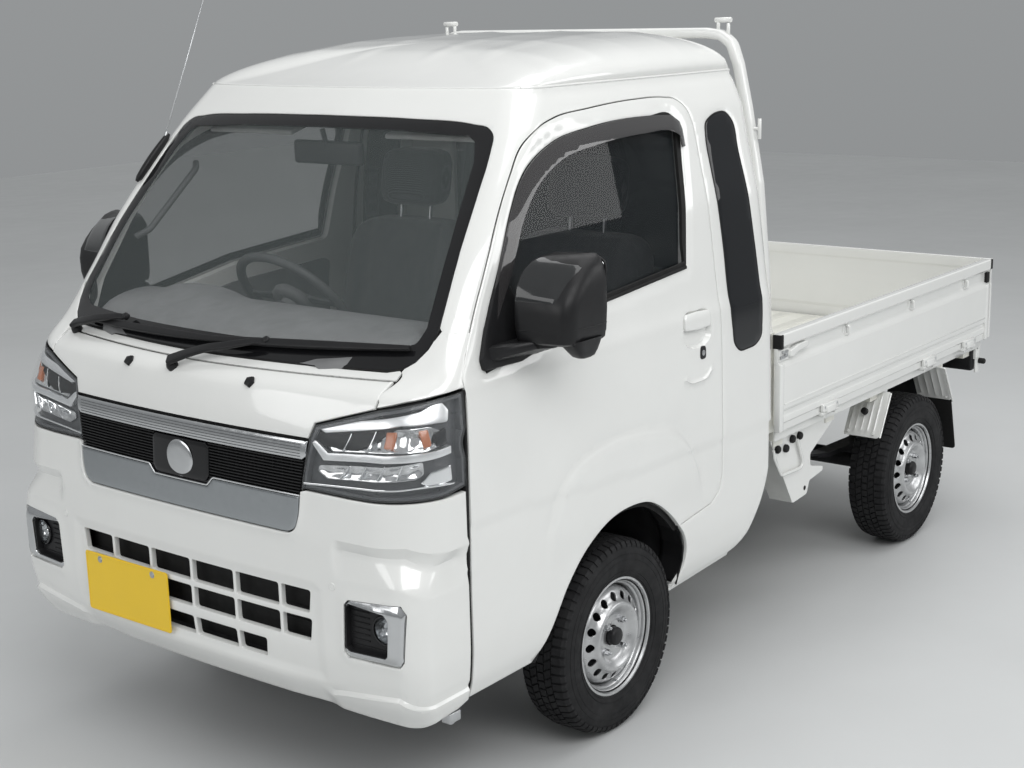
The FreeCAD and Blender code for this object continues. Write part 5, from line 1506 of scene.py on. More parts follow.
def build_bumper():
    x_end = 1466.5
    top_l = [(0, 740)] + spline([(342, 740), (370, 742.5), (390, 755), (400, 782), (405, 836)], 8.0) + [(406, 846), (418, 849), (552, 847), (640, 848)]
    pts = top_l + [("x", 1537, 848), ("x", 1500, 849), ("x", x_end, 849)] + [("x", x_end, zz) for zz in range(820, 330, -40)] + [("x", x_end, 330), ("x", 1500, 318), (690, 303), (560, 303), (420, 308), (0, 308)]
    o = front_outline_xz(pts, 9)
    keep = [o[0]]
    for q in o[1:]:
        if np.linalg.norm(q - keep[-1]) > 3.0 and not (q[0] < 0.5 and q[1] > 310 and q[1] < 738):
            keep.append(q)
    o = np.array(keep)
    full = np.vstack([o, [q for q in (o[::-1] * (-1, 1)) if abs(q[0]) > 1]])
    holes = []
    for y0, y1, z0, z1 in ((-424, 424, 549, 606), (-424, 424, 479, 534), (-270, 270, 403, 452)):
        k = (z1 - z0) * 0.18
        bars = [b for b in (-297, -145, 12, 169, 324) if y0 < b < y1]
        xs = [y0] + sum([[b - 4.6, b + 4.6] for b in bars], []) + [y1]
        for i in range(0, len(xs), 2):
            a, b = xs[i], xs[i + 1]
            la = 14 if i == 0 else 0
            lb = 14 if i == len(xs) - 2 else 0
            q = round_poly([(a + la * 0.5, z0), (b - lb * 0.5, z0), (b, z1), (a, z1)], 7, 3)
            holes.append(front_outline(q, 8))
    for sgn in (1, -1):
        q = np.array(round_poly(FOGP, 10, 3)) * (sgn, 1)
        holes.append(front_outline(q, 8))
    ln = []
    s_end = float(sg_of_x(np.array([1468.0]), np.array([600.0]))[0])
    for s0, zz, kind in [(496, k, 0) for k in (646, 651, 656, 661, 707, 712, 717, 722, 727, 743, 748, 752, 756)] + [(436, k, 1) for k in (-4, 0, 5, 14)]:
        row = []
        for sv in np.arange(s0, s_end, 6.0):
            z = float(zz)
            for _ in range(3):
                yy = abs(float(surf(np.array(sv), np.array(z if kind == 0 else z + 370))[1]))
                if kind == 0:
                    z = zz - float(np.interp(yy, [520, 690, 737], [0, 0, 26]))
            if kind == 1:
                z = float(np.interp(yy, [440, 520, 676, 740], [352, 366, 385, 352])) + zz
            row.append((sv, z))
        ln += [np.array(row), np.array(row) * (-1, 1)]
    for yy in (500, 505, 510, 515, 520):
        row = front_outline([(yy, z) for z in range(640, 764, 6)] , 6)[:20]
        ln += [row, row * (-1, 1)]
    ge = front_outline(spline(GRILLE_EDGE, 6.0), 6)
    v, f = panel(surf, full, holes, grid=11.0, thick=15.0, disp=bumper_relief, edge=2.6, lines=ln)
    ob = make("bumper_skin", v, f, M_PAINT, "truck", "body_paint", angle=24)
    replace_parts(ob, "front_bumper")
    # painted shade: a black sheet with bars behind the openings, standing in for the dark space there
    v, f = panel(surf, front_outline([(-436, 396), (436, 396), (436, 616), (-436, 616)], 22), [], grid=26.0, thick=3.0, disp=lambda s, z: 0 * s - 42.0, edge=0.0)
    bk = Bag().add(v, f)
    for z in (508, 468, 542):
        bk.add(*rbox(1610, 1646, -430, 430, z - 2, z + 2, 1, 1))
    bk.make("bumper_opening_shade_backing", M_SHADE_BLACK, "truck", "dark_plastic")
    # bumper end brackets with their bolts
    th = Bag().add(*rbox(1490, 1532, 690, 718, 286, 312, 3, 3))
    th.add(*disc_along((1512, 704, 287), (0, 0, -1), [(0.01, 0), (9, 0), (9, 6), (6, 8), (0.01, 8)], 6))
    th.both().make("bumper_end_brackets", M_STEEL, "truck", "bare_metal", angle=60)
    # parking sensors beside the fog lamps
    ps = Bag()
    q0, n0 = on_front(497, 632, 0.0)
    ps.add(*disc_along(q0, n0, [(0.01, 0), (9.5, 0), (9.5, 0.8), (8.2, 1.4), (7.6, 0.8), (0.01, 0.9)], 28))
    ps.both().make("parking_sensors", M_PAINT, "truck", "body_paint")
    # blank plate carrier, two bolts
    pl = round_poly([(-403, 388), (-73, 388), (-73, 552), (-403, 552)], 9, 4)
    v, f = prism([tuple(q) for q in pl], 1692.6, 1695.0, "yz", 0.5, 1)
    b = Bag().add(v, f)
    rim = [np.array((1695.0, q[0], q[1])) for q in resample(inset_poly(resample(pl, 6), 4.5), 8)]
    b.add(*sweep(rim, rrect(2.6, 2.0, 0.8), closed=True, ups=[(1, 0, 0)] * len(rim)))
    ob = b.make("front_plate", M_PLATE, "truck", "plate_yellow")
    bolts = Bag()
    for y in (-343, -133):
        bolts.add(*disc_along((1694.6, y, 536), (1, 0, 0), [(0.01, 0), (8, 0), (8, 0.8), (6.6, 1.0), (6.6, 2.4), (5.6, 2.8), (0.01, 2.8)], 6))
        bolts.add(*disc_along((1694.2, y, 536), (1, 0, 0), [(0.01, 0), (9.2, 0), (9.2, 1.0), (0.01, 1.0)], 24))
    bolts.make("front_plate_bolts", M_STEEL, "truck", "bare_metal")
    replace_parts(ob, "number_plates")
    v, f = prism([tuple(q) for q in round_poly([(-165, 440), (165, 440), (165, 605), (-165, 605)], 9, 4)], -1670, -1667, "yz", 0.5, 1)
    b = Bag().add(v, f)
    rim = [np.array((-1670.0, q[0], q[1])) for q in resample(inset_poly(resample(round_poly([(-165, 440), (165, 440), (165, 605), (-165, 605)], 9, 4), 6), 4.5), 8)]
    b.add(*sweep(rim, rrect(2.6, 2.0, 0.8), closed=True, ups=[(1, 0, 0)] * len(rim)))
    b.make("rear_plate", M_PLATE, "truck", "plate_yellow")
    b = Bag()
    for y in (-95, 95):
        b.add(*rbox(-1667, -1640, y - 15, y + 15, 478, 502, 2, 1))
        b.add(*disc_along((-1670.2, y * 1.1, 588), (-1, 0, 0), [(0.01, 0), (7, 0), (7, 2), (5.6, 2.8), (0.01, 2.8)], 6))
    b.make("rear_plate_brackets", M_BLACKPAINT, "truck", "chassis_paint")


FOG_REC = [(531, 487), (544, 481), (646, 484), (656, 493), (662, 578), (650, 592), (544, 598), (534, 589)]


def build_fog():
    hole = front_outline([(640 + 36 * math.cos(a), 547 + 36 * math.sin(a)) for a in np.linspace(0, 2 * math.pi, 33)[:-1]], 7)
    o = front_outline(inset_poly(resample(round_poly(FOGP, 10, 3), 7), 1.2), 7)
    rec = front_outline(resample(round_poly(FOG_REC, 7, 3), 6), 6)
    # bright faceted frame: narrow on top and inside, wide at the outer side and the foot
    def facet(s, z):
        d = seg_dist(s, z, o, True)
        return -1.0 + 7.0 * smooth(0, 22, d)
    v, f = panel(surf, o, [inset_poly(rec, -1.0)], grid=8.0, thick=16.0, disp=facet, edge=2.0)
    Bag().add(v, f).both().make("fog_bright_frames", M_BRIGHT, "truck", "grille_chrome", angle=40)
    # black tub behind it
    v, f = panel(surf, inset_poly(rec, -6.0), [hole], grid=9.0, thick=4.0, disp=lambda s, z: 0 * s - 17.0, edge=1.0)
    ob = Bag().add(v, f).both().make("fog_tubs", M_PLASTIC, "truck", "dark_plastic")
    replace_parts(ob, "fog_lamps")
    v, f = panel(surf, inset_poly(rec, -5.0), [inset_poly(rec, 1.4)], grid=7.0, thick=20.0, disp=lambda s, z: 0 * s - 1.0, edge=0.8)
    Bag().add(v, f).both().make("fog_bezels", M_PLASTIC, "truck", "dark_plastic")
    # lamp: bright reflector, lens, ring
    x = x_at(640, 547)
    d = np.array((0.985, 0.12, 0.0))
    c = np.array((x - 16.0, 640, 547))
    b = Bag().add(*disc_along(c - d * 30, d, [(0.01, 0), (14, 0.5), (26, 8), (31, 20), (33, 28), (34.5, 28), (34.5, -1), (0.01, -2)], 40))
    b.both().make("fog_reflectors", M_REFL2, "truck", "lamp_lens", angle=60)
    b = Bag().add(*disc_along(c, d, [(0.01, 8), (18, 7.4), (28, 4.6), (33.5, 1), (33.5, -2), (28, 2), (18, 4.8), (0.01, 5.4)], 40))
    b.both().make("fog_lenses", M_LENS, "truck", "lamp_lens", angle=60)
    b = Bag().add(*disc_along(c, d, [(33, 4.4), (36.5, 4.6), (38.5, 2), (38.5, -22), (33, -22)], 40))
    b.both().make("fog_rings", M_GLOSS, "truck", "dark_plastic", angle=50)
    b = Bag().add(*disc_along(c - d * 26, d, [(0.01, 0), (7, 0), (7, 14), (4, 18), (0.01, 18.5)], 20))
    b.both().make("fog_bulbs", M_CHROME, "truck", "lamp_lens", angle=60)
    # ribs of the tub
    r = Bag()
    for z in range(482, 612, 14):
        for y0, y1 in ((541, 592),) if 500 < z < 595 else ((541, 640),):
            pts = np.array([(yy, z) for yy in np.linspace(y0, y1, 10)])
            s = sg_of_y(pts[:, 0], pts[:, 1])
            p = surf(s, pts[:, 1])
            n = normals_of(surf, s, pts[:, 1])
            r.add(*sweep(p - n * 16.0, rrect(2.4, 4, 1.0, 1), ups=n))
    r.both().make("fog_tub_ribs", M_PLASTIC, "truck", "dark_plastic")


def on_front(y, z, up=0.0):
    s = sg_of_y(np.array([y]), np.array([float(z)]))
    p = surf(s, np.array([float(z)]))[0]
    n = normals_of(surf, s, np.array([float(z)]))[0]
    return p + n * up, n


def build_wipers():
    b, k = Bag(), Bag()
    for pv, kn, t0, t1 in (((-547, 1108), (-334, 1156), (-517, 1134), (100, 1144)), ((-52, 1085), (207, 1154), (-40, 1140), (600, 1168))):
        p0, n0 = on_front(pv[0], pv[1], -3)
        # pivot cap
        b.add(*disc_along(p0, n0, [(0.01, 0), (15, 0), (15, 10), (12, 16), (0.01, 17)], 24))
        # arm: from the pivot up to the knee over the glass
        path, ups, sc = [], [], []
        for t in np.linspace(0, 1, 18):
            y = pv[0] + (kn[0] - pv[0]) * t
            z = pv[1] + (kn[1] - pv[1]) * t
            lift = 14 + 10 * math.sin(math.pi * min(1.0, t * 1.05)) + (8 if t < 0.9 else 4)
            p, n = on_front(y, z, lift)
            path.append(p)
            ups.append(n)
            sc.append(1.25 - 0.6 * t)
        b.add(*sweep(path, rrect(23, 12, 4, 3), ups=np.array(ups), scales=sc))
        # blade bow and rubber
        bl, up2, sc2 = [], [], []
        rb = []
        for t in np.linspace(0, 1, 40):
            y = t0[0] + (t1[0] - t0[0]) * t
            z = t0[1] + (t1[1] - t0[1]) * t
            p, n = on_front(y, z, 15.0)
            bl.append(p)
            up2.append(n)
            sc2.append(0.55 + 0.45 * math.sin(math.pi * t))
            q, _ = on_front(y, z, 4.5)
            rb.append(q)
        b.add(*sweep(bl, rrect(21, 13, 4, 3), ups=np.array(up2), scales=sc2))
        k.add(*sweep(rb, [(-3.5, 5), (-3.5, 3), (-1, 0.5), (-0.8, -3.4), (0.8, -3.4), (1, 0.5), (3.5, 3), (3.5, 5)], ups=np.array(up2)))
        # yokes
        for t in (0.12, 0.3, 0.5, 0.7, 0.88):
            y = t0[0] + (t1[0] - t0[0]) * t
            z = t0[1] + (t1[1] - t0[1]) * t
            p, n = on_front(y, z, 11.0)
            b.add(*disc_along(p - np.array((0, 6, 0)), (0, 1, 0.02), [(0.01, 0), (5, 0), (5, 12), (0.01, 12)], 8))
        p, n = on_front(kn[0], kn[1], 18)
        b.add(*disc_along(p - n * 6, n, [(0.01, 0), (9, 0), (9, 11), (7, 13), (0.01, 13)], 18))
    ob = b.make("wiper_arms", M_PLASTIC, "truck", "dark_plastic", angle=50)
    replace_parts(ob, "wipers")
    k.make("wiper_blades", M_RUBBER, "truck", "dark_plastic")


def build_antenna():
    path, ups, sc = [], [], []
    for t in np.linspace(0, 1, 14):
        y, z = -622 + 22 * t, 1470 + 124 * t
        p, n = on_front(y, z, 9)
        path.append(p)
        ups.append(n)
        sc.append((0.55 + 0.45 * math.sin(math.pi * min(max(t, 0.0), 1.0)) ** 0.5) if 0 < t < 1 else 0.4)
    b = Bag().add(*sweep(path, rrect(20, 22, 8, 4), ups=np.array(ups), scales=sc))
    ob = b.make("antenna_base", M_PLASTIC, "truck", "dark_plastic", angle=60)
    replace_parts(ob, "antenna")
    a0, _ = on_front(-600, 1590, 16)
    top = np.array((943.0, -602.0, 2040.0))
    r = Bag().add(*rod(a0 - (top - a0) * 0.03, top, 2.0, 10, 0.6))
    r.add(*disc_along(top - (top - a0) / np.linalg.norm(top - a0) * 6, top - a0, [(0.01, 0), (2.5, 0.5), (3.6, 3), (3.6, 6), (2.2, 7.6), (0.01, 8)], 14))
    r.add(*disc_along(a0 - (top - a0) / np.linalg.norm(top - a0) * 8, top - a0, [(0.01, 0), (5, 0), (5, 10), (3.4, 16), (0.01, 16)], 16))
    r.make("antenna_rod", M_STEEL, "truck", "bare_metal", angle=60)


def plan_ring(xr, xf_in, xf_out, y0, y1, n=40, rr=16.0):
    """Rounded plan outline of the mirror housing at one height."""
    pts = [(xr, y0), (xf_in, y0), (xf_out, y1 - 18), (xf_out - 26, y1 - 6), (xr, y1)]
    p = round_poly(pts, [rr * 0.5, rr, rr * 1.6, rr, rr * 0.5], 5)
    L = np.concatenate([[0], np.cumsum(np.linalg.norm(np.diff(np.vstack([p, p[:1]]), axis=0), axis=1))])
    q = np.vstack([p, p[:1]])
    u = np.linspace(0, L[-1], n + 1)[:-1]
    return np.stack([np.interp(u, L, q[:, 0]), np.interp(u, L, q[:, 1])], 1)


def build_mirrors():
    n = 56
    lv = [(1164, 1138, 1268, 1250, 758, 884), (1166, 1130, 1280, 1262, 750, 892), (1172, 1127, 1285, 1270, 746, 898), (1200, 1126, 1289, 1275, 744, 902),
          (1240, 1125, 1291, 1275, 744, 903.5), (1268, 1125, 1290, 1268, 744, 904), (1296, 1125, 1284, 1246, 745, 904), (1320, 1125, 1273, 1222, 747, 902),
          (1340, 1126, 1258, 1198, 750, 898), (1354, 1128, 1238, 1180, 756, 890), (1363, 1132, 1214, 1166, 766, 878), (1368, 1142, 1190, 1160, 782, 862)]
    v = []
    for z, xr, xi, xo, y0, y1 in lv:
        for x, y in plan_ring(xr, xi, xo, y0, y1, n):
            zz = z + (5.0 * smooth(760, 900, y) if z > 1350 else 0) - (3.0 if z > 1366 else 0)
            v.append((x, y, zz))
    f = grid_faces(len(lv), n, False, True)
    f.append(list(range(n))[::-1])
    f.append([(len(lv) - 1) * n + i for i in range(n)])
    b = Bag().add(v, f)
    # lobe with the small kerb mirror below the outer end
    lb = []
    rings = [(1176, 1136, 1246, 836, 900), (1160, 1140, 1238, 842, 897), (1144, 1146, 1224, 848, 893), (1132, 1152, 1212, 852, 889), (1127, 1160, 1200, 858, 882)]
    for z, xa, xb, ya, yb in rings:
        for x, y in resample_n(round_poly([(xa, ya), (xb, ya), (xb, yb), (xa, yb)], 16, 5), 32):
            lb.append((x, y, z))
    f = grid_faces(5, 32, False, True)
    f.append([4 * 32 + i for i in range(32)])
    b.add(lb, f)
    # base on the window corner and the arm
    tri = round_poly([(1374, 1113), (1380, 1140), (1350, 1206), (1296, 1290), (1261, 1332), (1206, 1225), (1154, 1124), (1234, 1109)], [8, 14, 40, 40, 10, 60, 10, 20], 4)
    bv, bf = panel(surf, side_outline(tri, 9), [], grid=12.0, thick=14.0, disp=lambda s, z: 9.0 - 0.04 * np.clip(z - 1200, 0, 200), edge=3.5)
    base = Bag().add(bv, bf)
    av = []
    for t, (xa, xb, z0, z1) in zip((712, 724, 745, 772, 798), ((1158, 1358, 1112, 1166), (1160, 1352, 1116, 1168), (1166, 1334, 1124, 1170), (1172, 1306, 1134, 1172), (1180, 1278, 1142, 1173))):
        for x, z in resample_n(round_poly([(xa, z0), (xb, z0 + 14), (xb, z1), (xa, z1)], 11, 4), 32):
            av.append((x, t, z))
    f = grid_faces(5, 32, False, True)
    f.append(list(range(32)))
    f.append([4 * 32 + i for i in range(32)])
    base.add(av, f)
    # gloss facet: the upper front of the housing, a shade proud
    fac = []
    rows = [(1266, 0.0), (1268, 1.3), (1282, 1.6), (1296, 1.6), (1320, 1.6), (1340, 1.6), (1354, 1.4), (1361, 0.2)]
    for z, o in rows:
        z_s = [l[0] for l in lv]
        xi, xo = np.interp(z, z_s, [l[2] for l in lv]), np.interp(z, z_s, [l[3] for l in lv])
        y0, y1 = np.interp(z, z_s, [l[4] for l in lv]), np.interp(z, z_s, [l[5] for l in lv])
        ye = np.interp(z, [1266, 1361], [858, 884])
        for k, t in enumerate(np.linspace(0, 1, 14)):
            y = y0 + 9 + (min(ye, y1 - 14) - y0 - 9) * t
            x = xi + (xo - xi) * (y - y0) / (y1 - 18 - y0)
            oo = o if 0 < k < 13 else -0.5
            fac.append((x + oo - 1.0 + 1.2, y, z + oo * 0.4))
    facet = Bag().add(fac, grid_faces(len(rows), 14))
    # seam line above the lower band
    seam = []
    for x, y in plan_ring(1126, 1288, 1273, 744, 902, 60):
        seam.append((x, y, 1196 + 0.06 * (y - 744)))
    band = Bag().add(*sweep(seam, circle(1.6, 6), closed=True, ups=[(0, 0, 1)] * len(seam)))
    # reflecting glass on the rear, in a rim
    gl = round_poly([(758, 1178), (890, 1178), (893, 1345), (870, 1358), (775, 1352), (756, 1330)], 14, 4)
    gv, gf = prism([tuple(q) for q in gl], 1122.5, 1125.5, "yz", 0.8, 1)
    glass = Bag().add(gv, gf)
    rim = [np.array((1124.0, q[0], q[1])) for q in resample(inset_poly(resample(gl, 8), -3.0), 9)]
    band.add(*sweep(rim, circle(3.0, 8), closed=True, ups=[(1, 0, 0)] * len(rim)))
    for side, m in (("left", lambda q: q), ("right", lambda q: q.mirrored())):
        body = "door_" + side
        ob = m(b).make("mirror_%s_housing" % side, M_PLASTIC, body, "dark_plastic", angle=38)
        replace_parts(ob, "mirror_" + side)
        m(base).make("mirror_%s_base" % side, M_PLASTIC, body, "dark_plastic", angle=45)
        m(facet).make("mirror_%s_facet" % side, M_GLOSSY2, body, "dark_plastic", angle=60)
        m(band).make("mirror_%s_rims" % side, M_PLASTIC, body, "dark_plastic", angle=60)
        m(glass).make("mirror_%s_glass" % side, M_CHROME, body, "grille_chrome")


def resample_n(p, n):
    q = np.vstack([p, p[:1]])
    L = np.concatenate([[0], np.cumsum(np.linalg.norm(np.diff(q, axis=0), axis=1))])
    u = np.linspace(0, L[-1], n + 1)[:-1]
    return np.stack([np.interp(u, L, q[:, 0]), np.interp(u, L, q[:, 1])], 1)


M_GLOSSY2 = plastic("mirror_cap_gloss", (0.018, 0.019, 0.02), rough=0.12, grain=120, strength=0.01, coat=0.8)


# =============================================================================================
# bed, gates and guard
# =============================================================================================
GATE_PROF = [(708.5, 948), (711, 949), (734, 949), (737.5, 945), (737.5, 914), (733, 908), (723, 905.5), (721.5, 903), (721.5, 872), (724, 864), (732, 852), (734.8, 844),
             (734.8, 714), (732, 707), (727.5, 704), (727.5, 691), (731.5, 687), (731.5, 670), (727.5, 665), (727.5, 642), (718.5, 642), (718.5, 700), (714, 712), (714, 846), (712.5, 872), (712.5, 905), (708.5, 912)]


def gate_bags(x0, x1, hooks, hinges, latch_front=True):
    body, black, steel = Bag(), Bag(), Bag()
    body.add(*prism([tuple(p) for p in round_poly(GATE_PROF, 2.2, 2)], x0 + 2, x1 - 2, "yz", 0.0))
    # end flanges with their rounded outer corner
    for a, b in ((x0 + 1, x0 + 26), (x1 - 26, x1 - 1)):
        body.add(*rbox(a, b, 714, 736, 643, 856, 3.5, 3))
        body.add(*rbox(a, b, 711, 726, 850, 906, 2.5, 2))
    # horizontal bead along the panel's lower third
    for z in (728,):
        body.add(*rbox(x0 + 30, x1 - 30, 733.6, 736.4, z - 2.5, z + 2.5, 1.3, 2))
    for x in hooks:
        pth = bend_path([(x, 719, 899), (x, 735, 899), (x, 735, 872), (x, 719, 869)], 8, 4)
        body.add(*sweep(pth, circle(4.6, 10), ups=[(1, 0, 0)] * len(pth)))
        body.add(*rbox(x - 19, x - 6, 719.5, 724, 874, 900, 1.5, 2))
        body.add(*rbox(x + 6, x + 19, 719.5, 724, 874, 900, 1.5, 2))
    for h in hinges:
        body.add(*rbox(h - 54, h + 54, 729, 741, 648, 673, 3.0, 2))
        body.add(*rbox(h - 30, h + 30, 731, 743.5, 640, 664, 3.5, 3))
        for q0, q1 in ((-56, -34), (-28, -3), (3, 28), (34, 56)):
            body.add(*rod((h + q0, 731.5, 641), (h + q1, 731.5, 641), 7.2, 16))
        for dx in (-18, 18):
            steel.add(*disc_along((h + dx * 2.3, 740.4, 662), (0, 1, 0), [(0.01, 0), (5.2, 0), (5.2, 0.6), (4, 0.9), (0.01, 0.9)], 6))
    return body, black, steel


def build_gates():
    x0, x1 = -1666.0, -26.5
    body, black, steel = gate_bags(x0, x1, (-484, -980, -1450), (-358, -1128, -1487))
    # front latch: painted lever, black rubber block on the rail's end, pivot and keeper
    lever = round_poly([(-82, 874), (-88, 892), (-140, 902), (-196, 903), (-208, 895), (-198, 885), (-140, 880), (-104, 868)], [4, 6, 12, 10, 5, 5, 10, 10], 4)
    body.add(*prism([tuple(p) for p in lever], 723, 738.5, "xz", 3.0, 3))
    body.add(*rbox(-92, -30, 722, 731, 864, 900, 2.5, 2))
    black.add(*rbox(-42, -27, 707, 738.5, 903, 948, 3, 3))
    steel.add(*rbox(-58, -30, 730, 736, 872, 882, 2, 2))
    steel.add(*rbox(-74, -40, 731, 738, 888, 896, 2.4, 2))
    steel.add(*disc_along((-66, 726, 882), (0, 1, 0), [(0.01, 0), (8, 0), (8, 9), (6, 11), (0.01, 11)], 20))
    steel.add(*rod((-36, 728, 866), (-36, 728, 906), 3.4, 12))
    steel.add(*rod((-36, 727, 884), (-74, 727, 884), 3.0, 12))
    black.add(*rbox(-1664, -1640, 720, 735, 862, 902, 3, 3))
    steel.add(*rod((-1652, 728, 864), (-1652, 728, 904), 3.4, 12))
    for side, m in (("left", lambda q: q), ("right", lambda q: q.mirrored())):
        b = "side_gate_" + side
        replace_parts(m(body).make("gate_%s_panel" % side, M_PAINT, b, "body_paint", angle=32), b)
        m(black).make("gate_%s_rubbers" % side, M_RUBBER, b, "dark_plastic")
        m(steel).make("gate_%s_hardware" % side, M_STEEL, b, "bare_metal")
    # tailgate with the same section
    tb, tk, ts = gate_bags(-733.5, 733.5, (-500, 0, 500), (-520, 0, 520))

    def turn(p):
        return np.array((-1697.5 + (737.5 - p[1]) * 0.72, p[0], p[2]))
    for s in (-1, 1):
        lev = round_poly([(s * 640, 872), (s * 640, 894), (s * 700, 898), (s * 722, 892), (s * 722, 874), (s * 700, 868)], 5, 3)
        tb.add(*prism([tuple(p) for p in lev], 724, 735.5, "xz", 2.0, 2))
        tk.add(*rbox(min(s * 716, s * 733), max(s * 716, s * 733), 707, 737.4, 908, 947, 3, 3))
        ts.add(*disc_along((s * 708, 734, 884), (0, 1, 0), [(0.01, 0), (8, 0), (8, 2), (6, 3.4), (0.01, 3.4)], 20))
    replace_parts(tb.moved(turn).make("tailgate_panel", M_PAINT, "tailgate", "body_paint", angle=32), "tailgate")
    tk.moved(turn).make("tailgate_rubbers", M_RUBBER, "tailgate", "dark_plastic")
    ts.moved(turn).make("tailgate_hardware", M_STEEL, "tailgate", "bare_metal")
    # pins and brackets on the bed
    hb = Bag()
    for s in (1, -1):
        for h in (-358, -1128, -1487):
            y = 731.5 * s
            hb.add(*rod((h - 42, y, 641), (h + 42, y, 641), 3, 12))
            for e in (-42, 36):
                hb.add(*rbox(h + e, h + e + 6, min(s * 700, s * 736), max(s * 700, s * 736), 629, 646, 1.6, 2))
            hb.add(*rbox(h - 44, h + 44, min(s * 699, s * 703), max(s * 699, s * 703), 610, 646, 1.2, 2))
    for h in (-520, 0, 520):
        hb.add(*rod((-1691.5, h - 42, 641), (-1691.5, h + 42, 641), 3, 12))
        for e in (-42, 36):
            hb.add(*rbox(-1696.5, -1667, h + e, h + e + 6, 629, 646, 1.6, 2))
    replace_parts(hb.make("gate_hinge_brackets", M_PAINT, "truck", "body_paint"), "gate_hinges")


def build_bed():
    # floor beads, side rails with the stepped outer face, and the front wall's pressed panel
    b = Bag()
    for y in np.arange(-600, 601, 120.0):
        b.add(*rbox(-1640, -80, y - 26, y + 26, 658.6, 661.6, 1.4, 2))
    b.make("bed_floor_beads", M_BED, "truck", "body_paint", angle=25)
    r = Bag()
    for s in (1, -1):
        lo, hi = sorted((s * 690, s * 704))
        r.add(*rbox(-1664, -54, lo, hi, 604, 634, 2.5, 2))
        lo, hi = sorted((s * 694, s * 701.5))
        r.add(*rbox(-1664, -54, lo, hi, 632, 656, 2, 2))
    r.add(*rbox(-1668, -1655, -700, 700, 596, 654, 2.5, 2))
    r.make("bed_side_rails", M_PAINT, "truck", "body_paint")
    w = Bag()
    for y0, y1 in ((-630, -330), (-300, 300), (330, 630)):
        w.add(*rbox(-50.5, -45.5, y0, y1, 700, 890, 2.2, 3))
    w.make("bed_front_wall_panels", M_BED, "truck", "body_paint")
    # guard hoop as a rounded tube
    pts = [(678, 949), (668, 1150), (646, 1400), (606, 1620), (578, 1745)]
    full = pts + [(556, 1806), (520, 1832), (470, 1838)]
    path = bend_path([(-36, y, z) for y, z in full] + [(-36, -y, z) for y, z in full[::-1]], 46, 16)
    g = Bag().add(*sweep(path, rrect(31, 39, 12, 4), ups=[(1, 0, 0)] * len(path)))
    for z, y in ((1135, 650), (1495, 616)):
        p = np.array([(-36, yy, z) for yy in np.linspace(-y, y, 24)])
        g.add(*sweep(p, rrect(27, 29, 9, 4), ups=[(1, 0, 0)] * len(p)))
    for s in (1, -1):
        for yy, zt in ((508, 1874), (542, 1866)):
            g.add(*rod((-36, s * yy, 1838 if yy < 520 else 1826), (-36, s * yy, zt), 5.6, 14))
        g.add(*rod((-36, s * 498, 1875), (-36, s * 552, 1875), 7.6, 16))
        g.add(*rod((-36, s * 604, 1560), (-36, s * 654, 1560), 5, 14))
        g.add(*rod((-36, s * 650, 1530), (-36, s * 650, 1590), 5.6, 14))
        # feet on the front wall
        g.add(*rbox(-50, -22, min(s * 646, s * 696), max(s * 646, s * 696), 930, 958, 3, 2))
    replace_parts(g.make("cab_guard_hoop", M_PAINT, "truck", "body_paint", angle=45), "cab_guard")
    # bracket under the front of the bed
    plate = [(-72, 604), (-229, 356), (-324, 363), (-342, 404), (-435, 416), (-434, 431), (-346, 453), (-344, 494), (-492, 568), (-516, 604)]
    v, f = prism([tuple(p) for p in round_poly(plate, [2, 14, 14, 10, 8, 8, 12, 14, 18, 2], 4)], 672.5, 676.5, "xz", 0.8, 1)
    s1 = Bag().add(v, f)
    v, f = prism([(-74, 604), (-230, 357), (-236, 359), (-80, 604)], 592, 673, "xz", 1.0, 1)
    fl = Bag().add(v, f)
    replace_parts(s1.make("bracket_plate", M_PAINT, "truck", "body_paint"), "side_bracket")
    # the flap takes the darker copy of the white paint: painted shade under the bed
    fl.make("bracket_flap", M_UNDER_SHADE_AND_DIRT, "truck", "body_paint")
    rd = bend_path([(-84, 684, 566), (-92, 684, 536), (-137, 684, 472), (-288, 684, 466), (-240, 684, 566)], 24, 8)
    Bag().add(*sweep(rd, circle(5.2, 12), ups=[(0, 1, 0)] * len(rd))).make("bracket_rod", M_PAINT, "truck", "body_paint")
    k = Bag()
    for x, z in ((-118, 562), (-172, 553), (-214, 574), (-262, 574)):
        k.add(*disc_along((x, 675, z), (0, 1, 0), [(0.01, 0), (13, 0), (13, 9), (10, 13), (5, 14), (0.01, 14)], 24))
    k.add(*disc_along((-309, 676.4, 387), (0, 1, 0), [(0.01, 0), (8, 0), (8, 0.4), (0.01, 0.4)], 24))
    k.make("bracket_rubbers", M_RUBBER, "truck", "dark_plastic")


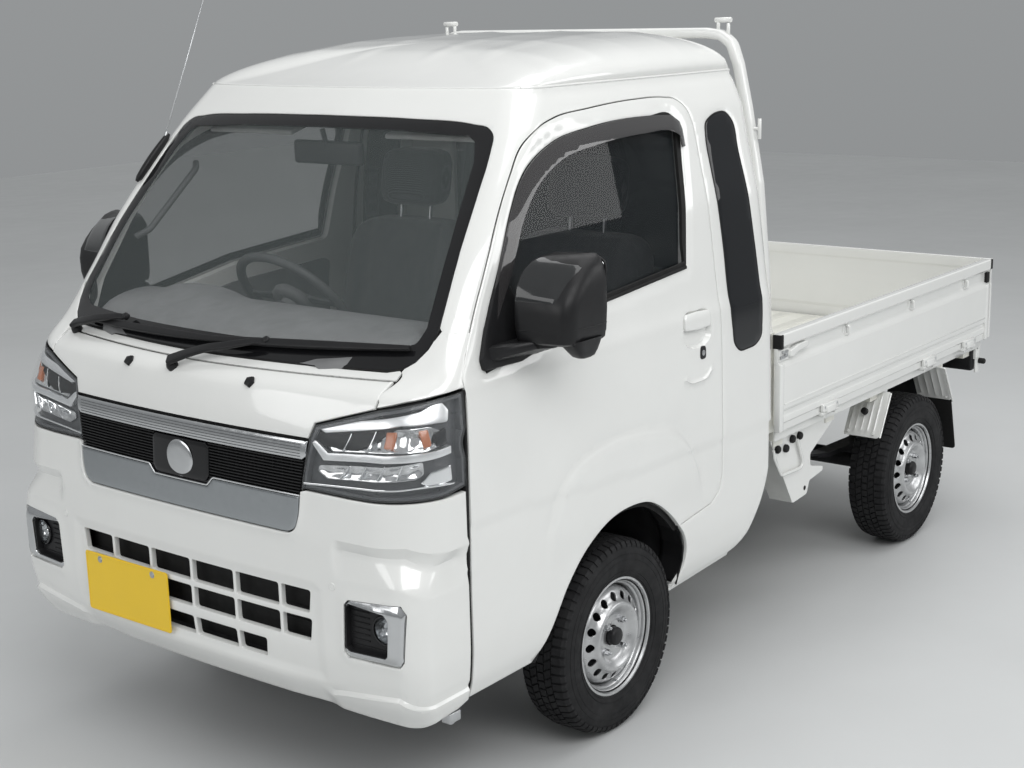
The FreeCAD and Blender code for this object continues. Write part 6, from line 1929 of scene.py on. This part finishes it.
def build_rear():
    b, r, w = Bag(), Bag(), Bag()
    for s in (1, -1):
        lo, hi = sorted((s * 470, s * 690))
        b.add(*rbox(-1671, -1631, lo, hi, 515.5, 603.5, 8, 3))
        r.add(*rbox(-1683.5, -1669, lo + 4, hi - 4, 520, 599, 6, 3))
        lo, hi = sorted((s * 474, s * 528))
        w.add(*rbox(-1684.0, -1672, lo + 3, hi - 3, 524, 595, 4, 3))
    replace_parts(b.make("tail_lamp_housings", M_PLASTIC, "truck", "dark_plastic"), "tail_lamps")
    r.make("tail_lamp_lenses", M_RED, "truck", "red_lens", angle=50)
    w.make("tail_lamp_reverse_lenses", M_BULB, "truck", "lamp_lens", angle=50)
    def sheet(A, B, name, mat, slot, ribs, face):
        """Flat pressed sheet between two x, z points, 590..724 across."""
        A, B = np.array(A, float), np.array(B, float)
        L = np.linalg.norm(B - A)
        u = (B - A) / L

        def fn(a, b2):
            return np.stack([A[0] + u[0] * b2, a, A[1] + u[1] * b2], -1)

        def ds(a, b2):
            h = 0 * a
            for c in ribs:
                h = h + 3.2 * np.exp(-((a - c) / 4.2) ** 2) * smooth(3, 14, b2) * smooth(L - 8, L - 22, b2)
            return h + (2.0 * smooth(712, 718, a) if len(ribs) else 0)
        out2 = round_poly([(591, 0), (723.5, 0), (723.5, L), (591, L)], [2, 2, 14, 5], 4)
        ln2 = [[(c + o2, 2), (c + o2, L - 2)] for c in ribs for o2 in (-5, 0, 5)]
        v, f = panel(fn, out2, [], grid=9.0, thick=4.0, disp=ds, edge=1.2, sign=face, lines=[np.array(q, float) for q in ln2])
        return Bag().add(v, f).both().make(name, mat, "truck", slot, angle=40)
    o = sheet((-836, 602), (-752.5, 455), "wheel_guard_front", M_PAINT, "body_paint", (607, 630, 653, 676, 699), -1)
    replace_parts(o, "rear_wheel_guards")
    sheet((-1285, 599), (-1368, 460), "wheel_guard_rear", M_PAINT, "body_paint", (612, 640, 668, 696), -1)
    o = sheet((-1367, 462), (-1421.5, 261), "rear_flaps", M_RUBBER, "dark_plastic", (), -1)
    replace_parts(o, "mudflaps")
    bb = Bag()
    for s in (1, -1):
        for xx, yy, zz in ((-757, 606, 468), (-757, 700, 468), (-1362, 606, 474), (-1362, 706, 474)):
            bb.add(*disc_along((xx + 1, s * yy, zz), (0.87, 0, 0.5), [(0.01, 0), (6.5, 0), (6.5, 2.2), (5, 3.4), (0.01, 3.4)], 6))
        # edge stay and the black rubber plug near the top
        bb.add(*rod((-833, s * 728, 600), (-752, s * 728, 458), 3.2, 10))
        bb.add(*rod((-1285, s * 728, 600), (-1372, s * 728, 456), 3.6, 10))
    bb.make("wheel_guard_hardware", M_PAINT, "truck", "body_paint")
    pk = Bag()
    for s in (1, -1):
        pk.add(*disc_along((-783, s * 657, 536), (0.87, 0, 0.5), [(0.01, 0), (12, 0), (12, 12), (9, 16), (0.01, 16)], 20))
        pk.add(*disc_along((-1682, s * 700, 549), (0, s, 0), [(0.01, 0), (11, 0), (11, 20), (8, 24), (0.01, 24)], 22))
    pk.make("rubber_buffers", M_RUBBER, "truck", "dark_plastic")
    cb = Bag()
    for s in (1, -1):
        lo, hi = sorted((s * 694, s * 700))
        cb.add(*rbox(-1692, -1648, lo, hi, 506, 622, 2.5, 2))
        lo, hi = sorted((s * 640, s * 700))
        cb.add(*rbox(-1652, -1647, lo, hi, 560, 622, 1.5, 2))
    cb.make("rear_corner_brackets", M_PAINT, "truck", "body_paint")


# =============================================================================================
# wheels
# =============================================================================================
def wheel_bags():
    """Left wheel about the origin, outer side at +y."""
    tyre_prof = [(152, -52), (160, -58), (176, -66.5), (190, -70), (206, -72.3), (222, -72), (236, -69.5), (246, -66.5), (253, -64), (258, -59), (261.5, -52), (262.5, -44),
                 (263, -20), (263, 20), (262.5, 44), (261.5, 52), (258, 59), (253, 64), (246, 66.5), (236, 69.5), (222, 72), (206, 72.3), (190, 70), (176, 66.5), (160, 58), (152, 52),
                 (154, 40), (156, 0), (154, -40)]
    t = Bag().add(*lathe(tyre_prof, 120))
    # bead and sidewall ribs
    for r, y in ((170, 64.2), (181, 68.6), (214, 72.4), (229, 71.4)):
        for s in (1, -1):
            t.add(*lathe([(r - 1.2, s * (y - 1.2)), (r - 0.6, s * (y + 0.5)), (r + 0.6, s * (y + 0.5)), (r + 1.2, s * (y - 1.2))], 120))
    # tread: five rows of blocks with lateral grooves, shoulder lugs run down the sidewall
    N = 66
    rows = [(-61.5, -36.5, 0.0, 0.80), (-32.5, -13.5, 0.5, 0.84), (-9.5, 9.5, 0.15, 0.86), (13.5, 32.5, 0.65, 0.84), (36.5, 61.5, 0.3, 0.80)]
    for ri, (y0, y1, ph, fill) in enumerate(rows):
        for i in range(N):
            a0 = 2 * math.pi * (i + ph) / N
            w = 2 * math.pi / N * fill
            sk = 0.25 * w * (1 if ri in (1, 3) else 0)
            vv = []
            for rr in (260.0, 268.2):
                for a, y, k in ((a0, y0, -1), (a0 + w, y0, -1), (a0 + w, y1, 1), (a0, y1, 1)):
                    q = rr
                    sh = 0.0
                    if rr > 265:
                        if ri in (0, 4) and ((ri == 0 and y == y0) or (ri == 4 and y == y1)):
                            q = 262.6
                        sh = 0.35 if k else 0
                    elif ri in (0, 4) and ((ri == 0 and y == y0) or (ri == 4 and y == y1)):
                        q = 254.0
                    aa = a + sk * k + (0.0 if rr < 265 else (0.04 * w if a == a0 else -0.04 * w))
                    vv.append((q * math.cos(aa), y * (1.0 if rr > 265 else 1.01), q * math.sin(aa)))
            t.add(vv, [[0, 3, 2, 1], [4, 5, 6, 7], [0, 1, 5, 4], [1, 2, 6, 5], [2, 3, 7, 6], [3, 0, 4, 7]])
        if ri in (0, 4):
            s = -1 if ri == 0 else 1
            for i in range(N):
                a0 = 2 * math.pi * (i + ph) / N
                w = 2 * math.pi / N * fill * 0.9
                vv = []
                for yy, r0, r1 in ((62.5, 250.5, 258.5),):
                    for y in (s * 61.0, s * 68.0):
                        for a in (a0, a0 + w):
                            for r in ((246, 262.4) if abs(y) < 63 else (247, 253.5)):
                                vv.append((r * math.cos(a), y, r * math.sin(a)))
                t.add(vv, [[0, 1, 3, 2], [4, 6, 7, 5], [0, 4, 5, 1], [2, 3, 7, 6], [0, 2, 6, 4], [1, 5, 7, 3]])
    # rim: barrel with the stepped lip
    rim = Bag()
    prof = [(164.5, 56.5), (165, 59.6), (161.5, 61.2), (157.8, 60.2), (156.2, 56.5), (154.5, 52.0), (150.5, 50.6), (148.4, 47.8), (147.2, 41), (143.6, 38.8), (141.8, 35), (139.5, 12),
            (137.5, -10), (138.5, -36), (147, -44), (151, -51), (160, -57), (161.5, -60.5), (165, -59.5), (165, -56), (154, -49), (151.6, -42), (142.5, -34), (141.5, -10), (143.5, 12), (145.5, 34), (150.6, 40), (151.8, 46), (157, 50)]
    rim.add(*lathe(prof, 128))
    # disc
    rr = [26, 33, 37, 42, 58, 62, 67, 75, 82, 87, 91, 95, 98, 101, 105, 112, 120, 126, 131, 135, 138, 140.5]
    yy = [44, 44, 46.5, 47, 47, 48, 51, 59, 65, 67.5, 68, 66.5, 63, 57.5, 53, 50, 47, 43, 37, 28, 16, 6]

    def disc(x, z):
        r = np.hypot(x, z)
        return np.stack([x, np.interp(r, rr, yy) + 0 * r, z], -1)
    out = [(140.5 * math.cos(a), 140.5 * math.sin(a)) for a in np.linspace(0, 2 * math.pi, 97)[:-1]]
    holes = [[(11.4 * math.cos(b) + 112.5 * math.cos(a), 11.4 * math.sin(b) + 112.5 * math.sin(a)) for b in np.linspace(0, 2 * math.pi, 21)[:-1]]
             for a in np.arange(16) * 2 * math.pi / 16]
    holes.append([(28 * math.cos(a), 28 * math.sin(a)) for a in np.linspace(0, 2 * math.pi, 33)[:-1]])
    rings = [np.array([(q * math.cos(a), q * math.sin(a)) for a in np.linspace(0, 2 * math.pi, 97)]) for q in (62, 67, 71, 75, 79, 83, 87, 91, 95, 98, 100, 122.5, 126, 129, 132, 135, 138)]
    v, f = panel(disc, out, [h for h in holes], grid=7.4, thick=3.6, disp=None, edge=0.9, sign=-1.0, lines=rings)
    rim.add(v, f)
    # four wheel nuts between the dome and the hub
    nuts, cap, hub, hid = Bag(), Bag(), Bag(), Bag()
    for k in range(4):
        a = math.pi / 4 + k * math.pi / 2
        p = (51 * math.cos(a), 45.0, 51 * math.sin(a))
        nuts.add(*disc_along(p, (0, 1, 0), [(0.01, 0), (10.2, 0), (10.2, 4), (9.0, 5), (9.0, 15), (7.0, 17), (0.01, 17)], 6))
        nuts.add(*disc_along(p, (0, 1, 0), [(0.01, 0), (11, 0), (10.6, 4.2), (0.01, 4.2)], 20))
        nuts.add(*disc_along(p, (0, 1, 0), [(0.01, 15), (4.6, 15), (4.6, 22), (3.8, 23), (0.01, 23)], 14))
    cap.add(*lathe([(0.01, 68), (14, 67.6), (20, 66), (24, 62), (25.4, 56), (25.8, 40), (0.01, 40)], 40, closed_prof=True))
    # brake drum seen through the holes
    hub.add(*lathe([(0.01, 26), (112, 25), (120, 18), (122, 8), (122, -40), (0.01, -40)], 64, closed_prof=True))
    # valve
    nuts.add(*rod((0, 42, -133), (0, 60, -128), 2.6, 12))
    return t, rim, nuts, cap, hub


def build_wheels():
    t, rim, nuts, cap, hub = wheel_bags()
    for name, x, y in (("front_left", 826, 652.5), ("front_right", 826, -652.5), ("rear_left", -1074, 650), ("rear_right", -1074, -650)):
        s = 1 if y > 0 else -1
        b = name + "_wheel"

        def mv(p, x=x, y=y, s=s):
            return np.array((p[0] + x, p[1] * s + y, p[2] + 268.5))
        o = t.moved(mv).make(name + "_tyre_tread", M_TYRE, b, "tyre_rubber", angle=28)
        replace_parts(o, name + "_tyre")
        o = rim.moved(mv).make(name + "_rim_pressing", M_RIM, b, "wheel_silver", angle=40)
        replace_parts(o, name + "_rim")
        nuts.moved(mv).make(name + "_nuts", M_STEEL, b, "bare_metal", angle=30)
        cap.moved(mv).make(name + "_cap", M_PLASTIC, b, "dark_plastic", angle=50)
        hub.moved(mv).make(name + "_drum", M_BLACKPAINT, b, "chassis_paint", angle=40)


def build_liners():
    arc = [(544, 330), (533, 352), (511, 391), (507, 431), (524, 480), (547, 508), (613, 571), (708, 623), (789, 634.5), (887, 623), (982, 579), (1084, 489), (1153, 390), (1203, 330)]
    c = np.array((826.0, 300.0))
    path = bend_path([(x + (x - c[0]) * 0.006, 0, z + (z - c[1]) * 0.006) for x, z in arc], 20, 12)
    lb = Bag()
    vv = []
    ys = (724, 716, 690, 655, 640)
    for p in path:
        d = p[[0, 2]] - c
        d /= np.linalg.norm(d)
        for k, y in enumerate(ys):
            o = (0, 5, 9, 12, 13)[k]
            rib = 2.0 * math.sin(y * 0.3)
            vv.append((p[0] + d[0] * o, y, p[2] + d[1] * o))
    lb.add(vv, grid_faces(len(path), len(ys)))
    ob = lb.both().make("front_arch_liners", M_PLASTIC, "truck", "dark_plastic", angle=60)
    m = ob.modifiers.new("s", "SOLIDIFY")
    m.thickness = 0.003
    # upper part of the wheel house, closing the view into the floor
    h = Bag()
    vv = []
    arc2 = [(470, 300), (455, 420), (480, 520), (590, 640), (800, 660), (980, 630), (1110, 520), (1180, 400), (1230, 300)]
    pp = bend_path([(x, 0, z) for x, z in arc2], 60, 18)
    for p in pp:
        for y in (404, 560, 640):
            vv.append((p[0], y, p[2]))
    h.add(vv, grid_faces(len(pp), 3))
    ob = h.both().make("wheel_house_walls", M_BLACKPAINT, "truck", "chassis_paint", angle=60)
    m = ob.modifiers.new("s", "SOLIDIFY")
    m.thickness = 0.003


# =============================================================================================
# interior
# =============================================================================================
def pillow(cx, cy, cz, hx, hy, hz, n=(0.32, 0.32), seg=40, tf=None, chan=None):
    """Crowned closed cushion: a superellipsoid whose skin is pushed in along sewn channels."""
    vv = []
    U, W = seg, seg // 2
    for i in range(W + 1):
        ph = -math.pi / 2 + math.pi * i / W
        for j in range(U):
            th = 2 * math.pi * j / U
            cp, sp = math.cos(ph), math.sin(ph)
            ct, st = math.cos(th), math.sin(th)
            e1, e2 = n
            f = lambda c, e: math.copysign(abs(c) ** e, c)
            x = f(cp, e1) * f(ct, e2)
            y = f(cp, e1) * f(st, e2)
            z = f(sp, e1)
            p = np.array((x * hx, y * hy, z * hz))
            if chan is not None:
                p = chan(p)
            p = p + (cx, cy, cz)
            if tf is not None:
                p = tf(p)
            vv.append(tuple(p))
    return vv, grid_faces(W + 1, U, False, True)


def build_interior():
    for s, nm in ((1, "left"), (-1, "right")):
        y = 330 * s

        def ch_c(p):
            # two lengthways channels and a raised bolster each side
            q = p.copy()
            up = smooth(0.2, 0.9, p[2] / 68.0)
            q[2] += up * (10 * smooth(150, 210, abs(p[1])) - 7 * math.exp(-((abs(p[1]) - 142) / 9.0) ** 2) - 4 * math.exp(-((p[0] - 60) / 8.0) ** 2) * (abs(p[1]) < 140))
            return q

        def tilt_c(p):
            q = p.copy()
            q[2] += (p[0] - 840) * 0.07
            return q
        v, f = pillow(842, y, 722, 252, 234, 66, (0.34, 0.30), 56, tilt_c, ch_c)
        c = Bag().add(v, f).make("seat_%s_cushion" % nm, M_SEAT, "truck", "seat_fabric", angle=80)

        def ch_b(p):
            q = p.copy()
            up = smooth(0.2, 0.9, p[0] / 52.0)
            q[0] += up * (10 * smooth(150, 205, abs(p[1])) - 6 * math.exp(-((abs(p[1]) - 140) / 9.0) ** 2) - 4 * math.exp(-((p[2] - 40) / 8.0) ** 2) * (abs(p[1]) < 140) - 4 * math.exp(-((p[2] + 90) / 8.0) ** 2) * (abs(p[1]) < 140))
            return q

        def tilt_b(p):
            q = p.copy()
            q[0] -= (p[2] - 700) * 0.24
            return q
        v, f = pillow(540, y, 985, 62, 226, 305, (0.34, 0.32), 56, tilt_b, ch_b)
        b = Bag().add(v, f).make("seat_%s_back" % nm, M_SEAT, "truck", "seat_fabric", angle=80)
        v, f = pillow(0, 0, 0, 46, 122, 88, (0.45, 0.4), 40, lambda p: np.array((p[0] + 388 - p[2] * 0.16, p[1] + y, p[2] + 1418)))
        h = Bag().add(v, f).make("seat_%s_headrest" % nm, M_SEAT2, "truck", "seat_fabric", angle=80)
        st = Bag()
        for d in (-60, 60):
            st.add(*rod((402, y + d, 1262), (391, y + d, 1350), 6, 14))
        st.make("seat_%s_posts" % nm, M_STEEL, "truck", "bare_metal")
        if s == 1:
            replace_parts(c, "seats")
    # steering wheel
    c0, c1 = np.array((1262.0, 852.0)), np.array((968.0, 1098.0))
    cu = (c1 - c0) / np.linalg.norm(c1 - c0)
    axis = np.array((cu[0], 0, cu[1]))
    cen = np.array((c1[0] + cu[0] * 30, -330.0, c1[1] + cu[1] * 30))
    e1 = np.array((0.0, 1.0, 0.0))
    e2 = np.cross(axis, e1)
    w = Bag()
    P = [cen + (e1 * math.cos(a) + e2 * math.sin(a)) * 180 for a in np.linspace(0, 2 * math.pi, 73)[:-1]]
    w.add(*sweep(P, circle(14.5, 16, 13), closed=True, ups=[axis] * len(P)))
    up = e2 if e2[2] > 0 else -e2
    for d, l in ((e1, 168), (-e1, 168), (-up, 168)):
        pts = [cen + axis * (2 if t > 0.5 else 6 * (1 - t)) + d * (40 + (l - 40) * t) for t in np.linspace(0, 1, 8)]
        w.add(*sweep(pts, rrect(30, 13, 5, 3), ups=[axis] * 8, scales=[1.25, 1.1, 0.95, 0.85, 0.8, 0.8, 0.85, 0.95]))
    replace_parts(w.make("steering_wheel_rim", M_INT, "steering_wheel", "interior_plastic", angle=60), "steering_wheel")
    pad = Bag().add(*disc_along(cen - axis * 22, axis, [(0.01, 0), (60, 0), (66, 8), (66, 20), (60, 28), (44, 33), (20, 35), (0.01, 35.5)], 44))
    pad.add(*disc_along(cen - axis * 60, axis, [(0.01, 0), (24, 0), (30, 38), (0.01, 38)], 32))
    pad.make("steering_wheel_pad", M_INT2, "steering_wheel", "interior_plastic", angle=60)
    # dashboard pieces on the CAD block: top pad, meter hood, vents, centre stack
    d = Bag()
    d.add(*rbox(1230, 1300, -470, -200, 1058, 1108, 18, 4))
    d.add(*rbox(1196, 1212, -90, 90, 870, 1010, 8, 3))
    d.add(*rbox(1198, 1216, -600, -500, 985, 1040, 10, 3))
    d.add(*rbox(1198, 1216, 500, 600, 985, 1040, 10, 3))
    d.add(*rbox(1198, 1214, 130, 470, 880, 985, 12, 3))
    # moulded top pad with the meter hood, up under the screen
    xs = [1214, 1216, 1222, 1236, 1258, 1290, 1330, 1375, 1420, 1465, 1510, 1550, 1566]
    zs = [1112, 1140, 1160, 1174, 1182, 1186, 1187, 1184, 1177, 1166, 1152, 1134, 1122]
    ws = [612, 614, 617, 620, 622, 622, 618, 608, 592, 566, 524, 450, 400]
    vv = []
    for x, z, w2 in zip(xs, zs, ws):
        for tt in np.linspace(-1, 1, 49):
            yy = w2 * tt
            hood = 24 * math.exp(-((yy + 350) / 120.0) ** 4) * smooth(1206, 1240, x) * smooth(1400, 1290, x)
            vv.append((x, yy, z - 26 * smooth(0.93, 1.0, abs(tt)) + float(hood)))
    d.add(vv, grid_faces(len(xs), 49))
    d.make("dashboard_trims", M_INT2, "truck", "interior_plastic")
    v = Bag()
    for y0 in (-590, 510, -80, 10):
        for z in range(992, 1036, 8):
            v.add(*rbox(1191, 1200, y0, y0 + (80 if abs(y0) > 400 else 66), z, z + 3, 1, 1))
    v.make("dashboard_vents", M_PLASTIC, "truck", "dark_plastic")
    # inner mirror, visors, assist grip, belts
    m = Bag().add(*rbox(1096, 1120, -122, 122, 1536, 1598, 9, 3))
    m.add(*rod((1112, 0, 1575), (1128, 0, 1630), 7, 12))
    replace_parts(m.make("inner_mirror", M_PLASTIC, "truck", "interior_plastic"), "cab_trim")
    vz = Bag()
    for s in (1, -1):
        lo, hi = sorted((s * 170, s * 500))
        vz.add(*rbox(935, 1075, lo, hi, -7, 7, 6, 3, lambda p: np.array((p[0], p[1], p[2] + 1650 - (p[0] - 935) * 0.28))))
    vz.make("sun_visors", M_LINER, "truck", "interior_plastic")
    gp = bend_path([(1289, -596, 1326), (1262, -566, 1345), (1078, -566, 1498), (1056, -590, 1512)], 26, 10)
    Bag().add(*sweep(gp, circle(9, 12), ups=[(0, 1, 0)] * len(gp))).make("pillar_grip", M_INT, "truck", "interior_plastic")
    belt = Bag()
    for s in (1, -1):
        p = [(300, s * 596, 1420), (330, s * 604, 1100), (352, s * 612, 780), (380, s * 616, 640)]
        belt.add(*sweep(bend_path(p, 60, 20), rrect(46, 2.4, 1, 1), ups=[(0, 1, 0)] * len(bend_path(p, 60, 20))))
    belt.make("seat_belts", M_SEAT2, "truck", "seat_fabric")


def build_rear_wall():
    z0, z1, Y = 1130.0, 1560.0, 470.0
    o = round_poly([(-Y, z0), (Y, z0), (Y, z1), (-Y, z1)], 46, 6)
    v, f = prism([tuple(p) for p in inset_poly(resample(o, 16), -4)], 17, 21, "yz", 0.6, 1)
    make("back_window_glass", v, f, M_BACKG, "truck", "tinted_glass")
    rim = [np.array((12.0, q[0], q[1])) for q in resample(inset_poly(resample(o, 10), 1.0), 14)]
    Bag().add(*sweep(rim, rrect(15, 12, 4), closed=True, ups=[(1, 0, 0)] * len(rim))).make("back_window_rubber", M_RUBBER, "truck", "dark_plastic")


def build_rear_inner_panel():
    """Inner sheet behind the rear wall, reaching the pillars and the roof, with the window cut out."""
    def half(z):
        s = float(sg_of_x(np.array([70.0]), np.array([float(z)]))[0])
        return abs(float(surf(np.array(s), np.array(float(z)))[1])) - 9.0
    zs = np.linspace(640, 1730, 26)
    pts = [(half(z), z) for z in zs] + [(half(1730) - 16, 1746), (-half(1730) + 16, 1746)] + [(-half(z), z) for z in zs[::-1]]
    win = round_poly([(-474, 1126), (474, 1126), (474, 1564), (-474, 1564)], 48, 6)

    def fn(a, b2):
        return np.stack([0 * a + 31.0, a, b2], -1)
    v, f = panel(fn, resample(pts, 16), [resample(win, 14)], grid=70.0, thick=3.0, disp=lambda a, b2: 0 * a, edge=0.6, sign=-1)
    make("cab_rear_inner_panel", v, f, M_PAINT, "truck", "body_paint")


KEEP = {"bed_floor": M_BED, "bed_front_wall": M_BED, "cab_rear_wall": M_PAINT, "cab_floor": M_BLACKPAINT, "dashboard": M_INT, "steering_column": M_INT,
        "frame_rails": M_BLACKPAINT, "frame_crossmembers": M_BLACKPAINT, "rear_axle": M_BLACKPAINT, "rear_springs": M_BLACKPAINT, "front_suspension": M_BLACKPAINT,
        "knuckle_left": M_CAST, "knuckle_right": M_CAST, "steering_rack": M_CAST, "track_rod": M_STEEL, "fuel_tank": M_BLACKPAINT, "propshaft": M_BLACKPAINT,
        "exhaust": M_EXH, "engine": M_CAST}


def keep_nodes():
    for n, m in KEEP.items():
        if n not in NODES:
            continue
        ob = NODES[n]
        if not ob.material_slots:
            ob.data.materials.append(m)
        for sl in ob.material_slots:
            sl.link = "OBJECT"
            sl.material = m


# =============================================================================================
# stage, lights, finish
# =============================================================================================
def build_stage():
    v = [(-14, -14, 0), (14, -14, 0), (14, 14, 0), (-14, 14, 0)]
    me = bpy.data.meshes.new("floor")
    me.from_pydata([(x, y, -0.0005) for x, y, z in v], [], [(0, 1, 2, 3)])
    ob = bpy.data.objects.new("floor", me)
    bpy.context.scene.collection.objects.link(ob)
    m = Mat("floor_pale")
    m.color(m.ramp(m.noise(0.8, 4), [(0.3, (0.56, 0.57, 0.57)), (0.7, (0.60, 0.61, 0.61))]))
    m.rough(m.maprange(m.noise(5, 4), 0.42, 0.55))
    me.materials.append(m.m)
    w = bpy.data.worlds.new("world")
    bpy.context.scene.world = w
    w.use_nodes = True
    nt = w.node_tree
    bg = nt.nodes["Background"]
    tc = nt.nodes.new("ShaderNodeTexCoord")
    sp = nt.nodes.new("ShaderNodeSeparateXYZ")
    nt.links.new(tc.outputs["Generated"], sp.inputs[0])
    rp = nt.nodes.new("ShaderNodeValToRGB")
    e = rp.color_ramp.elements
    e[0].position, e[0].color = 0.0, (0.30, 0.31, 0.32, 1)
    e[1].position, e[1].color = 0.52, (0.60, 0.62, 0.63, 1)
    q = e.new(0.75)
    q.color = (0.92, 0.94, 0.95, 1)
    mr = nt.nodes.new("ShaderNodeMapRange")
    mr.inputs["From Min"].default_value, mr.inputs["From Max"].default_value = -1.0, 1.0
    nt.links.new(sp.outputs[2], mr.inputs["Value"])
    nt.links.new(mr.outputs["Result"], rp.inputs["Fac"])
    nt.links.new(rp.outputs["Color"], bg.inputs["Color"])
    bg.inputs["Strength"].default_value = 0.50

    def area(name, loc, target, size, size_y, power):
        l = bpy.data.lights.new(name, "AREA")
        l.shape = "RECTANGLE"
        l.size, l.size_y = size, size_y
        l.energy = power
        o = bpy.data.objects.new(name, l)
        o.location = loc
        d = Vector(target) - Vector(loc)
        o.rotation_euler = d.to_track_quat("-Z", "Y").to_euler()
        bpy.context.scene.collection.objects.link(o)
    area("key", (3.5, 4.5, 5.2), (0, 0, 0.8), 5.0, 3.0, 190)
    area("top", (-1.0, 0.5, 6.0), (-0.3, 0, 0.5), 6.0, 4.0, 150)
    area("left", (-3.5, 6.0, 3.2), (-0.5, 0, 0.8), 5.0, 2.5, 90)
    area("front", (6.5, -1.5, 3.0), (0.8, 0, 0.8), 4.0, 2.5, 60)
    bpy.context.scene.view_settings.view_transform = "Standard"


build_cab()
build_doors()
build_quarters()
build_screen()
build_roof()
build_hood()
build_lamps()
build_grille()
build_bumper()
build_fog()
build_wipers()
build_antenna()
build_mirrors()
build_gates()
build_bed()
build_rear()
build_wheels()
build_liners()
build_interior()
build_rear_wall()
build_rear_inner_panel()
keep_nodes()
build_stage()
